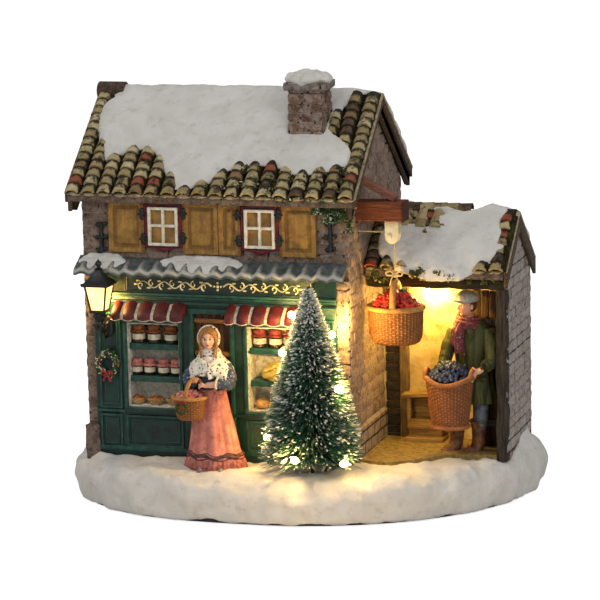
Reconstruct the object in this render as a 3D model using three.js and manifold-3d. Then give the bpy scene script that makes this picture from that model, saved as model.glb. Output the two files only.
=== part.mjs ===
// A lit christmas village shop: a stone shop house with a lean-to shed on a snow base, two
// figures, a bottle-brush tree with its light string, and a basket on a small winding hoist.
// Millimetres, +Z up. Inside the model x = 0 is the house's left wall, y = 0 its front wall
// and z = 0 the underside; the finished group is moved so that the base is centred on x and y.

import * as THREE from 'three';
import { mergeVertices } from 'three/addons/utils/BufferGeometryUtils.js';
import Module from 'manifold-3d';

const wasm = await Module();
wasm.setup();

// Clearances
const RUN_GAP = 0.2;
const SEAT_GAP = 0.3;

// House
const HOUSE_W = 118.1;
const SHED_W = 60.7;
const SHED_X1 = HOUSE_W + SHED_W;
const besideHouse = (points) => points.map(([x, y]) => [HOUSE_W + x, y]);
const besideShed = (points) => points.map(([x, y]) => [SHED_X1 + x, y]);
const HOUSE_D = 83.2;
const WALL_T = 4;
const EAVE_Z = 134.4;
const RIDGE_Z = 172.3;
const ROOF_OVER_FRONT = 4.7;
const ROOF_OVER_LEFT = 5.6;
const ROOF_OVER_RIGHT = 4;
const DECK_T = 3.9;
const VERGE_T = 2.6;
const VERGE_DROP = 4.2;
const PIER_W = 5.1;
const PIER_OUT = 2.4;
const PLINTH_H = 16.3;
const PLINTH_OUT = 1.5;

// Snow base and its underside; its right half keeps its distance from the house and the shed
const BASE_CENTRE = [(SHED_X1 - 3.8) / 2, 28.5];
const BASE_OUTLINE = [
  [-13, 50], [-12.5, 22], [-9, 2], [4, -14], [23, -27], [48, -33.5], [76, -35],
  ...besideHouse([[-14.1, -33], [17.9, -22], [42.9, -4]]),
  ...besideShed([[0.2, 20], [8.2, 48], [7.2, 72], [-6.8, 88]]),
  ...besideHouse([[21.9, 91.5]]),
  [88, 91.5], [40, 91.5], [4, 89], [-9, 76],
];
const BASE_FACETS = 44;
const PLATE_T = 2.4;
const PLATE_INSET = 4;
const GROUND_Z = 20;
const SEAT_Z = 18;
const PAVING_Z = 21.2;

// Barrel tiles, shared by both roofs
const TILE_PITCH = 7.1;
const TILE_ROW = 7.4;
const TILE_W = 6.2;
const TILE_H = 2.3;
const TILE_TAPER = 0.82;
const TILE_SINK = 0.5;
const TILE_LIP = 0.6;
const TILE_STEP = 0.3;
const TILE_NOSE = 0.9;

// Chimney
const CHIMNEY_X = HOUSE_W - 23.4;
const CHIMNEY_Y = 25;
const CHIMNEY_W = 15;
const CHIMNEY_D = 14;
const CHIMNEY_OVER_RIDGE = 6.9;
const CHIMNEY_TOP = RIDGE_Z + CHIMNEY_OVER_RIDGE;
const CHIMNEY_CAP_H = 3.2;
const CHIMNEY_CAP_OUT = 1.4;
const CHIMNEY_SKIRT_H = 4.5;

// Shop front
const FRONT_X = [5, HOUSE_W - PIER_W];
const FRONT_T = 3;
const FRONT_TOP = 98.6;
const WINDOW_W = 24.4;
const WINDOW_Z = [41, 78.5];
const WINDOW_LEFT_X = 19.2;
const WINDOW_RIGHT_X = 73.1;
const DOOR_X = [49.4, 66];
const DOOR_TOP = 83.1;
const DOOR_T = 1.6;
const CASE_DEPTH = 8;
const CASE_T = 0.9;
const SHELF_Z = [54.7, 69.1];
const SHELF_T = 1.6;
const JAR_R = 2;
const JAR_H = 5.4;
const SIGN_X = [20.9, HOUSE_W - 15.1];
const SIGN_Z = [91.5, 98.2];
const SIGN_T = 0.8;
const AWNING_W = 30;
const AWNING_OUT = 5.4;
const AWNING_TOP = 86.7;
const AWNING_FOLD = 83.2;
const AWNING_BOTTOM = 79.5;
const AWNING_LAPS = 5;
const AWNING_LEFT_X = 16.8;
const AWNING_RIGHT_X = 67.4;
const LEDGE_X = [-0.8, HOUSE_W - 0.9];
const LEDGE_BACK_Z = 106;
const LEDGE_FRONT_Z = 100.6;
const LEDGE_OUT = 9;
const LEDGE_T = 1.3;
const LEDGE_WAVE = 6.55;
const LEDGE_RISE = 1.7;

// Upper windows and shutters
const UPPER_X = [28.4, 71.2];
const UPPER_W = 17.2;
const UPPER_Z = [107, 132.4];
const UPPER_OUT = 1.6;
const UPPER_PANE_W = 12.6;
const UPPER_PANE_Z = [111.6, 127.6];
const UPPER_BAR = 1.3;
const SHUTTER_Z = [108.4, 130.4];
const SHUTTER_T = 1.7;
const SHUTTER_RIM = 2.2;
const SHUTTERS = [[12.2, 28.2], [45.8, 61.4], [61.4, 71], [88.6, 104.4]];

// Wreath and lantern
const WREATH_AT = [11, 60.1];
const WREATH_R = 4.3;
const WREATH_TUBE = 1.3;
const LANTERN_X = 11.4;
const LANTERN_Y = -12.8;
const LANTERN_Z = [84.8, 95.8];
const LANTERN_R = [2.6, 4.3];
const LANTERN_BAR = 0.45;

// Shed
const SHED_FRONT_Y = 24;
const SHED_BACK_Y = HOUSE_D - 11.2;
const ALCOVE_Y = 52;
const SHED_WALL_T = 4;
const SHED_EAVE_Z = 101.5;
const SHED_RIDGE_Z = 122.3;
const SHED_RIDGE_Y = 46;
const SHED_OVER_FRONT = 3;
const SHED_OVER_RIGHT = 1.7;
const SHED_VERGE_T = 1.3;
const SHED_DECK_T = 3.2;
const LINTEL_Z = [92.4, 98.6];
const LINTEL_T = 4.4;
const POST_W = 3.3;
const POST_D = 4.4;
const LEAF_W = 14;
const LEAF_Y = 40;

// Hoist: beam, pulley, thread and basket
const HOIST_Y = 14;
const BEAM_L = 20.2;
const BEAM_X1 = HOUSE_W + BEAM_L;
const BEAM_Z = [122.8, 130.4];
const BEAM_D = 9;
const BRACE_T = 1.6;
const PULLEY_REACH = 14.2;
const PULLEY_X = HOUSE_W + PULLEY_REACH;
const PULLEY_Z = 115.8;
const PULLEY_GROOVE_R = 1.25;
const PULLEY_R = 2.3;
const PULLEY_T = 1.8;
const PULLEY_PIN_R = 0.55;
const CHEEK_T = 1.1;
const CHEEK_W = 6;
const THREAD_R = 0.3;
const THREAD_PATH_R = 1.7;
const DRUM_IN = 14.1;
const DRUM_X = HOUSE_W - DRUM_IN;
const DRUM_PATH_R = 4.7;
const DRUM_L = 7;
const KNOT_Z = 99.1;
const KNOT_R = 1.25;
const BASKET_Z = [70, 86];
const BASKET_RX = 11.6;
const BASKET_RY = 9.2;
const HANDLE_R = 1;

// Figures
const WOMAN = [60, -13];
const WAIST_Z = 50.6;
const MAN = [SHED_X1 - 16.8, SHED_FRONT_Y + 8];

// Battery case in the underside
const CELL_R = 7.25;
const CELL_L = 50.5;
const CELL_COUNT = 3;
const CASE_X0 = 16;
const CASE_Y0 = 14;
const CASE_WALL = 1.2;
const CASE_TOP = 17.7;
const DOOR_PANEL_T = 1.5;
const DOOR_HINGE_R = 1;
const SWITCH_W = 9;
const SWITCH_D = 5;
const SWITCH_TRAVEL = 3;

// Tree and light string
const TREE_AT = [HOUSE_W - 13.3, -15.5];
const TREE_Z = [27.5, 98];
const TREE_R = 20.6;
const TREE_SWELL = 1.35;
const STRAND_ROWS = 39;
const STRAND_SIDES = 8;
const STRAND_TILT = 0.14;
const TRUNK_R = 0.95;
const WIRE_R = 0.5;
const WIRE_SEAT = 0.74;
const BULB_R = 1.35;
const BULB_L = 4.4;

const PAINT = {
  snow: ['#dcdad6', 0.75], stone: ['#7d6a60', 0.8], plaster: ['#cbb88d', 0.8],
  tile: ['#b9a67c', 0.7], green: ['#12382f', 0.45], slate: ['#6d7372', 0.55],
  maroon: ['#7c1d1f', 0.5], ochre: ['#a8812f', 0.6], window: ['#7d1626', 0.5],
  cream: ['#d9cfa8', 0.6], darkwood: ['#3a281b', 0.7], wood: ['#7a4526', 0.6],
  greywood: ['#55493f', 0.75], black: ['#17171a', 0.4], glow: ['#ffd98a', 0.35],
  paving: ['#8a7442', 0.85], salmon: ['#c8695a', 0.5], navy: ['#2b3950', 0.5],
  shawl: ['#e6e1d6', 0.5], skin: ['#dfa98a', 0.45], basket: ['#b06f2c', 0.6],
  olive: ['#48502c', 0.55], trouser: ['#4c5866', 0.6], cap: ['#8d8a84', 0.6],
  bristle: ['#2f5c42', 0.8], wire: ['#152018', 0.6], white: ['#e7e3d2', 0.4],
  thread: ['#d8cba2', 0.7], case: ['#202225', 0.5], metal: ['#a9a9ab', 0.35, 0.9],
};

// Solids

function signedVolume(pos, index) {
  let sum = 0;
  for (let i = 0; i < index.length; i += 3) {
    const [a, b, c] = [0, 1, 2].map((k) => new THREE.Vector3().fromArray(pos, index[i + k] * 3));
    sum += a.dot(b.cross(c));
  }
  return sum / 6;
}

function solidFrom(pos, index) {
  const order = signedVolume(pos, index) < 0 ? index.slice().reverse() : index;
  const mesh = new wasm.Mesh({
    numProp: 3,
    vertProperties: new Float32Array(pos),
    triVerts: new Uint32Array(order),
  });
  return new wasm.Manifold(mesh);
}

function solidOf(geometry) {
  const bare = geometry.clone();
  bare.deleteAttribute('normal');
  bare.deleteAttribute('uv');
  const merged = mergeVertices(bare, 1e-4);
  return solidFrom(Array.from(merged.attributes.position.array), Array.from(merged.index.array));
}

function geometryOf(solid) {
  const mesh = solid.getMesh();
  const geometry = new THREE.BufferGeometry();
  const position = new THREE.BufferAttribute(new Float32Array(mesh.vertProperties), 3);
  geometry.setAttribute('position', position);
  geometry.setIndex(Array.from(mesh.triVerts));
  geometry.computeVertexNormals();
  return geometry;
}

function join(solids) {
  return solids.reduce((sum, solid) => sum.add(solid));
}

function cut(solid, tools) {
  return tools.reduce((rest, tool) => rest.subtract(tool), solid);
}

// A copy that stands a little proud all round, which cuts a seat with room to spare.
function grown(solid, by = SEAT_GAP) {
  const geometry = geometryOf(solid);
  const { position, normal } = geometry.attributes;
  for (let i = 0; i < position.count; i += 1) {
    position.setXYZ(i, position.getX(i) + by * normal.getX(i), position.getY(i) + by * normal.getY(i),
      position.getZ(i) + by * normal.getZ(i));
  }
  return solidOf(geometry);
}

// The main body of a solid, without the crumbs that a cut leaves loose.
function whole(solid) {
  return solid.decompose().reduce((best, part) => (part.volume() > best.volume() ? part : best));
}

function block(x0, x1, y0, y1, z0, z1) {
  const geometry = new THREE.BoxGeometry(x1 - x0, y1 - y0, z1 - z0);
  geometry.translate((x0 + x1) / 2, (y0 + y1) / 2, (z0 + z1) / 2);
  return solidOf(geometry);
}

// A flat outline pushed along an axis. Its points are (y, z) for x, (x, z) for y, (x, y) for z.
function prism(points, axis, from, to) {
  const shape = new THREE.Shape(points.map(([a, b]) => new THREE.Vector2(a, b)));
  const options = { depth: to - from, bevelEnabled: false, steps: 1 };
  const geometry = new THREE.ExtrudeGeometry(shape, options);
  if (axis === 'y') {
    geometry.translate(0, 0, -to);
    geometry.rotateX(Math.PI / 2);
  } else {
    geometry.translate(0, 0, from);
  }
  if (axis === 'x') {
    geometry.applyMatrix4(new THREE.Matrix4().set(0, 0, 1, 0, 1, 0, 0, 0, 0, 1, 0, 0, 0, 0, 0, 1));
  }
  return solidOf(geometry);
}

// Rings with the same number of points, skinned in order and closed by a fan at each end.
function loft(rings, ends = {}) {
  const count = rings[0].length;
  const pos = rings.flat(2);
  const index = [];
  for (let i = 0; i + 1 < rings.length; i += 1) {
    for (let j = 0; j < count; j += 1) {
      const a = i * count + j;
      const b = i * count + ((j + 1) % count);
      index.push(a, b, b + count, a, b + count, a + count);
    }
  }
  const fan = (ring, first, flip, apex) => {
    const centre = apex || [0, 1, 2].map((k) => ring.reduce((sum, p) => sum + p[k], 0) / count);
    const at = pos.length / 3;
    pos.push(...centre);
    for (let j = 0; j < count; j += 1) {
      const a = first + j;
      const b = first + ((j + 1) % count);
      index.push(...(flip ? [at, b, a] : [at, a, b]));
    }
  };
  fan(rings[0], 0, true, ends.start);
  fan(rings[rings.length - 1], (rings.length - 1) * count, false, ends.end);
  return solidFrom(pos, index);
}

function oval(cx, cy, z, rx, ry, count, wave = 0, waves = 0, turn = 0) {
  return Array.from({ length: count }, (_, i) => {
    const a = turn + (i / count) * Math.PI * 2;
    const r = 1 + wave * Math.cos(waves * a);
    return [cx + rx * r * Math.cos(a), cy + ry * r * Math.sin(a), z];
  });
}

// A turned or oval form from rows of [z, rx, ry], round a standing axis.
function turned(cx, cy, rows, count = 12) {
  return loft(rows.map(([z, rx, ry = rx]) => oval(cx, cy, z, rx, ry, count)));
}

// A round form whose axis lies along y, from rows of [y, r].
function turnedY(cx, cz, rows, count = 14) {
  return loft(rows.map(([y, r]) => Array.from({ length: count }, (_, i) => {
    const a = (i / count) * Math.PI * 2;
    return [cx + r * Math.cos(a), y, cz + r * Math.sin(a)];
  })));
}

function ball(cx, cy, cz, rx, ry = rx, rz = rx, detail = 1) {
  const geometry = new THREE.IcosahedronGeometry(1, detail);
  geometry.scale(rx, ry, rz);
  geometry.translate(cx, cy, cz);
  return solidOf(geometry);
}

// A limb: round sections of the given radii, square to a path of points.
function limb(path, radii, count = 8) {
  const points = path.map((p) => new THREE.Vector3(...p));
  const rings = points.map((p, i) => {
    const ahead = points[Math.min(i + 1, points.length - 1)];
    const behind = points[Math.max(i - 1, 0)];
    const along = ahead.clone().sub(behind).normalize();
    const side = new THREE.Vector3(0, 0, 1);
    if (Math.abs(along.z) > 0.9) side.set(0, 1, 0);
    const u = side.clone().cross(along).normalize();
    const v = along.clone().cross(u);
    return Array.from({ length: count }, (_, k) => {
      const a = (k / count) * Math.PI * 2;
      const r = radii[i];
      return p.clone().addScaledVector(u, r * Math.cos(a)).addScaledVector(v, r * Math.sin(a)).toArray();
    });
  });
  return loft(rings);
}

// A tube of even section along a smooth curve through points.
function tube(points, radius, sides, steps) {
  const section = new THREE.Shape(Array.from({ length: sides }, (_, i) => {
    const a = (i / sides) * Math.PI * 2;
    return new THREE.Vector2(radius * Math.cos(a), radius * Math.sin(a));
  }));
  const extrudePath = new THREE.CatmullRomCurve3(points.map((p) => new THREE.Vector3(...p)));
  return solidOf(new THREE.ExtrudeGeometry(section, { steps, bevelEnabled: false, extrudePath }));
}

const group = new THREE.Group();
group.name = 'christmas_village_shop';

function add(name, solid, paint) {
  const [color, roughness, metalness = 0] = PAINT[paint];
  const material = new THREE.MeshStandardMaterial({ color, roughness, metalness });
  const mesh = new THREE.Mesh(geometryOf(solid), material);
  mesh.name = name;
  group.add(mesh);
  return solid;
}

// Roof planes

const roofMid = HOUSE_D / 2;
const roofTan = (RIDGE_Z - EAVE_Z) / (roofMid + ROOF_OVER_FRONT);
const roofX = [-ROOF_OVER_LEFT, HOUSE_W + ROOF_OVER_RIGHT];
const shedTan = (SHED_RIDGE_Z - SHED_EAVE_Z) / (SHED_RIDGE_Y - SHED_FRONT_Y + SHED_OVER_FRONT);
const shedX = [HOUSE_W, SHED_X1 + SHED_OVER_RIGHT];

const MAIN_ROOF = {
  top: (y) => RIDGE_Z - roofTan * Math.abs(y - roofMid),
  mid: roofMid,
  tan: roofTan,
  front: -ROOF_OVER_FRONT,
  back: HOUSE_D + ROOF_OVER_FRONT,
  x: roofX,
  deck: DECK_T,
};
const SHED_ROOF = {
  top: (y) => SHED_RIDGE_Z - shedTan * Math.abs(y - SHED_RIDGE_Y),
  mid: SHED_RIDGE_Y,
  tan: shedTan,
  front: SHED_FRONT_Y - SHED_OVER_FRONT,
  back: SHED_BACK_Y + SHED_OVER_FRONT,
  x: shedX,
  deck: SHED_DECK_T,
};

// The V section between two depths below the roof's upper plane.
function roofBand(roof, x0, x1, upper, lower) {
  const { top, front, back, mid } = roof;
  return prism([
    [front, top(front) - upper], [mid, top(mid) - upper], [back, top(back) - upper],
    [back, top(back) - lower], [mid, top(mid) - lower], [front, top(front) - lower],
  ], 'x', x0, x1);
}

// Everything below a roof's upper plane, and a seat gap over it.
function belowRoof(roof) {
  const { mid, x } = roof;
  const front = roof.front - SEAT_GAP;
  const back = roof.back + SEAT_GAP;
  const top = (y) => roof.top(y) + 2 * SEAT_GAP;
  return prism([[front, top(front)], [mid, top(mid)], [back, top(back)], [back, 0], [front, 0]],
    'x', x[0], x[1]);
}

function inside(outline, x, y) {
  let within = false;
  for (let i = 0, j = outline.length - 1; i < outline.length; j = i, i += 1) {
    const [xi, yi] = outline[i];
    const [xj, yj] = outline[j];
    if ((yi > y) !== (yj > y) && x < ((xj - xi) * (y - yi)) / (yj - yi) + xi) within = !within;
  }
  return within;
}

// A run of barrel tiles up a slope: the high lower end of each steps down to the tile below it.
function tileRun(roof, x, first, count, side) {
  const slope = Math.hypot(1, roof.tan);
  const cos = 1 / slope;
  const sin = roof.tan / slope;
  const edge = side > 0 ? roof.front : roof.back;
  const half = TILE_W / 2;
  const ring = (s, scale) => [
    [-half, -TILE_SINK], [-half, TILE_LIP], [-half * 0.5 * scale, TILE_H * scale],
    [half * 0.5 * scale, TILE_H * scale], [half, TILE_LIP], [half, -TILE_SINK],
  ].map(([u, h]) => [x + u, edge + side * (s * cos - h * sin), roof.top(edge) + s * sin + h * cos]);
  const rings = [];
  for (let i = 0; i < count; i += 1) {
    const start = (first + i) * TILE_ROW - (first + i === 0 ? TILE_NOSE : 0);
    rings.push(ring(start, 1), ring((first + i + 1) * TILE_ROW - TILE_STEP, TILE_TAPER));
  }
  return loft(rings);
}

// Tile runs over both slopes, but for the tiles that lie whole under the snow.
function tilesOn(roof, snow) {
  const runs = [];
  const cos = 1 / Math.hypot(1, roof.tan);
  const columns = Math.round((roof.x[1] - roof.x[0]) / TILE_PITCH);
  const pitch = (roof.x[1] - roof.x[0]) / columns;
  for (const side of [1, -1]) {
    const edge = side > 0 ? roof.front : roof.back;
    const rows = Math.floor(Math.abs(roof.mid - edge) / cos / TILE_ROW);
    for (let c = 0; c < columns; c += 1) {
      const x = roof.x[0] + (c + 0.5) * pitch;
      let first = -1;
      for (let r = 0; r <= rows; r += 1) {
        const centre = edge + side * (r + 0.5) * TILE_ROW * cos;
        const covered = [-0.4, 0.4].every((u) => [-0.36, 0.36].every((v) => (
          inside(snow, x + u * pitch, centre + v * TILE_ROW))));
        const open = r < rows && !covered;
        if (open && first < 0) first = r;
        if (!open && first >= 0) {
          runs.push(tileRun(roof, x, first, r - first, side));
          first = -1;
        }
      }
    }
  }
  return join(runs);
}

// A blanket of snow over a plan outline: its edge swells, its middle is thick and its ridge round.
function snowBlanket(outline, centre, roof, thick, round, lumps) {
  const height = (x, y) => {
    const soft = roof.tan * (Math.hypot(y - roof.mid, round) - Math.abs(y - roof.mid));
    const lump = lumps * Math.sin(x * 0.21 + y * 0.13) * Math.sin(y * 0.17 - x * 0.06 + 1);
    return roof.top(y) - soft + lump;
  };
  const ring = (scale, rise) => outline.map(([x, y]) => {
    const px = centre[0] + (x - centre[0]) * scale;
    const py = centre[1] + (y - centre[1]) * scale;
    return [px, py, rise === null ? roof.top(py) - 1.2 : height(px, py) + rise];
  });
  const rings = [ring(1, null), ring(1.012, thick * 0.3), ring(0.975, thick * 0.8),
    ring(0.84, thick), ring(0.46, thick * 1.04)];
  const ends = {
    start: [...centre, roof.top(centre[1]) - 1.2],
    end: [...centre, height(...centre) + thick],
  };
  return loft(rings, ends);
}

const ROOF_SNOW = [
  [-5.6, 44], [-3.6, 40], [2.3, 37], [-1.8, 30.5], [-2.2, 24.5], [1, 19.6], [3.8, 13.8],
  [8, 7.8], [12.2, 8], [17.2, 11.4], [23.5, 12.8], [30, 11.6], [32.4, 8], [37.1, 2.4],
  [42.3, -2.6], [46.8, -5.6], [52.3, -3], [58.2, -1.2], [62.5, 3], [67.5, 5.2], [75.7, 6.6],
  [84.5, 6.7], [90, 3.6],
  ...besideHouse([[-17.3, 3.3], [-8.8, 4], [-1.9, 8], [-1.5, 13], [-7.7, 17.4], [-13.7, 18.2],
    [-13.3, 25], [-11.9, 30.5], [-9.7, 34.6], [-7.1, 38], [-0.7, 40.6], [4.5, 43.6], [4.3, 54],
    [4.5, 66], [4.3, 78], [2.5, 88.3], [-14.1, 88.8]]),
  [88, 88.2],
  [72, 89], [56, 88.3], [40, 88.8], [24, 88.2], [10, 88.8], [-4.8, 88.2], [-5.8, 76], [-5.6, 60],
];
const SHED_SNOW = [
  ...besideHouse([[4.1, 30], [5, 33.4], [13.1, 34.4], [18.1, 35.2], [23.9, 34.9], [29.8, 37],
    [30.9, 41.4], [15.9, 45], [3.9, 47], [0.8, 54], [0.7, 66], [1.5, 75.6], [15.9, 76],
    [29.9, 75.5]]),
  ...besideShed([[-16.8, 76], [-0.2, 75.6], [1.6, 64], [0.8, 52], [-2.8, 43], [-5.8, 38.6],
    [-2.8, 34.4], [-1, 30.8], [-1.4, 26.4], [-4, 22.8], [-10, 21.2], [-13.8, 18.2],
    [-17.8, 16.4], [-23.8, 15.8]]),
  ...besideHouse([[27.3, 16.6], [19.3, 18.4], [10.3, 20.8], [5.5, 25]]),
];

// Snow base

const outlineCurve = new THREE.CatmullRomCurve3(
  BASE_OUTLINE.map(([x, y]) => new THREE.Vector3(x, y, 0)), true);
const baseEdge = outlineCurve.getPoints(BASE_FACETS).slice(0, BASE_FACETS).map((p) => [p.x, p.y]);

function inset([x, y], by) {
  const dx = x - BASE_CENTRE[0];
  const dy = y - BASE_CENTRE[1];
  const scale = 1 - by / Math.hypot(dx, dy);
  return [BASE_CENTRE[0] + dx * scale, BASE_CENTRE[1] + dy * scale];
}

function heap(x, y, cx, cy, rx, ry, height) {
  return height * Math.exp(-(((x - cx) / rx) ** 2) - ((y - cy) / ry) ** 2);
}

function groundAt(x, y) {
  return GROUND_Z + heap(x, y, -4, 6, 12, 16, 4.6) + heap(x, y, SHED_X1 + 5.2, 40, 5.5, 17, 14)
    + heap(x, y, SHED_X1 + 3.2, 66, 6, 14, 7) + heap(x, y, 90, HOUSE_D + 4.8, 60, 5, 4)
    + heap(x, y, HOUSE_W - 0.1, -6, 9, 7, 1.6) + 0.5 * Math.sin(x * 0.19) * Math.sin(y * 0.23 + 0.7);
}

function snowBase() {
  const ripple = (i, k) => 0.9 * Math.sin(i * 1.7 + k) + 0.6 * Math.sin(i * 0.9 + 2 * k);
  const rim = (by, z, rough, k) => baseEdge.map((p, i) => [
    ...inset(p, by + rough * ripple(i, k)), z + 0.5 * rough * ripple(i, k + 2)]);
  const skin = (by) => baseEdge.map((p) => {
    const [x, y] = inset(p, by);
    return [x, y, groundAt(x, y)];
  });
  const scaled = (scale) => baseEdge.map(([x, y]) => {
    const px = BASE_CENTRE[0] + (x - BASE_CENTRE[0]) * scale;
    const py = BASE_CENTRE[1] + (y - BASE_CENTRE[1]) * scale;
    return [px, py, groundAt(px, py)];
  });
  return loft([
    rim(3, PLATE_T, 0, 0), rim(1, 5.2, 0.5, 1), rim(0.2, 10.5, 0.5, 2), rim(1.6, 15.2, 0.6, 3),
    rim(4.6, 18.4, 0.4, 4), skin(9), scaled(0.76), scaled(0.56), scaled(0.3),
  ], { end: [...BASE_CENTRE, GROUND_Z] });
}

// Walls

const under = (y) => MAIN_ROOF.top(y) - DECK_T - SEAT_GAP;
const shedUnder = (y) => SHED_ROOF.top(y) - SHED_DECK_T - SEAT_GAP;
const windowHoles = [WINDOW_LEFT_X, WINDOW_RIGHT_X].map((x) => (
  block(x, x + WINDOW_W, -FRONT_T - 1, WALL_T + 1, WINDOW_Z[0], WINDOW_Z[1])));
const upperHoles = UPPER_X.map((x) => {
  const side = (UPPER_W - UPPER_PANE_W) / 2;
  return block(x + side, x + UPPER_W - side, -1, WALL_T + 1, UPPER_PANE_Z[0], UPPER_PANE_Z[1]);
});

const frontSlab = prism([
  [0, SEAT_Z], [WALL_T, SEAT_Z], [WALL_T, under(WALL_T)], [0, under(0)]], 'x', 0, HOUSE_W);
const cornerPier = block(HOUSE_W - PIER_W, HOUSE_W, -PIER_OUT, 1, SEAT_Z, FRONT_TOP);
const wallFront = cut(frontSlab.add(cornerPier), [...windowHoles, ...upperHoles]);
add('wall_front', wallFront, 'stone');

const backY = HOUSE_D - WALL_T;
const wallBack = prism([
  [backY, SEAT_Z], [HOUSE_D, SEAT_Z], [HOUSE_D, under(HOUSE_D)], [backY, under(backY)],
], 'x', 0, HOUSE_W);
add('wall_back', wallBack, 'stone');

const gableOutline = [
  [WALL_T, SEAT_Z], [backY, SEAT_Z], [backY, under(backY)], [roofMid, under(roofMid)],
  [WALL_T, under(WALL_T)],
];
const gableLeft = prism(gableOutline, 'x', 0, WALL_T);
add('gable_left', gableLeft, 'stone');

const plinth = prism([
  [HOUSE_W, SEAT_Z], [HOUSE_W + PLINTH_OUT, SEAT_Z], [HOUSE_W + PLINTH_OUT, SEAT_Z + PLINTH_H - 1],
  [HOUSE_W, SEAT_Z + PLINTH_H]], 'y', WALL_T, ALCOVE_Y);
const threadZ = PULLEY_Z + THREAD_PATH_R;
const threadHole = loft([HOUSE_W - WALL_T - 1, HOUSE_W + 1].map((x) => (
  Array.from({ length: 12 }, (_, i) => {
    const a = (i / 12) * Math.PI * 2;
    const r = THREAD_R + 0.9;
    return [x, HOIST_Y + r * Math.cos(a), threadZ + r * Math.sin(a)];
  }))));
const gableSlab = prism(gableOutline, 'x', HOUSE_W - WALL_T, HOUSE_W);
const gableRight = cut(gableSlab.add(plinth), [threadHole]);
add('gable_right', gableRight, 'stone');

// Main roof, chimney and roof snow

const chimneyFoot = CHIMNEY_W / 2 + 1.6;
const chimneyBase = MAIN_ROOF.top(CHIMNEY_Y - CHIMNEY_D / 2) - 1;
const skirtTop = chimneyBase + CHIMNEY_SKIRT_H;
const square = (z, w, d) => [[-1, -1], [1, -1], [1, 1], [-1, 1]].map(([u, v]) => [
  CHIMNEY_X + u * w, CHIMNEY_Y + v * d, z]);
const capZ = CHIMNEY_TOP - CHIMNEY_CAP_H;
const half = [CHIMNEY_W / 2, CHIMNEY_D / 2];
const stack = (by) => loft([
  square(chimneyBase - by, chimneyFoot + by, half[1] + 1.2 + by),
  square(skirtTop + by, half[0] + by, half[1] + by),
  square(capZ, half[0] - 0.4 + by, half[1] - 0.4 + by),
  square(capZ + 0.8, half[0] + CHIMNEY_CAP_OUT + by, half[1] + CHIMNEY_CAP_OUT + by),
  square(CHIMNEY_TOP, half[0] + CHIMNEY_CAP_OUT + by, half[1] + CHIMNEY_CAP_OUT + by),
]);

const vergeX = [[-VERGE_T - 0.4, -0.4], [HOUSE_W + 0.4, HOUSE_W + 0.4 + VERGE_T]];
const verges = vergeX.map(([x0, x1]) => roofBand(MAIN_ROOF, x0, x1, DECK_T - 0.5, DECK_T + VERGE_DROP));
const deck = roofBand(MAIN_ROOF, roofX[0], roofX[1], 0, DECK_T);
const mainBelow = belowRoof(MAIN_ROOF);
const chimney = cut(stack(0), [mainBelow]);
const mainBlanket = snowBlanket(ROOF_SNOW, [60, roofMid], MAIN_ROOF, 5.2, 3.4, 0.9);
const chimneySeat = stack(SEAT_GAP);
const mainTiles = cut(tilesOn(MAIN_ROOF, ROOF_SNOW), [grown(mainBlanket, 2 * SEAT_GAP), chimneySeat]);
const mainRoof = whole(join([deck, ...verges, mainTiles]));
add('main_roof', mainRoof, 'tile');

add('roof_snow', whole(cut(mainBlanket, [mainBelow, chimneySeat])), 'snow');
add('chimney', chimney, 'stone');

const chimneySnow = loft([
  oval(CHIMNEY_X, CHIMNEY_Y, CHIMNEY_TOP, half[0] + 0.6, half[1] + 0.6, 16, 0.04, 4),
  oval(CHIMNEY_X, CHIMNEY_Y, CHIMNEY_TOP + 2, half[0] + 1.9, half[1] + 1.8, 16, 0.06, 4),
  oval(CHIMNEY_X, CHIMNEY_Y, CHIMNEY_TOP + 4, half[0] + 0.2, half[1] + 0.2, 16, 0.05, 4),
  oval(CHIMNEY_X, CHIMNEY_Y, CHIMNEY_TOP + 5.2, half[0] * 0.5, half[1] * 0.5, 16),
]);
add('chimney_snow', chimneySnow, 'snow');

// Shop front

const frontPanel = block(FRONT_X[0], FRONT_X[1], -FRONT_T, 0, SEAT_Z, FRONT_TOP);
const doorway = block(DOOR_X[0], DOOR_X[1], -FRONT_T - 1, 1, SEAT_Z - 1, DOOR_TOP);
const moulding = (z, h, out) => prism([
  [-FRONT_T + 0.5, z - h], [-FRONT_T - out * 0.5, z - h], [-FRONT_T - out, z],
  [-FRONT_T + 0.5, z + 0.6]], 'x', FRONT_X[0], FRONT_X[1]);
const sunkPanel = (x0, x1, z0, z1) => block(x0, x1, -FRONT_T - 1, -FRONT_T + 0.7, z0, z1);
const pilasterLeft = [FRONT_X[0] + 1.4, WINDOW_LEFT_X - 3];
const pilasterRight = [WINDOW_RIGHT_X + WINDOW_W + 3, FRONT_X[1] - 1.6];
const riserTop = WINDOW_Z[0] - 3;
const riserBottom = 23.5;
const sunkPanels = [
  ...[pilasterLeft, pilasterRight].flatMap(([x0, x1]) => [
    sunkPanel(x0 + 1, x1 - 1, WINDOW_Z[0] + 2, WINDOW_Z[1] + 3),
    sunkPanel(x0 + 1, x1 - 1, riserBottom, riserTop + 1)]),
  ...[WINDOW_LEFT_X, WINDOW_RIGHT_X].map((x) => (
    sunkPanel(x + 0.6, x + WINDOW_W - 0.6, riserBottom, riserTop))),
];
const sills = [WINDOW_LEFT_X, WINDOW_RIGHT_X].map((x) => (
  block(x - 1.4, x + WINDOW_W + 1.4, -FRONT_T - 1.3, -1, WINDOW_Z[0] - 1.9, WINDOW_Z[0])));
const shopfront = cut(
  join([frontPanel, moulding(90.9, 1.2, 1.3), moulding(87.9, 0.9, 0.8), ...sills]),
  [doorway, ...windowHoles, ...sunkPanels],
);
add('shopfront', shopfront, 'green');

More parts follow.
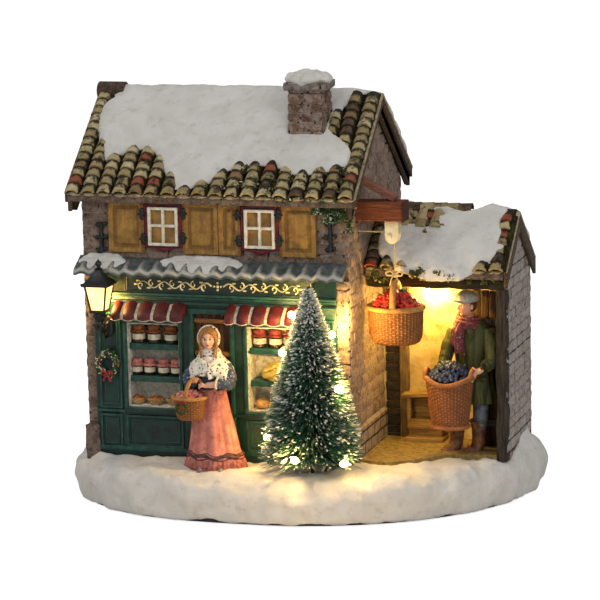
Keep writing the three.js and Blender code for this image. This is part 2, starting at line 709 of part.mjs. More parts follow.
const signBoard = block(SIGN_X[0], SIGN_X[1], -FRONT_T - SIGN_T, -FRONT_T, SIGN_Z[0], SIGN_Z[1]);
const signRim = 0.7;
const signFace = block(SIGN_X[0] + signRim, SIGN_X[1] - signRim, -FRONT_T - 2,
  -FRONT_T - SIGN_T + 0.3, SIGN_Z[0] + signRim, SIGN_Z[1] - signRim);
const sign = cut(signBoard, [signFace]);
add('sign_board', sign, 'green');

const doorY = -DOOR_T;
const plankW = (DOOR_X[1] - DOOR_X[0]) / 5;
const plankGrooves = [1, 2, 3, 4].map((i) => {
  const x = DOOR_X[0] + i * plankW;
  return block(x - 0.2, x + 0.2, doorY - 1, doorY + 0.4, SEAT_Z + 3, DOOR_TOP - 2);
});
const doorRail = block(DOOR_X[0] + 1, DOOR_X[1] - 1, doorY - 0.8, doorY + 0.2, 65.2, 66.6);
const shopDoor = cut(block(DOOR_X[0], DOOR_X[1], doorY, 0, SEAT_Z, DOOR_TOP), plankGrooves)
  .add(doorRail);
add('shop_door', shopDoor, 'darkwood');

// A display case: an open box behind the window, with two shelves and the goods on them.
function jar(x, y, z) {
  return turned(x, y, [[z - 0.2, JAR_R], [z + JAR_H * 0.66, JAR_R], [z + JAR_H * 0.7, JAR_R * 1.16],
    [z + JAR_H, JAR_R * 0.9]], 6);
}

function displayCase(x0, goods) {
  const x1 = x0 + WINDOW_W;
  const [z0, z1] = WINDOW_Z;
  const shell = cut(block(x0, x1, -FRONT_T + 0.9, CASE_DEPTH, z0, z1), [
    block(x0 + CASE_T, x1 - CASE_T, -FRONT_T, CASE_DEPTH - CASE_T, z0 + CASE_T, z1 - CASE_T)]);
  const shelves = SHELF_Z.map((z) => (
    block(x0 + 0.4, x1 - 0.4, -1.4, CASE_DEPTH - 0.4, z - SHELF_T, z)));
  return join([shell, ...shelves, ...goods]);
}

const jarRow = (x0, count, z) => Array.from({ length: count }, (_, i) => (
  jar(x0 + (WINDOW_W * (i + 0.5)) / count, 2.6, z)));
const tartRow = (x0, count) => Array.from({ length: count }, (_, i) => turned(
  x0 + (WINDOW_W * (i + 0.5)) / count, 1.6,
  [[WINDOW_Z[0] + 0.5, 2.2], [WINDOW_Z[0] + 2.2, 3], [WINDOW_Z[0] + 3.4, 1.4]], 7));
const loaf = (x, z, rx, rz) => turned(x, 3, [[z - 0.3, rx, 2.6], [z + rz, rx * 0.86, 2.2],
  [z + rz * 1.6, rx * 0.3, 1]], 8);
const rightMid = WINDOW_RIGHT_X + WINDOW_W / 2;

const displayLeft = displayCase(WINDOW_LEFT_X, [
  ...jarRow(WINDOW_LEFT_X, 3, SHELF_Z[1]), ...jarRow(WINDOW_LEFT_X, 4, SHELF_Z[0]),
  ...tartRow(WINDOW_LEFT_X, 3)]);
add('display_left', displayLeft, 'cream');
const displayRight = displayCase(WINDOW_RIGHT_X, [
  ...jarRow(WINDOW_RIGHT_X, 3, SHELF_Z[1]), loaf(rightMid - 3, SHELF_Z[0], 5.4, 3.6),
  loaf(rightMid + 6, SHELF_Z[0], 3.4, 2.6), ...tartRow(WINDOW_RIGHT_X, 3)]);
add('display_right', displayRight, 'cream');

// An awning: a sloped top on a scalloped valance, closed at its back.
function awning(x0) {
  const x1 = x0 + AWNING_W;
  const y0 = -FRONT_T;
  const y1 = -FRONT_T - AWNING_OUT;
  const hood = prism([[y0, AWNING_TOP], [y1, AWNING_FOLD], [y1, AWNING_FOLD - 1.3],
    [y0, AWNING_TOP - 1.6]], 'x', x0, x1);
  const lap = AWNING_W / AWNING_LAPS;
  const lower = [];
  for (let i = 0; i < AWNING_LAPS; i += 1) {
    for (let k = 0; k <= 4; k += 1) {
      if (k === 0 && i > 0) continue;
      const drop = Math.sin((k / 4) * Math.PI);
      lower.push([x0 + (i + k / 4) * lap, AWNING_BOTTOM + 0.9 - 0.9 * drop]);
    }
  }
  const valance = prism([[x0, AWNING_FOLD - 0.2], ...lower, [x1, AWNING_FOLD - 0.2]], 'y', y1, y1 + 1);
  const ribs = [x0, x1 - 1].map((x) => prism([
    [y0, AWNING_TOP - 1], [y1 + 0.5, AWNING_FOLD - 1], [y1 + 0.5, AWNING_BOTTOM + 1.6],
    [y0, AWNING_TOP - 3.4]], 'x', x, x + 1));
  return join([hood, valance, ...ribs]);
}

add('awning_left', awning(AWNING_LEFT_X), 'maroon');
add('awning_right', awning(AWNING_RIGHT_X), 'maroon');

// The slate ledge over the shop front: corrugated, deepest at its front edge.
function ledgeWave(x) {
  const phase = ((x - LEDGE_X[0]) / LEDGE_WAVE) % 1;
  return LEDGE_RISE * (phase < 0.35 ? phase / 0.35 : 1 - (phase - 0.35) / 0.65);
}

function slateLedge() {
  const stations = [];
  const waves = Math.round((LEDGE_X[1] - LEDGE_X[0]) / LEDGE_WAVE);
  for (let i = 0; i < waves; i += 1) stations.push(i, i + 0.35, i + 0.7);
  stations.push(waves);
  return loft(stations.map((s) => {
    const x = Math.min(LEDGE_X[0] + s * LEDGE_WAVE, LEDGE_X[1]);
    const rise = ledgeWave(LEDGE_X[0] + s * LEDGE_WAVE + 1e-6);
    return [[x, -LEDGE_OUT, LEDGE_FRONT_Z - LEDGE_T + rise * 0.35], [x, 0, LEDGE_FRONT_Z],
      [x, 0, LEDGE_BACK_Z], [x, -LEDGE_OUT, LEDGE_FRONT_Z + rise]];
  }));
}

const ledge = slateLedge();
add('slate_ledge', ledge, 'slate');

const ledgeTop = (y) => LEDGE_BACK_Z + ((LEDGE_BACK_Z - LEDGE_FRONT_Z) * y) / LEDGE_OUT;
function ledgeDrift(x0, x1) {
  const steps = 8;
  const rings = Array.from({ length: steps + 1 }, (_, i) => {
    const x = x0 + ((x1 - x0) * i) / steps;
    const swell = 0.35 + 0.65 * Math.sin((Math.PI * (i + 0.6)) / (steps + 1.2));
    const front = -LEDGE_OUT * (0.55 + 0.36 * swell + 0.05 * Math.sin(i * 2.3));
    return [[x, front, ledgeTop(front) - 0.5], [x, 0, ledgeTop(0) - 0.5],
      [x, 0, ledgeTop(0) + 2.2 * swell], [x, front * 0.7, ledgeTop(front * 0.7) + 2.8 * swell]];
  });
  return whole(cut(loft(rings), [grown(ledge)]));
}
add('ledge_snow', ledgeDrift(37, 70), 'snow');

// Upper windows and shutters

// A red surround with a peaked head and sill, holding a white four-light sash over its pane.
function upperWindow(x0) {
  const x1 = x0 + UPPER_W;
  const mid = (x0 + x1) / 2;
  const [z0, z1] = UPPER_Z;
  const side = (UPPER_W - UPPER_PANE_W) / 2;
  const peak = (k) => 1.9 * Math.cos(((k - 0.5) * Math.PI) * 0.98) ** 2;
  const head = Array.from({ length: 7 }, (_, k) => [x1 - (UPPER_W * k) / 6, z1 - 1.9 + peak(k / 6)]);
  const foot = Array.from({ length: 7 }, (_, k) => [x0 + (UPPER_W * k) / 6, z0 + 1.9 - peak(k / 6)]);
  const surround = cut(prism([...foot, ...head], 'y', -UPPER_OUT, 0), [
    block(x0 + side, x1 - side, -UPPER_OUT - 1, -0.4, UPPER_PANE_Z[0], UPPER_PANE_Z[1])]);
  const bar = UPPER_BAR;
  const [p0, p1] = UPPER_PANE_Z;
  const midZ = (p0 + p1) / 2;
  const sash = cut(block(x0 + side, x1 - side, -UPPER_OUT - 0.5, -0.2, p0, p1), [
    block(x0 + side + bar, mid - bar / 2, -UPPER_OUT - 1, -0.8, p0 + bar, midZ - bar / 2),
    block(mid + bar / 2, x1 - side - bar, -UPPER_OUT - 1, -0.8, p0 + bar, midZ - bar / 2),
    block(x0 + side + bar, mid - bar / 2, -UPPER_OUT - 1, -0.8, midZ + bar / 2, p1 - bar),
    block(mid + bar / 2, x1 - side - bar, -UPPER_OUT - 1, -0.8, midZ + bar / 2, p1 - bar)]);
  const pane = block(x0 + side, x1 - side, -0.6, WALL_T, p0, p1);
  return join([surround, sash, pane]);
}

UPPER_X.forEach((x, i) => add(`window_${i ? 'right' : 'left'}`, upperWindow(x), 'window'));

function shutter(x0, x1) {
  const [z0, z1] = SHUTTER_Z;
  const r = SHUTTER_RIM;
  const board = block(x0, x1, -SHUTTER_T, 0, z0, z1);
  const recess = block(x0 + r, x1 - r, -SHUTTER_T - 1, -SHUTTER_T + 0.6, z0 + r, z1 - r);
  const field = loft([[-SHUTTER_T + 0.8, 0.9], [-SHUTTER_T, 2.1]].map(([y, by]) => {
    const e = r + by;
    return [[x0 + e, y, z0 + e], [x1 - e, y, z0 + e], [x1 - e, y, z1 - e], [x0 + e, y, z1 - e]];
  }));
  return cut(board, [recess]).add(field);
}
const [shutterA, shutterB, shutterC, shutterD] = SHUTTERS.map(([x0, x1]) => shutter(x0, x1));
add('shutter_left', shutterA, 'ochre');
add('shutter_pair', shutterB.add(shutterC), 'ochre');
add('shutter_right', shutterD, 'ochre');

// Wreath and lantern

const wreathGeometry = new THREE.TorusGeometry(WREATH_R, WREATH_TUBE, 6, 12);
wreathGeometry.rotateX(Math.PI / 2);
wreathGeometry.translate(WREATH_AT[0], -FRONT_T - WREATH_TUBE * 0.8 + 0.7, WREATH_AT[1]);
add('wreath', cut(solidOf(wreathGeometry), [shopfront]), 'bristle');

const [lampBottom, lampTop] = LANTERN_Z;
const [lampR0, lampR1] = LANTERN_R;
const four = (z, r) => oval(LANTERN_X, LANTERN_Y, z, r * Math.SQRT2, r * Math.SQRT2, 4, 0, 0, Math.PI / 4);
const lanternGlass = loft([four(lampBottom, lampR0), four(lampTop, lampR1)]);
const lanternRoof = loft([four(lampTop, lampR1 + 0.9), four(lampTop + 0.8, lampR1 + 1),
  four(lampTop + 6.4, 1), four(lampTop + 7, 1.4), four(lampTop + 7.6, 0.6)],
  { end: [LANTERN_X, LANTERN_Y, lampTop + 11.4] });
const lanternFoot = join([
  turned(LANTERN_X, LANTERN_Y, [[lampBottom - 6.5, 0.7], [lampBottom - 5.4, 1.6],
    [lampBottom - 3.5, 1.1], [lampBottom - 0.5, 2.2]], 8),
  loft([four(lampBottom - 0.9, lampR0 + 0.7), four(lampBottom, lampR0 + 0.7)])]);
const lampBars = [[-1, -1], [1, -1], [1, 1], [-1, 1]].map(([u, v]) => limb([
  [LANTERN_X + u * lampR0, LANTERN_Y + v * lampR0, lampBottom - 0.4],
  [LANTERN_X + u * lampR1, LANTERN_Y + v * lampR1, lampTop + 0.4]], [LANTERN_BAR, LANTERN_BAR], 5));
const armZ = lampBottom - 7.6;
const lanternArm = limb([[LANTERN_X, LANTERN_Y, armZ + 2], [LANTERN_X, LANTERN_Y + 1.6, armZ - 0.8],
  [LANTERN_X, LANTERN_Y + 4, armZ - 1.8], [LANTERN_X, -FRONT_T, armZ]], [0.8, 0.9, 0.9, 0.9], 6);
const wallPlate = turnedY(LANTERN_X, armZ, [[-FRONT_T - 1, 1.6], [-FRONT_T + 1, 2]], 10);
const lanternFrame = cut(join([lanternRoof, lanternFoot, ...lampBars, lanternArm, wallPlate]),
  [grown(lanternGlass), shopfront]);
add('lantern_frame', lanternFrame, 'black');
add('lantern_glass', lanternGlass, 'glow');

// Shed

const shedInner = SHED_X1 - SHED_WALL_T;
const wallFrontY = SHED_FRONT_Y + POST_D;
const shedSide = prism([
  [wallFrontY, SEAT_Z], [SHED_BACK_Y, SEAT_Z], [SHED_BACK_Y, shedUnder(SHED_BACK_Y)],
  [SHED_RIDGE_Y, shedUnder(SHED_RIDGE_Y)], [wallFrontY, shedUnder(wallFrontY)],
], 'x', shedInner, SHED_X1);
add('shed_wall_right', shedSide, 'stone');

const shedBack = prism([
  [ALCOVE_Y, SEAT_Z], [SHED_BACK_Y, SEAT_Z], [SHED_BACK_Y, shedUnder(SHED_BACK_Y)],
  [ALCOVE_Y, shedUnder(ALCOVE_Y)]], 'x', HOUSE_W, shedInner);
add('shed_back', shedBack, 'plaster');

const shedDeck = roofBand(SHED_ROOF, shedX[0], shedX[1], 0, SHED_DECK_T);
const vergeX0 = SHED_X1 + SEAT_GAP;
const shedVerge = roofBand(SHED_ROOF, vergeX0, vergeX0 + SHED_VERGE_T, SHED_DECK_T - 0.5,
  SHED_DECK_T + VERGE_DROP);
const shedCentre = [HOUSE_W + 39.9, SHED_RIDGE_Y - 4];
const shedBlanket = snowBlanket(SHED_SNOW, shedCentre, SHED_ROOF, 4.4, 1.5, 0.8);
const shedTiles = cut(tilesOn(SHED_ROOF, SHED_SNOW), [grown(shedBlanket)]);
const shedRoof = whole(join([shedDeck, shedVerge, shedTiles]));
add('shed_roof', shedRoof, 'tile');

const lintelBack = SHED_FRONT_Y + LINTEL_T;
const lintel = prism([
  [SHED_FRONT_Y, LINTEL_Z[0]], [lintelBack, LINTEL_Z[0]], [lintelBack, shedUnder(lintelBack)],
  [SHED_FRONT_Y, shedUnder(SHED_FRONT_Y)]], 'x', HOUSE_W, SHED_X1);
add('shed_lintel', lintel, 'darkwood');
const post = block(shedInner, shedInner + POST_W, SHED_FRONT_Y, wallFrontY, SEAT_Z, LINTEL_Z[0]);
add('shed_snow', whole(cut(shedBlanket, [belowRoof(SHED_ROOF), grown(lintel)])), 'snow');

const planks = (x0, x1, y0, y1, z0, z1, count) => cut(block(x0, x1, y0, y1, z0, z1),
  Array.from({ length: count - 1 }, (_, i) => {
    const x = x0 + ((x1 - x0) * (i + 1)) / count;
    return block(x - 0.2, x + 0.2, y0 - 1, y0 + 0.4, z0 + 2, z1 - 2);
  }));
const leafX = [shedInner - LEAF_W, shedInner];
add('shed_post', post, 'greywood');
add('open_door', planks(leafX[0], leafX[1], LEAF_Y, LEAF_Y + 1.6, PAVING_Z, 89, 4), 'darkwood');
const innerDoor = join([
  planks(HOUSE_W + 1.6, HOUSE_W + 7.9, ALCOVE_Y - 1.4, ALCOVE_Y, PAVING_Z, 84, 3),
  block(HOUSE_W + 7.3, HOUSE_W + 11.3, ALCOVE_Y - 2.6, ALCOVE_Y, PAVING_Z, 84)]);
add('inner_door', innerDoor, 'darkwood');
const stepX = HOUSE_W + 11.5;
const stepAndCrate = join([
  block(stepX, stepX + 16.9, 41, ALCOVE_Y, PAVING_Z, 25.2),
  block(stepX, stepX + 14.9, 44, ALCOVE_Y, 25, 28.6),
  cut(block(stepX, stepX + 13, 44.6, ALCOVE_Y, 28, 40.6), [
    block(stepX + 1.4, stepX + 11.6, 44, ALCOVE_Y - 2, 30, 39)])]);
add('step_and_crate', stepAndCrate, 'wood');

const paving = cut(prism([
  ...besideHouse([[0, 7], [5.9, 3.5], [13.9, 1.5], [23.9, 9]]),
  ...besideShed([[-25.8, 19], [-15.8, 23]]),
  [shedInner, SHED_FRONT_Y],
  [shedInner, ALCOVE_Y], [HOUSE_W, ALCOVE_Y]], 'z', SEAT_Z, PAVING_Z), [gableRight, post]);
add('paving', paving, 'paving');

// Hoist

const beam = block(HOUSE_W, BEAM_X1, HOIST_Y - BEAM_D / 2, HOIST_Y + BEAM_D / 2, BEAM_Z[0], BEAM_Z[1]);
const brace = prism([
  [HOUSE_W, 138.6], [HOUSE_W, 138.6 + BRACE_T * 1.6], [BEAM_X1 - 4, BEAM_Z[1] + BRACE_T],
  [BEAM_X1 - 5.4, BEAM_Z[1] - 0.3]], 'y', HOIST_Y, HOIST_Y + BEAM_D / 2);
add('hoist_beam', beam.add(brace), 'wood');

const cheekGap = PULLEY_T / 2 + SEAT_GAP;
const cheekOutline = [[PULLEY_X - 2, BEAM_Z[0] - 1.6], [PULLEY_X + 4, BEAM_Z[0] - 1.6],
  [PULLEY_X + 4, PULLEY_Z]];
for (let i = 1; i <= 6; i += 1) {
  const a = (-i / 6) * Math.PI;
  const [u, v] = [Math.cos(a), Math.sin(a)];
  cheekOutline.push([PULLEY_X + 1 + (CHEEK_W / 2) * u, PULLEY_Z + (CHEEK_W / 2) * v]);
}
const cheeks = [-1, 1].map((side) => {
  const inner = HOIST_Y + side * cheekGap;
  const outer = inner + side * CHEEK_T;
  return prism(cheekOutline, 'y', Math.min(inner, outer), Math.max(inner, outer));
});
const bracketTop = block(PULLEY_X - 2, PULLEY_X + 4, HOIST_Y - cheekGap - CHEEK_T,
  HOIST_Y + cheekGap + CHEEK_T, BEAM_Z[0] - 2, BEAM_Z[0]);
const pulleyPin = turnedY(PULLEY_X, PULLEY_Z, [
  [HOIST_Y - cheekGap - 0.3, PULLEY_PIN_R], [HOIST_Y + cheekGap + 0.3, PULLEY_PIN_R]], 12);
add('pulley_bracket', join([...cheeks, bracketTop, pulleyPin]), 'white');

const wheelHalf = PULLEY_T / 2;
const wheel = cut(turnedY(PULLEY_X, PULLEY_Z, [
  [HOIST_Y - wheelHalf, PULLEY_R], [HOIST_Y - wheelHalf + 0.3, PULLEY_R],
  [HOIST_Y - 0.35, PULLEY_GROOVE_R], [HOIST_Y + 0.35, PULLEY_GROOVE_R],
  [HOIST_Y + wheelHalf - 0.3, PULLEY_R], [HOIST_Y + wheelHalf, PULLEY_R]], 16), [
  turnedY(PULLEY_X, PULLEY_Z, [[HOIST_Y - 3, PULLEY_PIN_R + RUN_GAP],
    [HOIST_Y + 3, PULLEY_PIN_R + RUN_GAP]], 10)]);
add('pulley_wheel', wheel, 'white');

// The thread runs level from the drum over the pulley, then hangs down to its knot.
const drumZ = threadZ - DRUM_PATH_R;
const threadX = PULLEY_X + THREAD_PATH_R;
const threadPath = [[DRUM_X, HOIST_Y, threadZ]];
for (let i = 1; i <= 4; i += 1) {
  threadPath.push([DRUM_X + ((PULLEY_X - DRUM_X) * i) / 4, HOIST_Y, threadZ]);
}
for (let i = 1; i <= 3; i += 1) {
  const a = Math.PI / 2 - (i / 3) * (Math.PI / 2);
  const [u, v] = [Math.cos(a), Math.sin(a)];
  threadPath.push([PULLEY_X + THREAD_PATH_R * u, HOIST_Y, PULLEY_Z + THREAD_PATH_R * v]);
}
add('hoist_thread', tube(threadPath, THREAD_R, 8, 18), 'thread');
add('hang_thread', turned(threadX, HOIST_Y, [[KNOT_Z + KNOT_R + 0.2, THREAD_R],
  [PULLEY_Z - SEAT_GAP, THREAD_R]], 8), 'thread');
add('thread_knot', ball(threadX, HOIST_Y, KNOT_Z, KNOT_R, KNOT_R, KNOT_R, 1), 'thread');

const drumY = [HOIST_Y - DRUM_L / 2, HOIST_Y + DRUM_L / 2];
const drumR = DRUM_PATH_R - THREAD_R - 0.1;
const drum = join([
  turnedY(DRUM_X, drumZ, [[drumY[0] - 1, drumR + 1.6], [drumY[0], drumR + 1.6], [drumY[0], drumR],
    [drumY[1], drumR], [drumY[1], drumR + 1.6], [drumY[1] + 1, drumR + 1.6], [drumY[1] + 1, 1.2],
    [drumY[1] + 6, 1.2]], 18)]);
add('winding_drum', drum, 'white');
const motorY0 = drumY[1] + 1 + SEAT_GAP;
const motor = cut(block(DRUM_X - 7, HOUSE_W - WALL_T, motorY0, motorY0 + 13, drumZ - 8, drumZ + 6), [
  turnedY(DRUM_X, drumZ, [[motorY0 - 1, 1.2 + RUN_GAP], [motorY0 + 6, 1.2 + RUN_GAP]], 12)]);
add('gear_motor', motor, 'case');

// The basket: a flared wicker bowl heaped with berries, under an arched handle.
const basketTop = BASKET_Z[1];
const handleTop = KNOT_Z - KNOT_R - SEAT_GAP - HANDLE_R;
const basketBowl = turned(threadX, HOIST_Y, [
  [BASKET_Z[0], BASKET_RX - 3.2, BASKET_RY - 2.8], [BASKET_Z[0] + 1.6, BASKET_RX - 1.6, BASKET_RY - 1.4],
  [BASKET_Z[0] + 9, BASKET_RX - 0.4, BASKET_RY - 0.4], [basketTop - 1.8, BASKET_RX - 0.4, BASKET_RY - 0.4],
  [basketTop - 1.4, BASKET_RX, BASKET_RY], [basketTop, BASKET_RX, BASKET_RY],
  [basketTop + 0.4, BASKET_RX - 1, BASKET_RY - 1]], 16);
const handleArc = Array.from({ length: 9 }, (_, i) => {
  const a = (i / 8) * Math.PI;
  return [threadX + 1.6 * Math.cos(a), HOIST_Y - (BASKET_RY - 1.2) * Math.cos(a),
    basketTop - 1 + (handleTop - basketTop + 1) * Math.sin(a)];
});
const heapOf = (cx, cy, z, rx, ry, rise, r, counts) => join([
  turned(cx, cy, [[z - 1.5, rx * 0.9, ry * 0.9], [z, rx * 0.9, ry * 0.9],
    [z + rise * 0.55, rx * 0.62, ry * 0.62], [z + rise * 0.8, rx * 0.2, ry * 0.2]], 10),
  ...counts.flatMap(([count, spread, up]) => Array.from({ length: count }, (_, i) => {
    const a = ((i + up) / count) * Math.PI * 2;
    return ball(cx + rx * spread * Math.cos(a), cy + ry * spread * Math.sin(a), z + rise * up, r, r, r, 0);
  }))]);
const hoistBasket = join([basketBowl, tube(handleArc, HANDLE_R, 6, 12),
  heapOf(threadX, HOIST_Y, basketTop, BASKET_RX - 1.4, BASKET_RY - 1.4, 6, 2,
    [[5, 0.7, 0.24], [2, 0.34, 0.66]])]);
add('hanging_basket', hoistBasket, 'basket');

// Woman

const [wx, wy] = WOMAN;
const skirtRows = [
  [19.4, 1.2, 11.2, 8.3, 0.07], [21, 1.1, 11.9, 9, 0.07], [24.5, 1, 10.6, 8.3, 0.055],
  [27, 0.9, 10, 7.8, 0.05], [34, 0.6, 8.7, 7, 0.045], [43, 0.2, 6.9, 5.9, 0.03],
  [WAIST_Z, 0, 5, 4.5, 0.01]];
const WB = [wx - 6.8, wy - 7.4];
const womanBowl = (by) => turned(WB[0], WB[1], [[41 - by, 4.8 + by, 3.6 + by], [42, 5.4 + by, 4.2 + by],
  [49, 6.4 + by, 5.2 + by], [49.4, 6.9 + by, 5.6 + by], [50.6, 6.9 + by, 5.6 + by],
  [51.4 + by, 4.6 + by, 3.6 + by]], 12);
const skirt = cut(loft(skirtRows.map(([z, dx, rx, ry, wave]) => (
  oval(wx + dx, wy, z, rx, ry, 24, wave, 8)))), [womanBowl(SEAT_GAP)]);
const bodice = (by) => turned(wx - 0.4, wy, [[50, 4.7 + by, 4.2 + by], [56, 5.7 + by, 4.4 + by],
  [61, 6.6 + by, 4.2 + by], [64 + by, 4.4 + by, 3.2 + by]], 10);
const womanArms = (by) => [
  limb([[wx - 6 + by * 0.4, wy + by * 0.4, 61 + by], [wx - 8, wy - 2, 56.4],
    [wx - 6.6, wy - 4.2, 53.6], [wx - 1.6, wy - 6.4, 53.4], [wx + 1.2 + by, wy - 6.6, 53.8]],
  [2.1, 2.4, 2.2, 1.5, 1.1].map((r) => r + by), 6),
  limb([[wx + 6 - by * 0.4, wy + by * 0.4, 61 + by], [wx + 9, wy - 1.6, 57.4],
    [wx + 8.6, wy - 3.4, 54.4], [wx + 3.6, wy - 5.8, 55.2], [wx - 0.6 - by, wy - 6.6, 55.8]],
  [2.1, 2.5, 2.2, 1.6, 1.1].map((r) => r + by), 6)];
const womanNeck = (by) => turned(wx - 1, wy - 0.6, [[62 - by, 2.2 + by], [69, 1.9 + by]], 8);
const womanFace = (by) => ball(wx - 1, wy - 1.4, 71.8, 3.9 + by, 3.7 + by, 5 + by, 1);
const cape = (by) => loft([[55.8 - by, 10.6, 7, 0.05], [57.4, 10.9, 7.1, 0.05], [61.4, 8.7, 5.8, 0.02],
  [64.6, 5.2, 4.4, 0], [66.8, 3.9, 4, 0]].map(([z, rx, ry, wave]) => (
  oval(wx - 0.4, wy + 0.4, z, rx + by, ry + by, 15, wave, 5))));
const hood = turned(wx - 1, wy + 0.2, [[64.8, 4], [68, 4.7], [72, 5.2], [76, 4.9], [79, 3.2],
  [80.2, 1.2]], 14);
const faceGap = ball(wx - 1.2, wy - 6, 71.4, 3.7, 5.6, 5.4, 1);
const room = 3 * SEAT_GAP;
const waist = block(wx - 9, wx + 9, wy - 9, wy + 9, 40, WAIST_Z);
const shawl = whole(cut(join([cape(0), hood]), [
  faceGap, bodice(room), ...womanArms(room), womanNeck(room), womanFace(room)]));
const womanTop = whole(cut(join([bodice(0), ...womanArms(0)]), [waist, womanBowl(SEAT_GAP), shawl]));
const womanHead = whole(cut(womanFace(0).add(womanNeck(0)), [bodice(SEAT_GAP)]));
add('woman_skirt', skirt, 'salmon');
add('woman_top', womanTop, 'navy');
add('woman_shawl', shawl, 'shawl');
add('woman_head', womanHead, 'skin');

const womanHandle = Array.from({ length: 7 }, (_, i) => {
  const a = (i / 6) * Math.PI;
  return [WB[0] - 4.4 * Math.cos(a) * 0.5, WB[1] - 4.2 * Math.cos(a), 49.4 + 9.4 * Math.sin(a)];
});
const womanBasket = cut(join([
  womanBowl(0), tube(womanHandle, 0.8, 6, 12),
  ball(WB[0] - 3.6, WB[1] - 4.4, 47.4, 2.6, 1.6, 2.4, 0)]), [...womanArms(room), cape(room)]);
add('woman_basket', whole(womanBasket), 'basket');

// Man

const [mx, my] = MAN;
const boot = (x, y) => join([
  limb([[x, y, 34], [x, y, 28], [x, y, 23]], [3.4, 3, 2.9], 8),
  loft([[PAVING_Z, 1], [23.2, 1.05], [25.4, 0.75]].map(([z, k]) => (
    oval(x - 1.6, y - 1.8, z, 4.6 * k, 3.4 * k, 10, 0, 0, 0))))]);
const legs = join([
  boot(mx + 2.6, my), boot(mx - 7, my + 0.6),
  limb([[mx + 2.6, my, 33], [mx + 3, my, 40], [mx + 2, my, 47]], [2.7, 3.2, 3.8], 8),
  limb([[mx - 7, my + 0.6, 33], [mx - 5, my, 40], [mx - 2, my, 47]], [2.7, 3.2, 3.8], 8)]);
const coatBody = loft([[42, 1.6, 8.2, 6.4, 0.03], [50, 1.2, 7.4, 5.9, 0.02], [62, 0.6, 7.4, 5.7, 0],
  [69, 0, 8.2, 5.4, 0], [74, -0.2, 6.6, 4.6, 0], [76.6, -0.6, 3.4, 3.2, 0]].map(([z, dx, rx, ry, wave]) => (
  oval(mx + dx, my, z, rx, ry, 16, wave, 5))));
const sleeveRight = (by) => limb([[mx + 6.6, my - 0.4, 72], [mx + 9.4, my - 3.4, 64.4],
  [mx + 8.8, my - 6.6, 58.8], [mx + 4.6 - by, my - 10.6 - by, 57]],
[2.8, 2.8, 2.5, 1.9].map((r) => r + by), 8);
const sleeveLeft = limb([[mx - 6.6, my - 0.4, 72], [mx - 9.2, my - 2.4, 65.4], [mx - 10.4, my - 4.6, 60.6]],
  [2.7, 2.7, 2.3], 8);
const scarf = join([
  turned(mx - 0.8, my - 0.2, [[74.4, 4.6, 4.2], [76.4, 5, 4.6], [79, 3.4, 3.4]], 12),
  loft([[76.4, 2.6, 1.4], [69, 2.9, 1.4], [63.4, 2.5, 1.2]].map(([z, rx, ry]) => (
    oval(mx - 3.6, my - 5.6 + (76.4 - z) * 0.02, z, rx, ry, 8))))]);
const MB = [mx - 6.6, my - 12.4];
const manBowl = (by) => turned(MB[0], MB[1], [[33 - by, 7.2 + by, 5.8 + by], [34.4, 8 + by, 6.4 + by],
  [46, 9 + by, 7.4 + by], [52.6, 9.7 + by, 8.1 + by], [53, 10.3 + by, 8.6 + by],
  [54.8, 10.3 + by, 8.6 + by], [55.4 + by, 8.8 + by, 7.2 + by]], 16);
const coat = whole(cut(join([coatBody, sleeveRight(0), sleeveLeft, scarf]), [
  grown(legs), manBowl(SEAT_GAP)]));
const manHead = join([
  ball(mx - 1.6, my - 0.6, 83.6, 4, 4.2, 5, 1), turned(mx - 1.2, my, [[76, 2.4], [80.6, 2.2]], 8),
  ball(mx - 5.2, my - 2.4, 83, 1, 0.9, 1.2, 0)]);
const cap = join([
  turned(mx - 1.2, my - 0.4, [[86, 4.4], [87.2, 5.2], [89.4, 4.8], [90.8, 2.4]], 12),
  turned(mx - 5.2, my - 3, [[86.2, 2], [86.8, 2.8], [87.4, 2]], 10)]);
add('man_legs', legs, 'trouser');
add('man_coat', coat, 'olive');
add('man_head', whole(cut(manHead.add(cap), [grown(coat)])), 'skin');

const manBasket = cut(join([
  manBowl(0), heapOf(MB[0], MB[1], 55, 8.4, 6.6, 6, 1.9, [[5, 0.66, 0.24], [2, 0.3, 0.66]]),
  tube(Array.from({ length: 6 }, (_, i) => {
    const a = (i / 5) * Math.PI;
    return [MB[0] + 9.8 + 0.4 * Math.sin(a), MB[1] - 3.4 * Math.cos(a), 54 + 4 * Math.sin(a)];
  }), 0.8, 6, 8)]), [sleeveRight(room)]);
add('man_basket', whole(manBasket), 'basket');

// Tree

const [tx, ty] = TREE_AT;
const treeRadius = (z) => {
  const t = Math.min(Math.max((z - TREE_Z[0]) / (TREE_Z[1] - TREE_Z[0]), 0), 1);
  return TREE_R * (1 - t ** TREE_SWELL) + 1.4;
};

// The light string winds down the tree: [angle in degrees, height, lamp if it has one there].
const LAMP = 'lamp';
const STRING_ROUTE = [[120, 90.5], [190, 86, LAMP], [280, 82], [398, 76.8, LAMP], [460, 74],
  [550, 70, LAMP], [625, 63.4], [700, 56.5, LAMP], [805, 45], [860, 39.4], [912, 34, LAMP],
  [985, 28.4, LAMP], [1050, 25.8, LAMP], [1120, 24.4]];
const onTree = (angle, z, share) => {
  const a = (angle / 180) * Math.PI;
  const r = treeRadius(z) * share;
  return [tx + r * Math.cos(a), Math.min(ty + r * Math.sin(a), -FRONT_T - 5.4), z];
};
const stringPoints = STRING_ROUTE.map(([angle, z]) => onTree(angle, z, WIRE_SEAT));
stringPoints.push([tx + 6, ty + 5.6, 22.4], [tx + 4, ty + 3.6, SEAT_Z + 0.6]);
const stringCurve = new THREE.CatmullRomCurve3(stringPoints.map((p) => new THREE.Vector3(...p)));
const stringWire = tube(stringPoints, WIRE_R, 5, 58);
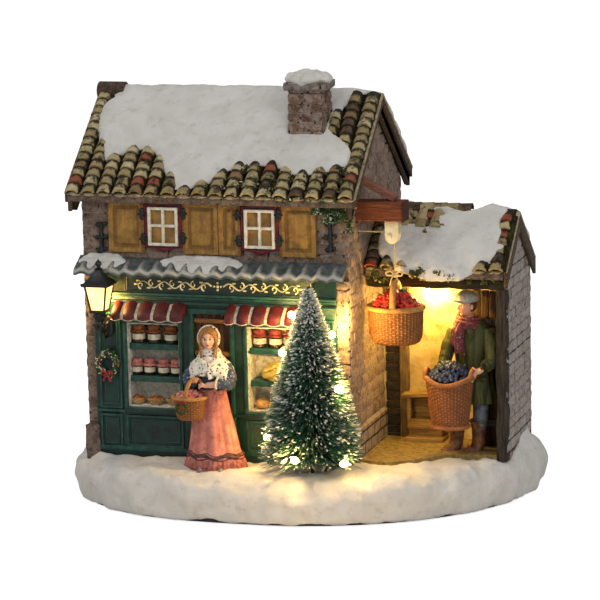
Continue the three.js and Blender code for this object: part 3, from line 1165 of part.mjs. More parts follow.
const bulbStops = STRING_ROUTE.filter((stop) => stop[2] === LAMP);
const bulbAxis = (angle, z) => {
  const a = (angle / 180) * Math.PI;
  const start = new THREE.Vector3(...onTree(angle, z, WIRE_SEAT));
  const out = new THREE.Vector3(Math.cos(a), Math.sin(a) * 0.7, 0.25).normalize();
  if (start.y + out.y * BULB_L > -FRONT_T - 3) out.y = 0;
  return [start, start.clone().addScaledVector(out, BULB_L)];
};
const bulbs = bulbStops.map(([angle, z]) => {
  const [from, to] = bulbAxis(angle, z);
  const at = (t) => from.clone().lerp(to, t).toArray();
  return limb([at(-0.15), at(0.35), at(1)], [0.9, BULB_R, BULB_R * 0.7], 5);
});
const lightString = join([stringWire, ...bulbs]);
add('light_string', lightString, 'wire');

const stringSamples = stringCurve.getSpacedPoints(260);
let selfGap = Infinity;
for (let i = 0; i < stringSamples.length; i += 1) {
  for (let j = i + 22; j < stringSamples.length; j += 1) {
    selfGap = Math.min(selfGap, stringSamples[i].distanceTo(stringSamples[j]) - 2 * WIRE_R);
  }
}
console.log(`light string: least gap to itself ${selfGap.toFixed(2)} mm`);

// A strand stops short of the wire, of a bulb and of the shop front.
const obstacles = stringSamples.map((p) => [p, WIRE_R + 0.75]);
for (const [angle, z] of bulbStops) {
  const [from, to] = bulbAxis(angle, z);
  for (let t = -0.2; t <= 1.01; t += 0.2) obstacles.push([from.clone().lerp(to, t), BULB_R + 0.75]);
}
function strandLength(root, dir, wanted) {
  const wall = -FRONT_T - 2.2;
  let length = wanted;
  if (root.y + dir.y * length > wall) length = (wall - root.y) / dir.y;
  for (let s = 1.2; s < length; s += 0.5) {
    const p = root.clone().addScaledVector(dir, s);
    if (obstacles.some(([q, r]) => p.distanceTo(q) < r)) return Math.max(s - 0.5, 0.8);
  }
  return length;
}

// The trunk is a slim prism that turns a little at each row, and a strand grows from every
// facet, as the bristles stand in a twisted wire core.
function bottleBrush() {
  const rows = STRAND_ROWS;
  const twist = (Math.PI * 2 / STRAND_SIDES) * 0.382;
  const pitch = (TREE_Z[1] - TREE_Z[0]) / rows;
  const pos = [];
  const index = [];
  const ringAt = (z, k) => {
    const start = pos.length / 3;
    for (let j = 0; j < STRAND_SIDES; j += 1) {
      const a = twist * k + (j / STRAND_SIDES) * Math.PI * 2;
      pos.push(tx + TRUNK_R * Math.cos(a), ty + TRUNK_R * Math.sin(a), z);
    }
    return start;
  };
  const rings = [ringAt(SEAT_Z + 0.4, 0)];
  for (let k = 0; k <= rows; k += 1) rings.push(ringAt(TREE_Z[0] + k * pitch, k));
  for (let i = 0; i + 1 < rings.length; i += 1) {
    const strands = i > 0;
    const z = TREE_Z[0] + (i - 0.5) * pitch;
    for (let j = 0; j < STRAND_SIDES; j += 1) {
      const a = rings[i] + j;
      const b = rings[i] + ((j + 1) % STRAND_SIDES);
      const d = rings[i + 1] + j;
      const c = rings[i + 1] + ((j + 1) % STRAND_SIDES);
      if (!strands) {
        index.push(a, b, c, a, c, d);
      } else {
        const angle = twist * (i - 0.5) + ((j + 0.5) / STRAND_SIDES) * Math.PI * 2;
        const dir = new THREE.Vector3(Math.cos(angle), Math.sin(angle), STRAND_TILT).normalize();
        const root = new THREE.Vector3(tx, ty, z);
        const length = strandLength(root, dir, treeRadius(z));
        const tip = root.addScaledVector(dir, length);
        const at = pos.length / 3;
        pos.push(tip.x, tip.y, tip.z);
        index.push(a, b, at, b, c, at, c, d, at, d, a, at);
      }
    }
  }
  const lowest = pos.length / 3;
  pos.push(tx, ty, SEAT_Z + 0.4, tx, ty, TREE_Z[1] + 1.6);
  const last = rings[rings.length - 1];
  for (let j = 0; j < STRAND_SIDES; j += 1) {
    const k = (j + 1) % STRAND_SIDES;
    index.push(lowest, rings[0] + k, rings[0] + j, lowest + 1, last + j, last + k);
  }
  return solidFrom(pos, index);
}
add('tree', bottleBrush(), 'bristle');
const trunkFoot = turned(tx, ty, [[SEAT_Z + 0.4, TRUNK_R], [40, TRUNK_R]], 8);

// Battery case, switch and bottom plate

const pitchY = CELL_R * 2 + 0.6;
const caseX = [CASE_X0, CASE_X0 + CELL_L + 4 + 2 * CASE_WALL];
const caseY = [CASE_Y0, CASE_Y0 + CELL_COUNT * pitchY + 2 * CASE_WALL];
const switchX = [caseX[1] + 1.2, caseX[1] + 1.2 + SWITCH_W];
const switchY = [CASE_Y0 + 10, CASE_Y0 + 10 + SWITCH_D];
const caseBox = block(caseX[0], caseX[1], caseY[0], caseY[1], PLATE_T, CASE_TOP);
const caseHollow = block(caseX[0] + CASE_WALL, caseX[1] - CASE_WALL, caseY[0] + CASE_WALL,
  caseY[1] - CASE_WALL, 0, CASE_TOP - CASE_WALL);
const switchBox = block(caseX[1] - 0.4, switchX[1] + 1.2, switchY[0] - 1.2, switchY[1] + 1.2, PLATE_T, 8);
const switchHollow = block(switchX[0], switchX[1], switchY[0], switchY[1], 0, 6.4);
const batteryCase = cut(join([caseBox, switchBox]), [caseHollow, switchHollow]);
add('battery_case', batteryCase, 'case');

const hatchX = [caseX[0] + CASE_WALL, caseX[1] - CASE_WALL];
const hatchY = [caseY[0] + CASE_WALL, caseY[1] - CASE_WALL];
const hingeY = hatchY[1] - DOOR_HINGE_R;
const hingeZ = 0.2 + DOOR_HINGE_R;
const alongX = (x0, x1, r, count = 12) => loft([x0, x1].map((x) => (
  Array.from({ length: count }, (_, i) => {
    const a = ((i + 0.5) / count) * Math.PI * 2;
    return [x, hingeY + r * Math.cos(a), hingeZ + r * Math.sin(a)];
  }))));
const hatch = join([
  block(hatchX[0] + SEAT_GAP, hatchX[1] - SEAT_GAP, hatchY[0] + SEAT_GAP, hingeY, 0.2, 0.2 + DOOR_PANEL_T),
  alongX(hatchX[0] + SEAT_GAP, hatchX[1] - SEAT_GAP, DOOR_HINGE_R),
  alongX(hatchX[0] - 1, hatchX[1] + 1, 0.45)]);
add('battery_door', hatch, 'case');

const knobTravel = [switchX[0] + 0.4, switchX[1] - 0.4 - SWITCH_TRAVEL];
const slider = join([
  block(knobTravel[0], knobTravel[1], switchY[0] + SEAT_GAP, switchY[1] - SEAT_GAP, 3, 6),
  block(knobTravel[0] + 1, knobTravel[1] - 1, switchY[0] + 1.2, switchY[1] - 1.2, 0.4, 3.2)]);
add('switch_slider', slider, 'metal');

const plateOutline = baseEdge.map((p) => inset(p, PLATE_INSET));
const bottomPlate = cut(prism(plateOutline, 'z', 0, PLATE_T), [
  block(hatchX[0], hatchX[1], hatchY[0], hingeY, -1, PLATE_T + 1),
  block(hatchX[0], hatchX[1], hingeY - 0.5, hingeY + DOOR_HINGE_R + SEAT_GAP, -1, PLATE_T + 1),
  alongX(hatchX[0] - 1.3, hatchX[1] + 1.3, 0.45 + RUN_GAP),
  block(switchX[0] + 0.6, switchX[1] - 0.6, switchY[0] + 0.8, switchY[1] - 0.8, -1, PLATE_T + 1)]);
add('bottom_plate', bottomPlate, 'case');

const housePad = block(0, HOUSE_W, 0, HOUSE_D, SEAT_Z, 60);
const frontPad = block(FRONT_X[0], FRONT_X[1], -FRONT_T, 1, SEAT_Z, 60);
const shedPad = block(HOUSE_W, SHED_X1, SHED_FRONT_Y - 0.6, SHED_BACK_Y, SEAT_Z, 60);
const base = cut(snowBase(), [
  housePad, shedPad, frontPad, cornerPier, plinth, caseBox, switchBox, caseHollow, switchHollow,
  ...[paving, skirt, legs, trunkFoot, lightString].map((s) => grown(s, 2 * SEAT_GAP)),
]);
add('snow_base', whole(base), 'snow');

group.position.set(-BASE_CENTRE[0], -BASE_CENTRE[1], 0);
group.updateMatrixWorld(true);

export default group;
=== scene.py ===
"""A lit christmas village shop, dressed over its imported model.

Places are given in millimetres in the shop's own frame: x = 0 is the left wall of the house,
y = 0 its front wall and z = 0 the underside. mm() turns them into the row frame, in metres.
"""

import math
import random
from contextlib import contextmanager

import bmesh
import bpy
from mathutils import Matrix, Vector, noise


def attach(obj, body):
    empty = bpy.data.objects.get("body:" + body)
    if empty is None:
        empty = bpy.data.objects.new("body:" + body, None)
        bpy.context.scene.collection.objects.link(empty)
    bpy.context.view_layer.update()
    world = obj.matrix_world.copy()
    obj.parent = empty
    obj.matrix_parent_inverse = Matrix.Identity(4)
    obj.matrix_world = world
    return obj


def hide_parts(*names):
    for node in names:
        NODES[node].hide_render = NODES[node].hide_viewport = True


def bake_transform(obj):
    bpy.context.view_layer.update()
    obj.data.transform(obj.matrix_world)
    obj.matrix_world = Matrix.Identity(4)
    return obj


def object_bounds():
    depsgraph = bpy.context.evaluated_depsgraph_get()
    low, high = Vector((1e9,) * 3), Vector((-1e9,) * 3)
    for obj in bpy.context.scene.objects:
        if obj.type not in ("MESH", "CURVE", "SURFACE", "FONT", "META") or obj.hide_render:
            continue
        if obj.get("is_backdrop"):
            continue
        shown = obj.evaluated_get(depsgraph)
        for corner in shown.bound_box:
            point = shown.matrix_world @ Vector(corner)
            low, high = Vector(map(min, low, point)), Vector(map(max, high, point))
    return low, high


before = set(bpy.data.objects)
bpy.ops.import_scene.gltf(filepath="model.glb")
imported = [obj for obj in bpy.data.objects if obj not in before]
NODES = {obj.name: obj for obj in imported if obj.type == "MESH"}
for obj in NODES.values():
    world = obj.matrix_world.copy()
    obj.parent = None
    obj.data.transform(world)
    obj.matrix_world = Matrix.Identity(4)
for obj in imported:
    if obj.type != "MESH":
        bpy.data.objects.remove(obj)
CAD_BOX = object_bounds()
BASE_CENTRE = (87.5, 28.5, 0.0)


def mm(x, y, z):
    return Vector(((x - BASE_CENTRE[0]) / 1000, (y - BASE_CENTRE[1]) / 1000, z / 1000))


def in_mm(point):
    """A place in the row frame as millimetres in the shop's own frame."""
    return point * 1000 + Vector(BASE_CENTRE)


def colour(code):
    """A colour written as it looks, such as 7d6a60, as the linear values that a shader takes."""
    parts = [int(code[i:i + 2], 16) / 255 for i in (0, 2, 4)]
    return tuple(v / 12.92 if v <= 0.04045 else ((v + 0.055) / 1.055) ** 2.4
                 for v in parts) + (1.0,)


# Camera, at the photograph's angle
CAMERA_AT = (460.3, -1181.0, 322.1)
CAMERA_YAW = math.radians(17.132)
CAMERA_PITCH = math.radians(10.642)
CAMERA_ROLL = math.radians(-1.234)
CAMERA_LENS = 180.0


def make_camera():
    data = bpy.data.cameras.new("camera")
    data.lens = CAMERA_LENS
    data.sensor_width = 36.0
    data.clip_end = 20.0
    camera = in_scene("camera", data)
    a, e = CAMERA_YAW, CAMERA_PITCH
    right = Vector((math.cos(a), math.sin(a), 0))
    up = Vector((-math.sin(a) * math.sin(e), math.cos(a) * math.sin(e), math.cos(e)))
    back = right.cross(up)
    c, s = math.cos(CAMERA_ROLL), math.sin(CAMERA_ROLL)
    right, up = right * c + up * s, up * c - right * s
    turn = Matrix((right, up, back)).transposed().to_4x4()
    camera.matrix_world = Matrix.Translation(mm(*CAMERA_AT)) @ turn
    bpy.context.scene.camera = camera


# Node trees
class Net:
    """Adds nodes to one node tree and wires them."""

    def __init__(self, tree):
        self.tree = tree

    def plug(self, socket, value):
        if isinstance(value, bpy.types.NodeSocket):
            self.tree.links.new(value, socket)
        else:
            socket.default_value = value

    def add(self, kind, sockets=None, out=0, **settings):
        node = self.tree.nodes.new(kind)
        for key, value in settings.items():
            setattr(node, key, value)
        for key, value in (sockets or {}).items():
            self.plug(node.inputs[key], value)
        return node.outputs[out]

    def noise(self, vector, size, detail=3.0, rough=0.5, warp=0.0):
        """Noise from 0 to 1 whose patches are about that many millimetres across."""
        sockets = {"Vector": vector, "Scale": 1000 / size, "Detail": detail, "Roughness": rough,
                   "Distortion": warp}
        return self.add("ShaderNodeTexNoise", sockets)

    def cells(self, vector, size):
        """The distance from the nearest of points scattered about that many millimetres apart."""
        return self.add("ShaderNodeTexVoronoi", {"Vector": vector, "Scale": 1000 / size},
                        out="Distance")

    def maths(self, operation, a, b=0.0, c=0.0):
        return self.add("ShaderNodeMath", {0: a, 1: b, 2: c}, operation=operation)

    def fade(self, value, low, high):
        """0 below low, 1 above high and smooth between them; low may be the larger of the two."""
        flip = low > high
        sockets = {"Value": value, "From Min": min(low, high), "From Max": max(low, high),
                   "To Min": float(flip), "To Max": float(not flip)}
        return self.add("ShaderNodeMapRange", sockets, interpolation_type="SMOOTHSTEP")

    def mix(self, share, a, b):
        a, b = (colour(v) if isinstance(v, str) else v for v in (a, b))
        return self.add("ShaderNodeMix", {0: share, 6: a, 7: b}, out=2, data_type="RGBA")

    def tinted(self, body, tint, where, most):
        """A tint laid over a colour where the factor says so, up to a most."""
        return self.mix(self.maths("MULTIPLY", where, most), body, tint)

    def mark(self, name):
        """The value that a piece's points carry under this name."""
        return self.add("ShaderNodeAttribute", out="Fac", attribute_name=name)

    def ramp(self, value, *stops, step=False):
        node = self.tree.nodes.new("ShaderNodeValToRGB")
        ramp = node.color_ramp
        ramp.interpolation = "CONSTANT" if step else "LINEAR"
        while len(ramp.elements) < len(stops):
            ramp.elements.new(0.5)
        for element, (place, code) in zip(ramp.elements, stops):
            element.position = place
            element.color = colour(code)
        self.plug(node.inputs[0], value)
        return node.outputs[0]

    def vector(self, x=0.0, y=0.0, z=0.0):
        return self.add("ShaderNodeCombineXYZ", {"X": x, "Y": y, "Z": z})

    def use(self, tree, **sockets):
        """Places a shared group and gives its outputs by name."""
        node = self.tree.nodes.new("ShaderNodeGroup")
        node.node_tree = tree
        for key, value in sockets.items():
            self.plug(node.inputs[key], value)
        return node.outputs


class Finish(Net):
    """A material under way: its coordinates, its shop-frame x, y and z, and its shader."""

    def __init__(self, name, rough=0.6, **shader):
        self.material = bpy.data.materials.new(name)
        self.material.use_nodes = True
        super().__init__(self.material.node_tree)
        self.shader = self.tree.nodes["Principled BSDF"]
        self.set(Roughness=rough, **shader)
        self.at = self.add("ShaderNodeTexCoord", out="Object")
        place = self.use(SHOP_PLACE, At=self.at)
        self.x, self.y, self.z = place["X"], place["Y"], place["Z"]

    def set(self, **sockets):
        for key, value in sockets.items():
            socket = self.shader.inputs[key.replace("_", " ")]
            self.plug(socket, colour(value) if isinstance(value, str) else value)

    def done(self, body, *reliefs):
        """Takes the colour and the reliefs, each with its depth in mm and laid over the last."""
        normal = None
        for height, depth in reliefs:
            sockets = {"Height": height, "Distance": depth / 1000, "Strength": 1.0}
            if normal is not None:
                sockets["Normal"] = normal
            normal = self.add("ShaderNodeBump", sockets)
        self.set(Base_Color=body, Normal=normal)
        return self.material


def shared(name, inputs, outputs):
    """An empty node group with its sockets, and the Net that fills it."""
    tree = bpy.data.node_groups.new(name, "ShaderNodeTree")
    for socket, kind, value in inputs:
        made = tree.interface.new_socket(name=socket, in_out="INPUT", socket_type=kind)
        if value is not None:
            made.default_value = value
    for socket, kind in outputs:
        tree.interface.new_socket(name=socket, in_out="OUTPUT", socket_type=kind)
    net = Net(tree)
    net.given = tree.nodes.new("NodeGroupInput").outputs
    net.result = tree.nodes.new("NodeGroupOutput").inputs
    return net


NUMBER, VECTOR = "NodeSocketFloat", "NodeSocketVector"


def shop_place():
    net = shared("shop_place", [("At", VECTOR, None)], [("X", NUMBER), ("Y", NUMBER),
                                                        ("Z", NUMBER)])
    moved = net.add("ShaderNodeVectorMath", {0: net.given["At"], 1: (1000.0,) * 3, 2: BASE_CENTRE},
                    operation="MULTIPLY_ADD")
    parts = net.tree.nodes.new("ShaderNodeSeparateXYZ")
    net.plug(parts.inputs[0], moved)
    for axis in "XYZ":
        net.plug(net.result[axis], parts.outputs[axis])
    return net.tree


def brushed_paint():
    """Hand-painted resin: broad blotches, a fine grain, and dirt that lies in the blotches."""
    net = shared("brushed_paint", [("At", VECTOR, None), ("Patch", NUMBER, 8.0)],
                 [("Blotch", NUMBER), ("Grain", NUMBER), ("Height", NUMBER)])
    scale = net.maths("DIVIDE", 1000.0, net.given["Patch"])
    broad = net.add("ShaderNodeTexNoise", {"Vector": net.given["At"], "Scale": scale, "Detail": 4.0,
                                           "Distortion": 0.4})
    grain = net.noise(net.given["At"], 0.55, 3.0)
    net.plug(net.result["Blotch"], net.fade(broad, 0.34, 0.66))
    net.plug(net.result["Grain"], grain)
    net.plug(net.result["Height"], net.maths("MULTIPLY_ADD", broad, 0.7,
                                             net.maths("MULTIPLY", grain, 0.3)))
    return net.tree


def stone_courses():
    """Coursed stone on upright faces: joints, a tone for each stone, and the relief of both."""
    net = shared("stone_courses", [("At", VECTOR, None), ("Row", NUMBER, 5.0),
                                   ("Length", NUMBER, 12.0), ("Joint", NUMBER, 0.5)],
                 [("Joint", NUMBER), ("Tone", NUMBER), ("Height", NUMBER)])
    at = net.given["At"]
    normal = net.add("ShaderNodeNewGeometry", out="True Normal")
    split = net.tree.nodes.new("ShaderNodeSeparateXYZ")
    net.plug(split.inputs[0], normal)
    place = net.tree.nodes.new("ShaderNodeSeparateXYZ")
    net.plug(place.inputs[0], at)
    sideways = net.maths("GREATER_THAN", net.maths("ABSOLUTE", split.outputs["X"]), 0.6)
    along = net.add("ShaderNodeMix", {0: sideways, 2: place.outputs["X"], 3: place.outputs["Y"]},
                    data_type="FLOAT")
    wobble = net.maths("MULTIPLY", net.maths("SUBTRACT", net.noise(at, 9.0, 2.0), 0.5), 0.0016)
    flat = net.vector(net.maths("ADD", along, wobble), net.maths("ADD", place.outputs["Z"], wobble))
    bricks = net.tree.nodes.new("ShaderNodeTexBrick")
    bricks.offset = 0.42
    bricks.squash = 0.72
    bricks.squash_frequency = 3
    net.plug(bricks.inputs["Vector"], flat)
    bricks.inputs["Color1"].default_value = (0, 0, 0, 1)
    bricks.inputs["Color2"].default_value = (1, 1, 1, 1)
    bricks.inputs["Mortar"].default_value = (0.5, 0.5, 0.5, 1)
    bricks.inputs["Scale"].default_value = 1000.0
    bricks.inputs["Mortar Smooth"].default_value = 0.35
    bricks.inputs["Bias"].default_value = 0.0
    net.plug(bricks.inputs["Mortar Size"], net.given["Joint"])
    net.plug(bricks.inputs["Brick Width"], net.given["Length"])
    net.plug(bricks.inputs["Row Height"], net.given["Row"])
    joint = bricks.outputs["Fac"]
    rough = net.noise(at, 1.7, 5.0, 0.62)
    dents = net.fade(net.noise(at, 3.6, 2.0), 0.36, 0.62)
    body = net.maths("MULTIPLY_ADD", rough, 0.45, net.maths("MULTIPLY", dents, 0.35))
    lifted = net.maths("MULTIPLY", net.maths("SUBTRACT", 1.0, joint), net.maths("ADD", body, 0.5))
    net.plug(net.result["Joint"], joint)
    net.plug(net.result["Tone"], bricks.outputs["Color"])
    net.plug(net.result["Height"], lifted)
    return net.tree


def wood_grain():
    """Long fibres along one axis, from coordinates already turned so that it is z."""
    net = shared("wood_grain", [("At", VECTOR, None), ("Fibre", NUMBER, 0.7)],
                 [("Line", NUMBER), ("Height", NUMBER)])
    scaled = net.add("ShaderNodeMapping", {"Vector": net.given["At"], "Scale": (1.0, 1.0, 0.07)})
    scale = net.maths("DIVIDE", 1000.0, net.given["Fibre"])
    line = net.add("ShaderNodeTexNoise", {"Vector": scaled, "Scale": scale, "Detail": 4.0,
                                          "Roughness": 0.65, "Distortion": 0.6})
    net.plug(net.result["Line"], net.fade(line, 0.32, 0.68))
    net.plug(net.result["Height"], line)
    return net.tree


SHOP_PLACE = shop_place()
BRUSHED = brushed_paint()
COURSES = stone_courses()
GRAIN = wood_grain()


# Making pieces
def alone(*pieces):
    """Selects these pieces and nothing else; the first is the active one."""
    bpy.ops.object.select_all(action="DESELECT")
    for piece in pieces:
        piece.select_set(True)
    bpy.context.view_layer.objects.active = pieces[0]


def settled(piece):
    """Puts a piece's place, turn and size into its mesh."""
    alone(piece)
    bpy.ops.object.transform_apply(location=True, rotation=True, scale=True)
    return piece


def applied(piece, kind, **settings):
    """Puts a modifier on a piece and applies it."""
    modifier = piece.modifiers.new(kind.lower(), kind)
    for key, value in settings.items():
        setattr(modifier, key, value)
    alone(piece)
    bpy.ops.object.modifier_apply(modifier=modifier.name)
    return piece


def eased(piece, by, segments=2, angle=32):
    """Rounds the edges of a piece by so many millimetres."""
    return applied(piece, "BEVEL", width=by / 1000, segments=segments, limit_method="ANGLE",
                   angle_limit=math.radians(angle), use_clamp_overlap=True)


def smooth(piece, angle=38):
    alone(piece)
    bpy.ops.object.shade_smooth_by_angle(angle=math.radians(angle))
    return piece


@contextmanager
def edited(piece):
    """Edit mode with the whole of a piece selected, and object mode again afterwards."""
    alone(piece)
    bpy.ops.object.mode_set(mode="EDIT")
    bpy.ops.mesh.select_all(action="SELECT")
    yield
    bpy.ops.object.mode_set(mode="OBJECT")


def select_faces(piece, way):
    """Selects only the faces of a piece in edit mode that look along -y or +y."""
    bpy.ops.mesh.select_mode(type="FACE")
    bpy.ops.mesh.select_all(action="DESELECT")
    mesh = bmesh.from_edit_mesh(piece.data)
    for face in mesh.faces:
        face.select_set(face.normal.y * way > 0.9)
    bmesh.update_edit_mesh(piece.data)


def outward(piece):
    """Merges doubled points and turns every face outwards."""
    with edited(piece):
        bpy.ops.mesh.remove_doubles(threshold=1e-6)
        bpy.ops.mesh.normals_make_consistent(inside=False)
    return piece


def fresh(kind, **settings):
    """A new plain shape, its place, turn and size put into its mesh."""
    getattr(bpy.ops.mesh, f"primitive_{kind}_add")(**settings)
    return settled(bpy.context.active_object)


def block(name, x, y, z, ease=0.25):
    """A block between two x, two y and two z, with eased edges."""
    size = [(b - a) / 1000 for a, b in (x, y, z)]
    piece = fresh("cube", size=1, location=mm(sum(x) / 2, sum(y) / 2, sum(z) / 2), scale=size)
    piece.name = name
    return eased(piece, ease) if ease else piece


def rod(name, start, end, r0, r1=None, sides=12, ease=0.0):
    """A round bar from one point to another, with a radius at each end, in mm."""
    a, b = mm(*start), mm(*end)
    piece = fresh("cone", vertices=sides, radius1=r0 / 1000,
                  radius2=(r0 if r1 is None else r1) / 1000, depth=(b - a).length,
                  location=(a + b) / 2, rotation=(b - a).to_track_quat("Z", "Y").to_euler())
    piece.name = name
    return eased(piece, ease, 2) if ease else piece


def ball(name, at, r, rings=10, sides=14, scale=(1, 1, 1)):
    piece = fresh("uv_sphere", segments=sides, ring_count=rings, radius=r / 1000,
                  location=mm(*at), scale=scale)
    piece.name = name
    return piece


def joined(name, pieces):
    """One piece of several, under a new name."""
    alone(*pieces)
    if len(pieces) > 1:
        bpy.ops.object.join()
    piece = bpy.context.active_object
    piece.name = name
    return piece


# The faces of a box whose points are two matching loops of four
BOX_FACES = [(0, 1, 2, 3), (7, 6, 5, 4), (0, 4, 5, 1), (1, 5, 6, 2), (2, 6, 7, 3), (3, 7, 4, 0)]


def in_scene(name, data):
    """A new object in the scene, with its mesh, light or camera."""
    thing = bpy.data.objects.new(name, data)
    bpy.context.scene.collection.objects.link(thing)
    return thing


def mark_points(mesh, name, values):
    """Gives each point of a mesh a value that its finish can read."""
    mesh.attributes.new(name, "FLOAT", "POINT").data.foreach_set("value", values)


def of_points(name, points, faces):
    """A piece from points in mm and its faces."""
    mesh = bpy.data.meshes.new(name)
    mesh.from_pydata([mm(*p) for p in points], [], faces)
    mesh.update()
    return in_scene(name, mesh)


def skinned(name, rings):
    """A skin over rings of points, which all have the same count; each ring is closed on itself."""
    count = len(rings[0])
    points = [p for ring in rings for p in ring]
    faces = []
    for k in range(len(rings) - 1):
        for i in range(count):
            j = (i + 1) % count
            faces.append((k * count + i, k * count + j, (k + 1) * count + j, (k + 1) * count + i))
    faces.append(tuple(range(count))[::-1])
    faces.append(tuple((len(rings) - 1) * count + i for i in range(count)))
    return of_points(name, points, faces)


def ring(cx, cy, z, rx, ry, count=24, turn=0.0, wave=None):
    """Points round an upright axis; wave gives a factor on the radius for each angle."""
    points = []
    for i in range(count):
        a = 2 * math.pi * i / count + turn
        k = wave(a) if wave else 1.0
        points.append((cx + rx * k * math.cos(a), cy + ry * k * math.sin(a), z))
    return points


def smoothed(points, steps):
    """More points along a smooth line through the given ones."""
    points = [Vector(p) for p in points]
    ends = [points[0] * 2 - points[1]] + points + [points[-1] * 2 - points[-2]]
    line = []
    for i in range(1, len(ends) - 2):
        p0, p1, p2, p3 = ends[i - 1:i + 3]
        for s in range(steps):
            t = s / steps
            line.append(0.5 * (2 * p1 + (p2 - p0) * t + (2 * p0 - 5 * p1 + 4 * p2 - p3) * t * t
                               + (3 * p1 - p0 - 3 * p2 + p3) * t ** 3))
    line.append(points[-1])
    return line


def along(name, line, radius, sides=8, flat=1.0):
    """A bar of round or flattened section along a line; radius may be a function of the share."""
    line = [Vector(p) for p in line]
    rings = []
    side = None
    for i, p in enumerate(line):
        way = (line[min(i + 1, len(line) - 1)] - line[max(i - 1, 0)]).normalized()
        if side is None:
            side = way.orthogonal().normalized()
        side = (side - way * side.dot(way)).normalized()
        up = way.cross(side)
        share = i / (len(line) - 1)
        r = radius(share) if callable(radius) else radius
        ring_points = []
        for k in range(sides):
            a = 2 * math.pi * k / sides
            ring_points.append(p + side * (r * math.cos(a)) + up * (r * flat * math.sin(a)))
        rings.append([tuple(q) for q in ring_points])
    return skinned(name, rings)


def spread(name, template, places, tones=None, hollow=None):
    """Copies of one modelled shape, each set at its place by a matrix, with a tone for each.

    hollow gives each point of the shape its share of painted shade."""
    points = [v.co.copy() for v in template.data.vertices]
    shapes = [tuple(p.vertices) for p in template.data.polygons]
    all_points, all_faces, all_tones = [], [], []
    for index, place in enumerate(places):
        base = len(all_points)
        all_points += [place @ p for p in points]
        all_faces += [tuple(base + i for i in shape) for shape in shapes]
        all_tones += [tones[index] if tones else 0.5] * len(points)
    mesh = bpy.data.meshes.new(name)
    mesh.from_pydata(all_points, [], all_faces)
    mark_points(mesh, "tone", all_tones)
    if hollow:
        mark_points(mesh, "hollow", hollow * len(places))
    mesh.update()
    return in_scene(name, mesh)


def template_of(piece):
    """Takes a shape that was made round 0, 0, 0 out of the scene, to be copied by spread."""
    piece.hide_render = True
    bpy.context.scene.collection.objects.unlink(piece)
    return piece


def at_origin(piece):
    """Moves a mesh made round the shop frame's zero to the row frame's zero."""
    piece.data.transform(Matrix.Translation(-mm(0, 0, 0)))
    return piece


def placed(x, y, z, turn=(0.0, 0.0, 0.0), size=(1.0, 1.0, 1.0)):
    """The matrix that sets a shape made round zero, with its turns in degrees."""
    turned = Matrix.Rotation(math.radians(turn[2]), 4, "Z") @ Matrix.Rotation(
        math.radians(turn[1]), 4, "Y") @ Matrix.Rotation(math.radians(turn[0]), 4, "X")
    return Matrix.Translation(mm(x, y, z)) @ turned @ Matrix.Diagonal((*size, 1.0))


def copy_of(name, *nodes):
    """A copy of CAD solids as one mesh, with its loose triangles merged."""
    copies = []
    for node in nodes:
        piece = in_scene(name, NODES[node].data.copy())
        piece.data.materials.clear()
        copies.append(piece)
    piece = joined(name, copies)
    with edited(piece):
        bpy.ops.mesh.remove_doubles(threshold=2e-6)
    return piece


def squared(name, *nodes, ease=0.3, segments=2, angle=32):
    """CAD solids with flat faces, their edges eased as on a casting."""
    piece = copy_of(name, *nodes)
    with edited(piece):
        bpy.ops.mesh.dissolve_limited(angle_limit=math.radians(1.0))
    eased(piece, ease, segments, angle)
    return smooth(piece)


def cast(name, *nodes, voxel=0.9, rounds=6, lumps=()):
    """CAD solids as one softly rounded casting; lumps are (height, size) in mm of a rough skin."""
    piece = copy_of(name, *nodes)
    applied(piece, "REMESH", mode="VOXEL", voxel_size=voxel / 1000)
    applied(piece, "SMOOTH", factor=0.5, iterations=rounds)
    if lumps:
        roughen(piece, lumps)
    for face in piece.data.polygons:
        face.use_smooth = True
    return piece


def roughen(piece, lumps, seed=(0.0, 0.0, 0.0)):
    """Moves points along their normals by layers of noise."""
    mesh = piece.data
    shift = Vector(seed)
    normals = [v.normal.copy() for v in mesh.vertices]
    for vertex, normal in zip(mesh.vertices, normals):
        at = vertex.co * 1000 + shift
        move = sum(height * noise.noise(at / size) for height, size in lumps)
        vertex.co += normal * move / 1000
    mesh.update()
    return piece


def weathered(piece, levels, *lumps):
    """Divides a plain piece so many times and gives it a rough skin of these lumps."""
    applied(piece, "SUBSURF", levels=levels, render_levels=levels, subdivision_type="SIMPLE")
    return roughen(piece, lumps) if lumps else piece


def coated(mesh, finish):
    """Gives a mesh one finish and no other."""
    mesh.materials.clear()
    mesh.materials.append(FINISHES[finish])


def kept(piece, finish, angle=38, stands_for=(), body="shop"):
    """Smooths a piece up to an angle, gives it its finish and body, and hides the nodes that it
    stands for.
    """
    if angle:
        smooth(piece, angle)
    coated(piece.data, finish)
    if body:
        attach(piece, body)
    if stands_for:
        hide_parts(*stands_for)
    return piece


# Finishes
def snow_finish():
    """Off-white snow with broad shade, grey smudges and fine specks."""
    f = Finish("snow", rough=0.82, Specular_IOR_Level=0.25)
    paint = f.use(BRUSHED, At=f.at, Patch=9.0)
    smudge = f.fade(f.noise(f.at, 5.0, 5.0, 0.65), 0.52, 0.72)
    specks = f.fade(f.noise(f.at, 0.8, 2.0), 0.70, 0.76)
    base = f.mix(paint["Blotch"], "d3cfc9", "dedbd6")
    base = f.tinted(base, "b9b1a7", smudge, 0.5)
    base = f.tinted(base, "8b7f73", specks, 0.55)
    return f.done(base, (f.noise(f.at, 0.5, 4.0, 0.7), 0.14), (paint["Height"], 0.5))


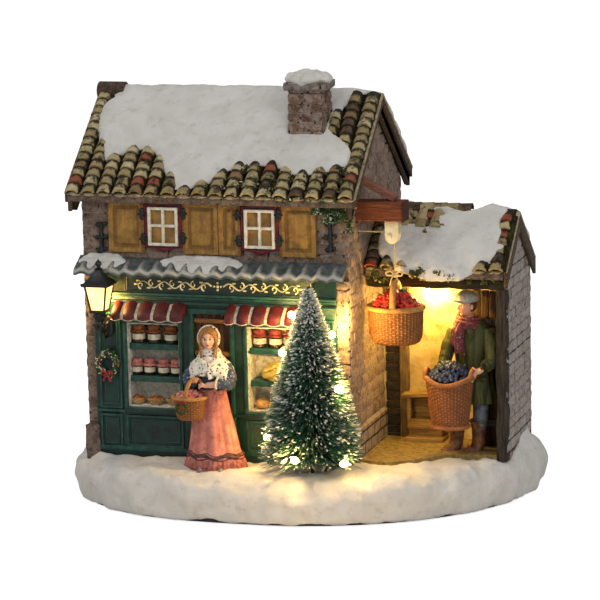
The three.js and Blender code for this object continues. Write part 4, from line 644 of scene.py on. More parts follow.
def stone_finish(name, row, length, light, dark):
    """Coursed stone in painted resin, with a pale dry brush on its high spots and dark joints."""
    f = Finish(name, rough=0.86, Specular_IOR_Level=0.25)
    laid = f.use(COURSES, At=f.at, Row=row, Length=length, Joint=0.45)
    paint = f.use(BRUSHED, At=f.at, Patch=6.0)
    body = f.mix(laid["Tone"], dark, light)
    body = f.tinted(body, light, paint["Blotch"], 0.35)
    high = f.fade(laid["Height"], 0.62, 0.95)
    body = f.tinted(body, "a89a8c", high, 0.6)
    body = f.mix(laid["Joint"], body, "2e2622")
    return f.done(body, (paint["Grain"], 0.2), (laid["Height"], 0.7))


def block_finish(name, light, dark, wash, gap):
    """Stone for blocks that are modelled: a tone for each, worn pale edges and dark pits."""
    f = Finish(name, rough=0.86, Specular_IOR_Level=0.25)
    tone = f.mark("tone")
    paint = f.use(BRUSHED, At=f.at, Patch=4.0)
    body = f.mix(tone, dark, light)
    body = f.tinted(body, wash, paint["Blotch"], 0.4)
    pits = f.fade(f.noise(f.at, 1.5, 5.0, 0.65), 0.50, 0.34)
    body = f.tinted(body, gap, pits, 0.7)
    worn = f.fade(f.noise(f.at, 0.9, 4.0, 0.7), 0.54, 0.66)
    body = f.tinted(body, wash, worn, 0.45)
    return f.done(body, (paint["Grain"], 0.22), (f.noise(f.at, 1.7, 5.0, 0.65), 0.55))


def tile_finish():
    f = Finish("clay_tile", rough=0.78, Specular_IOR_Level=0.3)
    tone = f.mark("tone")
    body = f.ramp(tone, (0.0, "bfad80"), (0.34, "a8956a"), (0.55, "cbbb90"), (0.66, "8a6e4a"),
                  (0.76, "96402a"), (0.86, "9b8a5e"), (0.94, "46342a"), step=True)
    paint = f.use(BRUSHED, At=f.at, Patch=3.5)
    body = f.tinted(body, "84704c", paint["Blotch"], 0.45)
    # Painted shade: near black along each tile's sides and under the tile above it, mixed with a
    # random crust of soot
    hollow = f.mark("hollow")
    crust = f.maths("MULTIPLY_ADD", f.noise(f.at, 2.2, 5.0, 0.7), 0.9, hollow)
    body = f.tinted(body, "16140d", f.fade(crust, 0.80, 1.06), 0.94)
    soot = f.fade(f.noise(f.at, 5.0, 5.0, 0.68, 0.3), 0.53, 0.62)
    body = f.tinted(body, "1d1a12", soot, 0.8)
    green = f.fade(f.noise(f.at, 6.0, 4.0, 0.6), 0.60, 0.70)
    body = f.tinted(body, "3c3d1c", green, 0.5)
    return f.done(body, (paint["Grain"], 0.2), (f.noise(f.at, 1.8, 4.0, 0.6), 0.4))


def valley_finish():
    """The roof between the tiles: near black as painted shade in the gaps, with soot and moss."""
    f = Finish("roof_valley", rough=0.92, Specular_IOR_Level=0.15)
    body = f.ramp(f.noise(f.at, 4.5, 5.0, 0.65), (0.3, "15130d"), (0.5, "26220f"), (0.62, "3b3a1a"),
                  (0.75, "5a4c30"))
    return f.done(body, (f.noise(f.at, 1.4, 5.0, 0.7), 0.6))


def painted(name, light, dark, patch=5.0, rough=0.5, edge=None, grime=None, relief=0.25):
    """Painted resin in two near colours, with a grime in its hollows and paint worn to edge."""
    f = Finish(name, rough=rough)
    paint = f.use(BRUSHED, At=f.at, Patch=patch)
    body = f.mix(paint["Blotch"], dark, light)
    if grime:
        soil = f.fade(f.noise(f.at, patch * 0.6, 6.0, 0.68), 0.50, 0.66)
        body = f.tinted(body, grime, soil, 0.6)
    if edge:
        worn = f.fade(f.noise(f.at, 1.1, 5.0, 0.7), 0.60, 0.70)
        body = f.tinted(body, edge, worn, 0.55)
    return f.done(body, (paint["Grain"], 0.10), (paint["Height"], relief))


def wood_finish(name, light, dark, axis="Z", rough=0.7, fibre=0.7, depth=0.3):
    f = Finish(name, rough=rough, Specular_IOR_Level=0.3)
    turns = {"Z": (0, 0, 0), "X": (0, math.radians(90), 0), "Y": (math.radians(90), 0, 0)}
    turned = f.add("ShaderNodeMapping", {"Vector": f.at, "Rotation": turns[axis]})
    grain = f.use(GRAIN, At=turned, Fibre=fibre)
    body = f.mix(grain["Line"], dark, light)
    blotch = f.use(BRUSHED, At=f.at, Patch=5.0)
    body = f.tinted(body, dark, blotch["Blotch"], 0.35)
    return f.done(body, (blotch["Grain"], 0.1), (grain["Height"], depth))


def leaf_finish(name, dark, light, frost, share=0.75):
    """Leaves: a tone for each, and frost on the palest of them."""
    f = Finish(name, rough=0.7)
    tone = f.mark("tone")
    body = f.mix(tone, dark, light)
    body = f.mix(f.fade(tone, share, share + 0.04), body, frost)
    return f.done(body, (f.noise(f.at, 0.6, 3.0), 0.1))


def ledge_finish():
    """Slate paint: dark in the valleys, dry-brushed pale on the front edge, with painted highlights
    on the crests of the waves.
    """
    f = Finish("ledge_slate", rough=0.72)
    worn = f.mark("worn")
    paint = f.use(BRUSHED, At=f.at, Patch=3.5)
    body = f.mix(paint["Blotch"], "3c4342", "5f6664")
    edge = f.maths("MULTIPLY_ADD", f.noise(f.at, 1.4, 4.0, 0.7), 0.5, worn)
    body = f.mix(f.fade(edge, 0.55, 1.15), body, "b9b5a8")
    return f.done(body, (paint["Grain"], 0.15), (f.noise(f.at, 1.6, 5.0, 0.65), 0.45))


def grained_paint(name, light, dark, grime, edge, hollow=None):
    """Paint over upright grain, dark in the grooves and worn on the high spots, with painted shade
    in the grime colour on faces set back in y.
    """
    f = Finish(name, rough=0.6)
    grain = f.use(GRAIN, At=f.at, Fibre=0.8)
    paint = f.use(BRUSHED, At=f.at, Patch=4.0)
    body = f.mix(paint["Blotch"], dark, light)
    body = f.tinted(body, grime, grain["Line"], 0.35)
    worn = f.fade(f.noise(f.at, 1.2, 5.0, 0.7), 0.56, 0.68)
    body = f.tinted(body, edge, worn, 0.5)
    # Painted shade: the grime colour over faces that lie further back than the given y, such as
    # sunk fields
    if hollow:
        body = f.tinted(body, grime, f.fade(f.y, *hollow), 0.45)
    return f.done(body, (paint["Grain"], 0.1), (grain["Height"], 0.3))


def toned(name, first, second, third, rough):
    """Small fruit: a tone for each, with a duller side."""
    f = Finish(name, rough=rough)
    tone = f.mark("tone")
    body = f.ramp(tone, (0.0, first), (0.5, second), (1.0, third))
    body = f.tinted(body, first, f.noise(f.at, 0.8, 3.0), 0.4)
    return f.done(body, (f.noise(f.at, 0.5, 2.0), 0.06))


def glowing(name, tint, strength, deep=None):
    f = Finish(name, rough=0.35, Base_Color=tint)
    f.set(Emission_Color=f.mix(f.noise(f.at, 6.0, 2.0), deep or tint, tint),
          Emission_Strength=strength)
    return f.material


def wicker_finish(name, light, dark, woven=True):
    """Wicker, with painted shade in the weave: pale where a strand stands proud and dark in the
    gaps.
    """
    f = Finish(name, rough=0.55, Specular_IOR_Level=0.4)
    paint = f.use(BRUSHED, At=f.at, Patch=2.5)
    body = f.mix(f.maths("MULTIPLY", paint["Blotch"], 0.5), light, dark)
    if woven:
        # Painted shade: the lower a point lies in the weave, the darker it is, down to near black
        # in the gaps
        proud = f.mark("weave")
        body = f.tinted(body, dark, f.fade(proud, 0.8, 0.3), 0.75)
        body = f.tinted(body, "2a1508", f.fade(proud, 0.45, 0.0), 0.85)
    return f.done(body, (paint["Grain"], 0.12))


def skin_finish(name, light, dark, cheeks):
    """Painted skin with a soft blush round each cheek, a point in shop mm."""
    f = Finish(name, rough=0.45)
    paint = f.use(BRUSHED, At=f.at, Patch=2.0)
    body = f.mix(paint["Blotch"], dark, light)
    for cheek in cheeks:
        spot = f.vector(f.maths("SUBTRACT", f.x, cheek[0]), f.maths("SUBTRACT", f.y, cheek[1]),
                        f.maths("SUBTRACT", f.z, cheek[2]))
        far = f.add("ShaderNodeVectorMath", {0: spot}, out="Value", operation="LENGTH")
        body = f.tinted(body, "cf7866", f.fade(far, 1.7, 0.3), 0.4)
    return f.done(body, (paint["Grain"], 0.04))


def patterned(name, ground, second, mark, size, spot):
    """Cloth in two near colours with small marks scattered over it."""
    f = Finish(name)
    paint = f.use(BRUSHED, At=f.at, Patch=2.4)
    body = f.mix(paint["Blotch"], second, ground)
    marks = f.fade(f.cells(f.at, size), spot + 0.06, spot)
    body = f.mix(marks, body, mark)
    return f.done(body, (paint["Grain"], 0.08), (paint["Height"], 0.2))


def bristle_finish():
    """Green at the stem, paler along the strand and frosted white at its tip."""
    f = Finish("bristle", rough=0.75)
    frost = f.mark("frost")
    patch = f.fade(f.noise(f.at, 7.0, 3.0), 0.38, 0.60)
    green = f.mix(patch, "0f2c1d", "2a6442")
    high = f.maths("MULTIPLY_ADD", f.fade(f.z, 55, 98), 0.2, frost)
    tip = f.fade(f.maths("MULTIPLY_ADD", patch, -0.12, high), 0.66, 0.98)
    f.set(Base_Color=f.mix(f.maths("MULTIPLY", tip, 0.8), green, "c4d0c2"))
    return f.material


FINISHES = {}


def make_finishes():
    """Makes every finish once, under the key by which the pieces ask for it."""
    m = FINISHES
    m["snow"] = snow_finish()
    m["stone_wall"] = stone_finish("wall_stone", 5.3, 11.0, "7a6a62", "54473f")
    m["stone_gable"] = stone_finish("gable_stone", 5.3, 10.0, "87736a", "665449")
    m["stone_blocks"] = block_finish("stone_blocks", "85705f", "5b4a3f", "a08d7e", "2a211b")
    m["shed_blocks"] = block_finish("shed_blocks", "aaa19a", "8f857d", "c6beb5", "5a504b")
    m["gable_blocks"] = block_finish("gable_blocks", "957f70", "725e50", "ad9b8c", "382c25")
    m["chimney_blocks"] = block_finish("chimney_blocks", "86604c", "5c4034", "c6baad", "2c1c16")
    m["tile"] = tile_finish()
    m["valley"] = valley_finish()
    m["shop_green"] = painted("shop_green", "0f3831", "0a2623", 6.0, 0.42, edge="2c5a4e",
                              grime="081a18")
    m["sign_green"] = painted("sign_green", "122c26", "0b1d1a", 6.0, 0.45)
    m["cream"] = painted("cream_paint", "d8cba6", "bfae86", 3.0, 0.55)
    m["slate"] = painted("slate_grey", "59605c", "343a38", 3.5, 0.6, edge="8c908a", grime="1e2220",
                         relief=0.4)
    m["green_trim"] = painted("green_trim", "1b5146", "113830", 4.0, 0.4, edge="3d7565",
                              grime="0a201c")
    m["sign_cream"] = painted("sign_cream", "ebe4bd", "d2c78f", 1.5, 0.55)
    m["ledge_slate"] = ledge_finish()
    m["awning"] = painted("awning_red", "601013", "3e090b", 3.5, 0.55, edge="84302c",
                          grime="2c0809")
    m["awning_cream"] = painted("awning_cream", "ddd0bb", "b7a48e", 1.6, 0.6, grime="8a6a58")
    # The last pair of numbers gives the y in mm where the painted shade on the shutters' sunk
    # fields begins and where it is full
    m["shutter_wood"] = grained_paint("shutter_ochre", "ae8136", "8b6428", "4a2f10", "c8a055",
                                      (-1.5, -1.12))
    m["ochre"] = painted("ochre_plain", "ab8030", "8a6122", 3.0, 0.6)
    m["pane"] = painted("pane_ochre", "a8803c", "79582a", 6.0, 0.3, relief=0.1)
    m["door_wood"] = wood_finish("door_wood", "57361d", "2a180c", "Z", 0.55, 1.0, 0.45)
    m["bar_wood"] = wood_finish("bar_wood", "9a6c44", "6b4525", "X", 0.6)
    m["brass"] = painted("aged_brass", "a08040", "5c451c", 1.2, 0.35)
    m["jar_dark"] = painted("jar_dark", "3a241b", "1d120e", 1.6, 0.25, relief=0.08)
    m["label"] = painted("jar_label", "ddd6c0", "bfb498", 1.4, 0.6, relief=0.08)
    m["lid_orange"] = painted("lid_orange", "a5622c", "7d401c", 1.4, 0.6)
    m["lid_red"] = painted("lid_red", "a84a42", "83302c", 1.4, 0.6)
    m["lid_pink"] = painted("lid_pink", "c98274", "a25a52", 1.4, 0.6)
    m["crust"] = painted("crust", "c9a368", "94683a", 1.6, 0.65)
    m["filling"] = painted("filling", "c56a24", "933f14", 1.0, 0.35)
    m["cloth_yellow"] = painted("cloth_yellow", "c8b35c", "9d8538", 2.2, 0.65, grime="6e5a22")
    m["ribbon_red"] = painted("ribbon_red", "b3201f", "7d1013", 1.2, 0.4)
    m["moss"] = painted("moss_dark", "26361b", "141e0f", 1.2, 0.9)
    m["needle"] = leaf_finish("needle_leaf", "14300f", "3f6428", "c9cfbd", 0.86)
    m["roof_moss"] = leaf_finish("roof_moss", "1c2410", "5a4e22", "c7c3b0", 0.88)
    m["dry_moss"] = leaf_finish("dry_moss", "2a3412", "66682c", "b9b38a", 0.90)
    m["berry_red"] = toned("berry_red", "8a120c", "c82a18", "e0562c", 0.3)
    m["berry_blue"] = toned("berry_blue", "0d1226", "1f2d52", "4a5a86", 0.35)
    m["window_red"] = painted("window_red", "720f1c", "520a14", 3.0, 0.5, edge="8e2c3a",
                              grime="33090f")
    m["sash"] = painted("sash_cream", "e9e4d5", "cdc4ae", 2.0, 0.5)
    m["dark_wood"] = wood_finish("dark_wood", "4a3322", "23170e")
    m["beam_wood"] = wood_finish("beam_wood", "8a4b2b", "5a2b17", "X")
    m["brace_wood"] = wood_finish("brace_wood", "a5705a", "7a4838", "X")
    m["grey_wood"] = wood_finish("grey_wood", "675c50", "3c342d")
    m["plaster"] = painted("plaster", "d9c692", "c4ab70", 8.0, 0.85, grime="a08650", relief=0.5)
    m["post_wood"] = wood_finish("post_wood", "4a4139", "1e1915", "Z", 0.8, 0.8, 0.6)
    m["lintel_wood"] = wood_finish("lintel_wood", "37301a", "18150b", "X", 0.8, 1.2, 0.5)
    m["charred"] = painted("inner_door_dark", "2e261c", "15110c", 2.0, 0.85, relief=0.5)
    m["olive_wood"] = wood_finish("inner_post_wood", "8a7345", "57452a", "Z", 0.75, 0.9, 0.45)
    m["crate_wood"] = wood_finish("crate_wood", "b0915a", "735a34", "X", 0.75, 0.9, 0.4)
    m["beam_end"] = wood_finish("beam_end", "5c2c1a", "38190f", "X", 0.7)
    m["star_lamp"] = glowing("star_lamp", "fff0c0", 30.0)
    m["sett"] = toned("yard_sett", "6d5a33", "8f7843", "b49a5c", 0.8)
    m["pale_wicker"] = wicker_finish("pale_wicker", "c08a48", "7f4f20", False)
    m["paving"] = painted("cobbles", "9a8450", "7a6538", 2.4, 0.8, grime="4a3c20", relief=0.5)
    m["iron"] = painted("lantern_iron", "151517", "0b0b0d", 3.0, 0.35, edge="2a2a2c")
    m["lantern_glow"] = glowing("lantern_glow", "ffdf8e", 2.1, "ffc55c")
    m["case_black"] = painted("case_black", "26282b", "1c1e20", 8.0, 0.5)
    m["white_plastic"] = painted("white_plastic", "e8e0c4", "d9cda6", 5.0, 0.35)
    m["thread"] = painted("thread", "d9c99c", "b59f6c", 0.8, 0.8)
    m["tan_wicker"] = wicker_finish("tan_wicker", "a4692c", "633711")
    m["brown_wicker"] = wicker_finish("brown_wicker", "9c5c2c", "552c10")
    m["brown_rim"] = wicker_finish("brown_rim", "a4683a", "6a3a1a", False)
    m["bristle"] = bristle_finish()
    m["wire"] = painted("wire_green", "1d3a28", "12261a", 2.0, 0.5)
    m["case_cream"] = painted("display_plaster", "e9e5d6", "c9c4b2", 2.0, 0.8, grime="7d776a",
                              relief=0.5)
    m["skin"] = painted("painted_skin", "e0ac8e", "d39a7c", 3.0, 0.45, relief=0.04)
    m["woman_skin"] = skin_finish("woman_skin", "e8b99c", "dda587",
                                  [(58.6, -17.2, 73.9), (62.4, -17.0, 73.9)])
    m["man_skin"] = skin_finish("man_skin", "dba284", "cc8f70",
                                [(156.8, 29.4, 82.6), (160.2, 27.4, 82.6)])
    m["eye_white"] = painted("eye_white", "efe9e0", "e2dace", 2.0, 0.3, relief=0.02)
    m["eye_dark"] = painted("eye_dark", "33251c", "21170f", 2.0, 0.25, relief=0.02)
    m["lip_rose"] = painted("lip_rose", "b0504a", "9c4440", 2.0, 0.4, relief=0.02)
    m["hair_brown"] = wood_finish("hair_brown", "6b4a30", "40291a", "Z", 0.6, 0.4, 0.2)
    m["hair_blonde"] = wood_finish("hair_blonde", "bd8a52", "80542c", "Z", 0.5, 0.4, 0.25)
    m["skirt"] = painted("skirt_salmon", "d38576", "b86a5c", 3.5, 0.5, edge="e6a899",
                         grime="8c4a40")
    m["skirt_hem"] = painted("skirt_hem", "c07466", "8f4c42", 2.0, 0.5, edge="e3a798",
                             grime="5c2c28")
    m["band_dark"] = painted("hem_band", "5a3434", "3a2224", 1.2, 0.5)
    m["silver_shoe"] = painted("silver_shoe", "9a9a9c", "6c6c70", 1.6, 0.35)
    m["blouse"] = patterned("blouse_blue", "3a4c68", "1d2940", "9aa2b2", 1.25, 0.22)
    m["shawl"] = patterned("shawl_white", "f0ebdf", "d9d1c3", "2a2630", 1.35, 0.27)
    m["shawl_plain"] = painted("shawl_plain", "e6dfd0", "cfc6b6", 2.0, 0.6)
    m["coat"] = wood_finish("coat_olive", "55572b", "242711", "Z", 0.5, 1.7, 0.5)
    m["trousers"] = painted("trousers", "66707c", "4a515c", 3.0, 0.6, grime="33383f")
    m["boot_brown"] = painted("boot_brown", "7a4a28", "4c2b16", 2.4, 0.4, edge="a8703e",
                              grime="2a170b")
    m["scarf"] = patterned("scarf_burgundy", "7d3038", "511c24", "b98a7c", 1.1, 0.2)
    m["cap"] = patterned("cap_grey", "a9a7a0", "86837c", "6a6862", 0.8, 0.24)
    m["berry_pink"] = toned("berry_pink", "a83a3e", "d8837e", "e8c8b0", 0.4)
    m["verge_wood"] = wood_finish("verge_wood", "645140", "382a20", "Y")
    m["bedding"] = painted("tile_bedding", "b7a585", "8c7a58", 2.5, 0.8, grime="3a3222", relief=0.5)
    m["ridge_clay"] = painted("ridge_clay", "5c4636", "2e221a", 2.5, 0.8, edge="a89676",
                              grime="16120c", relief=0.5)
    m["cap_stone"] = painted("cap_stone", "8f857a", "5f564e", 2.5, 0.85, edge="d0cac0",
                             grime="3a332e", relief=0.6)
    m["flock"] = painted("white_flock", "e4e4de", "c9cdc4", 1.0, 0.9)
    m["bulb"] = glowing("lamp_bulb", "ffe6a8", 10.0, "ffd684")
    m["wreath"] = painted("wreath_green", "274a24", "152c14", 1.2, 0.6)


NODE_FINISHES = {
    "stone_wall": ("wall_front", "wall_back"),
    "stone_gable": ("gable_left", "gable_right", "shed_wall_right", "shed_back", "chimney"),
    "valley": ("main_roof", "shed_roof"),
    "shop_green": ("shopfront",),
    "sign_green": ("sign_board",),
    "slate": ("slate_ledge",),
    "awning": ("awning_left", "awning_right"),
    "shutter_wood": ("shutter_left", "shutter_pair", "shutter_right"),
    "window_red": ("window_left", "window_right"),
    "dark_wood": ("shop_door", "open_door", "inner_door", "shed_lintel"),
    "beam_wood": ("hoist_beam",),
    "grey_wood": ("shed_post", "step_and_crate"),
    "paving": ("paving",),
    "iron": ("lantern_frame",),
    "lantern_glow": ("lantern_glass",),
    "case_black": ("bottom_plate", "battery_case", "battery_door", "gear_motor", "switch_slider"),
    "white_plastic": ("pulley_bracket", "pulley_wheel", "winding_drum"),
    "thread": ("hoist_thread", "hang_thread", "thread_knot"),
    "tan_wicker": ("hanging_basket", "woman_basket"),
    "brown_wicker": ("man_basket",),
    "bristle": ("tree",),
    "wire": ("light_string",),
    "case_cream": ("display_left", "display_right"),
    "skin": ("woman_head", "man_head"),
    "skirt": ("woman_skirt",),
    "blouse": ("woman_top",),
    "shawl": ("woman_shawl",),
    "coat": ("man_coat",),
    "trousers": ("man_legs",),
    "wreath": ("wreath",),
    "snow": ("snow_base", "roof_snow", "shed_snow", "chimney_snow", "ledge_snow"),
}


# Roofs. A roof's top at y is its ridge height less its slope times the distance from the ridge.
HOUSE_X1 = 118.1
TILE_LONG = 6.4
MAIN_ROOF = {"ridge": 172.3, "mid": 41.6, "slope": 0.8186, "x": (-5.6, 122.1), "front": -4.7}
SHED_ROOF = {"ridge": 122.3, "mid": 46.0, "slope": 0.832, "x": (118.6, 179.1), "front": 21.0}
ROOF_SNOW_EDGE = [
    (-5.6, 44), (-3.6, 40), (2.3, 37), (-1.8, 30.5), (-2.2, 24.5), (1, 19.6), (3.8, 13.8),
    (8, 7.8), (12.2, 8), (17.2, 11.4), (23.5, 12.8), (30, 11.6), (32.4, 8), (37.1, 2.4),
    (42.3, -2.6), (46.8, -5.6), (52.3, -3), (58.2, -1.2), (62.5, 3), (67.5, 5.2), (75.7, 6.6),
    (84.5, 6.7), (90, 3.6), (100.8, 3.3), (109.3, 4), (116.2, 8), (116.6, 13), (110.4, 17.4),
    (104.4, 18.2), (104.8, 25), (106.2, 30.5), (108.4, 34.6), (111, 38), (117.4, 40.6),
    (122.6, 43.6),
]
SHED_SNOW_EDGE = [
    (122.2, 30), (123.1, 33.4), (131.2, 34.4), (136.2, 35.2), (142, 34.9), (147.9, 37),
    (149, 41.4), (134, 45), (122, 47), (119, 90), (180, 90), (179.6, 52), (176, 43), (173, 38.6),
    (176, 34.4), (177.8, 30.8), (177.4, 26.4), (174.8, 22.8), (168.8, 21.2), (165, 18.2),
    (161, 16.4), (155, 15.8), (145.4, 16.6), (137.4, 18.4), (128.4, 20.8), (123.6, 25),
]


def roof_top(roof, y):
    return roof["ridge"] - roof["slope"] * abs(y - roof["mid"])


def inside(x, y, edge):
    found = False
    for (x0, y0), (x1, y1) in zip(edge, edge[1:] + edge[:1]):
        if (y0 > y) != (y1 > y) and x < (x1 - x0) * (y - y0) / (y1 - y0) + x0:
            found = not found
    return found


def buried(x, y, edge, by=3.2):
    """True where a tile lies well under the snow."""
    steps = [(by, 0), (-by, 0), (0, by), (0, -by), (by * 0.7, by * 0.7), (-by * 0.7, -by * 0.7)]
    return all(inside(x + dx, y + dy, edge) for dx, dy in steps)


def barrel_tile(length=8.8, half=3.3, rise=3.0):
    """A tapered half-round clay tile, its lower end towards -y, made round zero."""
    tile = fresh("cylinder", vertices=16, radius=half / 1000, depth=length / 1000,
                 end_fill_type="NOTHING", location=(0, 0, 0), rotation=(math.radians(90), 0, 0))
    with edited(tile):
        bpy.ops.mesh.bisect(plane_co=(0, 0, 0), plane_no=(0, 0, 1), clear_inner=True)
        bpy.ops.mesh.select_mode(type="VERT")
        mesh = bmesh.from_edit_mesh(tile.data)
        for vertex in mesh.verts:
            vertex.select_set(vertex.co.y > 0)
        bmesh.update_edit_mesh(tile.data)
        bpy.ops.transform.resize(value=(0.82, 1.0, 0.86), center_override=(0, length / 2000, 0))
        bpy.ops.mesh.select_all(action="SELECT")
        bpy.ops.transform.resize(value=(1.0, 1.0, rise / half), center_override=(0, 0, 0))
    applied(tile, "SOLIDIFY", thickness=0.0008, offset=-1.0)
    return outward(tile)


def tile_shade(tile, length):
    """Painted shade of a tile's points: along its two sides and under the tile above it."""
    values = []
    for vertex in tile.data.vertices:
        at = vertex.co * 1000
        side = 0.9 if at.z < 0.6 else 0.4 if at.z < 1.6 else 0.0
        values.append(max(side, at.y / length + 0.5))
    return values


def lay_tiles(name, roof, snow, columns, rows, tone, skip=lambda x, y: False):
    """Loose rows of barrel tiles up a roof's front, as far as they show from under its snow."""
    template = template_of(barrel_tile(TILE_LONG))
    pitch = (roof["x"][1] - roof["x"][0]) / columns
    lean = math.degrees(math.atan(roof["slope"]))
    run = 4.5 * math.cos(math.radians(lean))
    places, tones = [], []
    for row in range(rows):
        for column in range(columns):
            x = roof["x"][0] + pitch * (column + 0.5) + random.uniform(-0.22, 0.22)
            y = roof["front"] - 0.9 + run * (row + 0.55)
            if y > roof["mid"] - 1 or buried(x, y, snow) or skip(x, y):
                continue
            lift = 0.05 + random.uniform(-0.1, 0.25)
            turn = (lean - 3.6 + random.uniform(-1.2, 1.2), random.uniform(-4, 4),
                    random.uniform(-2.4, 2.4))
            wide = random.uniform(0.95, 1.05)
            matrix = Matrix.Translation(mm(x, y, roof_top(roof, y) + lift))
            matrix = matrix @ Matrix.Rotation(math.radians(turn[2]), 4, "Z")
            matrix = matrix @ Matrix.Rotation(math.radians(turn[0]), 4, "X")
            matrix = matrix @ Matrix.Rotation(math.radians(turn[1]), 4, "Y")
            places.append(matrix @ Matrix.Diagonal((wide, 1.0, random.uniform(0.95, 1.1), 1.0)))
            tones.append(tone(x))
    tiles = spread(name, template, places, tones, tile_shade(template, TILE_LONG))
    kept(tiles, "tile", 50)


def along_slope(name, roof, x, up, y, ease=0.3):
    """A bar that follows a roof's slope, between two x, two heights over the top and two y."""
    points = []
    for yy in y:
        top = roof_top(roof, yy)
        points += [(x[0], yy, top + up[0]), (x[1], yy, top + up[0]), (x[1], yy, top + up[1]),
                   (x[0], yy, top + up[1])]
    bar = of_points(name, points, [(3, 2, 1, 0), (4, 5, 6, 7), (0, 1, 5, 4), (1, 2, 6, 5),
                                   (2, 3, 7, 6), (3, 0, 4, 7)])
    outward(bar)
    return eased(bar, ease) if ease else bar


def verge_boards():
    """Two stepped boards under each edge of the roof, and the pale bedding of its end tiles."""
    boards, bedding = [], []
    for x, side in ((-5.6, -1), (122.1, 1)):
        for y in ((-5.0, 41.6), (41.6, 88.0)):
            outer = (x - 0.25, x + 1.3) if side < 0 else (x - 1.3, x + 0.25)
            inner = (x + 1.0, x + 3.0) if side < 0 else (x - 3.0, x - 1.0)
            boards.append(along_slope("board", MAIN_ROOF, outer, (-4.6, -0.9), y))
            boards.append(along_slope("board", MAIN_ROOF, inner, (-8.5, -4.2), y))
            bedding.append(along_slope("bed", MAIN_ROOF, (outer[0] - 0.1, outer[1] + 0.3),
                                       (-1.0, 0.35), y, 0.35))
    for y in ((20.6, 46.0), (46.0, 75.2)):
        boards.append(along_slope("board", SHED_ROOF, (179.0, 180.6), (-7.6, -0.8), y))
        bedding.append(along_slope("bed", SHED_ROOF, (178.8, 180.7), (-0.9, 0.3), y, 0.35))
    kept(joined("verge_boards", boards), "verge_wood")
    kept(weathered(joined("verge_bedding", bedding), 1), "bedding")


def roofs():
    def tone(x):
        if (x > 80 and random.random() < 0.35) or random.random() < 0.06:
            return random.uniform(0.86, 1.0)
        return random.random() * 0.93

    lay_tiles("main_tiles", MAIN_ROOF, ROOF_SNOW_EDGE, 18, 13, tone,
              skip=lambda x, y: 86.2 < x < 103.2 and y > 16.5)
    lay_tiles("shed_tiles", SHED_ROOF, SHED_SNOW_EDGE, 9, 8,
              lambda x: random.choice((0.1, 0.4, 0.8, 0.9, 0.96)))
    verge_boards()
    ridge = rod("ridge_tile_end", (-6.1, 41.6, 171.6), (6.5, 41.6, 171.9), 4.3, 4.0, 20)
    kept(eased(ridge, 0.5), "ridge_clay")


# Stone
def stone_template(seed):
    """A dented block one millimetre on each side, made round zero, with no back face."""
    stone = fresh("cube", size=0.001, location=(0, 0, 0))
    with edited(stone):
        bpy.ops.mesh.subdivide(number_cuts=2)
        select_faces(stone, 1)
        bpy.ops.mesh.delete(type="FACE")
    chance = random.Random(seed)
    for vertex in stone.data.vertices:
        x, y, z = vertex.co * 1000
        near = [abs(v) > 0.49 for v in (x, z)]
        if y < -0.49 and any(near):
            vertex.co.y += 0.00022 if all(near) else 0.00013
        pull = 0.93 if all(near) else 1.0
        vertex.co.x = vertex.co.x * pull + chance.uniform(-1, 1) * 0.00002
        vertex.co.z = vertex.co.z * pull + chance.uniform(-1, 1) * 0.00004
        if y < -0.49:
            vertex.co.y += chance.uniform(-1, 1) * 0.00009
    return template_of(stone)


# How each wall's own run and height become a place: its turn and its point
WALLS = {
    "front": (0, lambda u, z, out: (u, -out, z)),
    "right": (90, lambda u, z, out: (HOUSE_X1 + out, u, z)),
    "left": (-90, lambda u, z, out: (-out, u, z)),
    "back": (180, lambda u, z, out: (u, 83.2 + out, z)),
    "pier": (0, lambda u, z, out: (u, -2.4 - out, z)),
    "shed_right": (90, lambda u, z, out: (178.8 + out, u, z)),
    "shed_back": (180, lambda u, z, out: (u, 72.0 + out, z)),
}


def lay_stones(name, wall, run, height, finish, row=5.3, length=(8, 13), thick=1.3, proud=0.45,
               roof_at=None, gaps=(), joint=0.58, seed=1):
    """Courses of blocks over a wall between two runs and two heights, round its gaps."""
    chance = random.Random(seed)
    turn, place = WALLS[wall]
    templates = [stone_template(seed * 10 + i) for i in range(3)]
    sets = [([], []) for _ in range(3)]
    z = height[0]
    course = 0
    while z < height[1] - 1.2:
        rise = min(row + chance.uniform(-0.3, 0.3), height[1] - z)
        if height[1] - z - rise < 1.6:
            rise = height[1] - z
        u = run[0] - (course % 2) * chance.uniform(3, 6)
        while u < run[1]:
            long = chance.uniform(*length)
            u0, u1 = max(u, run[0]), min(u + long, run[1])
            if run[1] - u1 < 2.4:
                u1 = run[1]
                long = u1 - u
            u += long
            spans = [(u0, u1)]
            for g0, g1, gz0, gz1 in gaps:
                if gz0 < z + rise * 0.55 and gz1 > z + rise * 0.45:
                    cut = []
                    for a, b in spans:
                        if b <= g0 or a >= g1:
                            cut.append((a, b))
                        else:
                            cut += [(a, min(b, g0)), (max(a, g1), b)]
                    spans = cut
            for a, b in spans:
                if b - a < 1.2:
                    continue
                top = z + rise
                if roof_at:
                    top = min(top, roof_at(a) - 0.2, roof_at(b) - 0.2)
                if top - z < 1.2:
                    continue
                size = (b - a - joint, thick, top - z - joint)
                out = proud - thick / 2 + chance.uniform(-0.13, 0.13)
                x, y, zz = place((a + b) / 2, (z + top) / 2, out)
                pick = chance.randrange(3)
                sets[pick][0].append(placed(x, y, zz, (0, 0, turn), size))
                sets[pick][1].append(chance.random())
        z += rise
        course += 1
    parts = [spread("stones", templates[i], *sets[i]) for i in range(3) if sets[i][0]]
    kept(joined(name, parts), finish, 34)


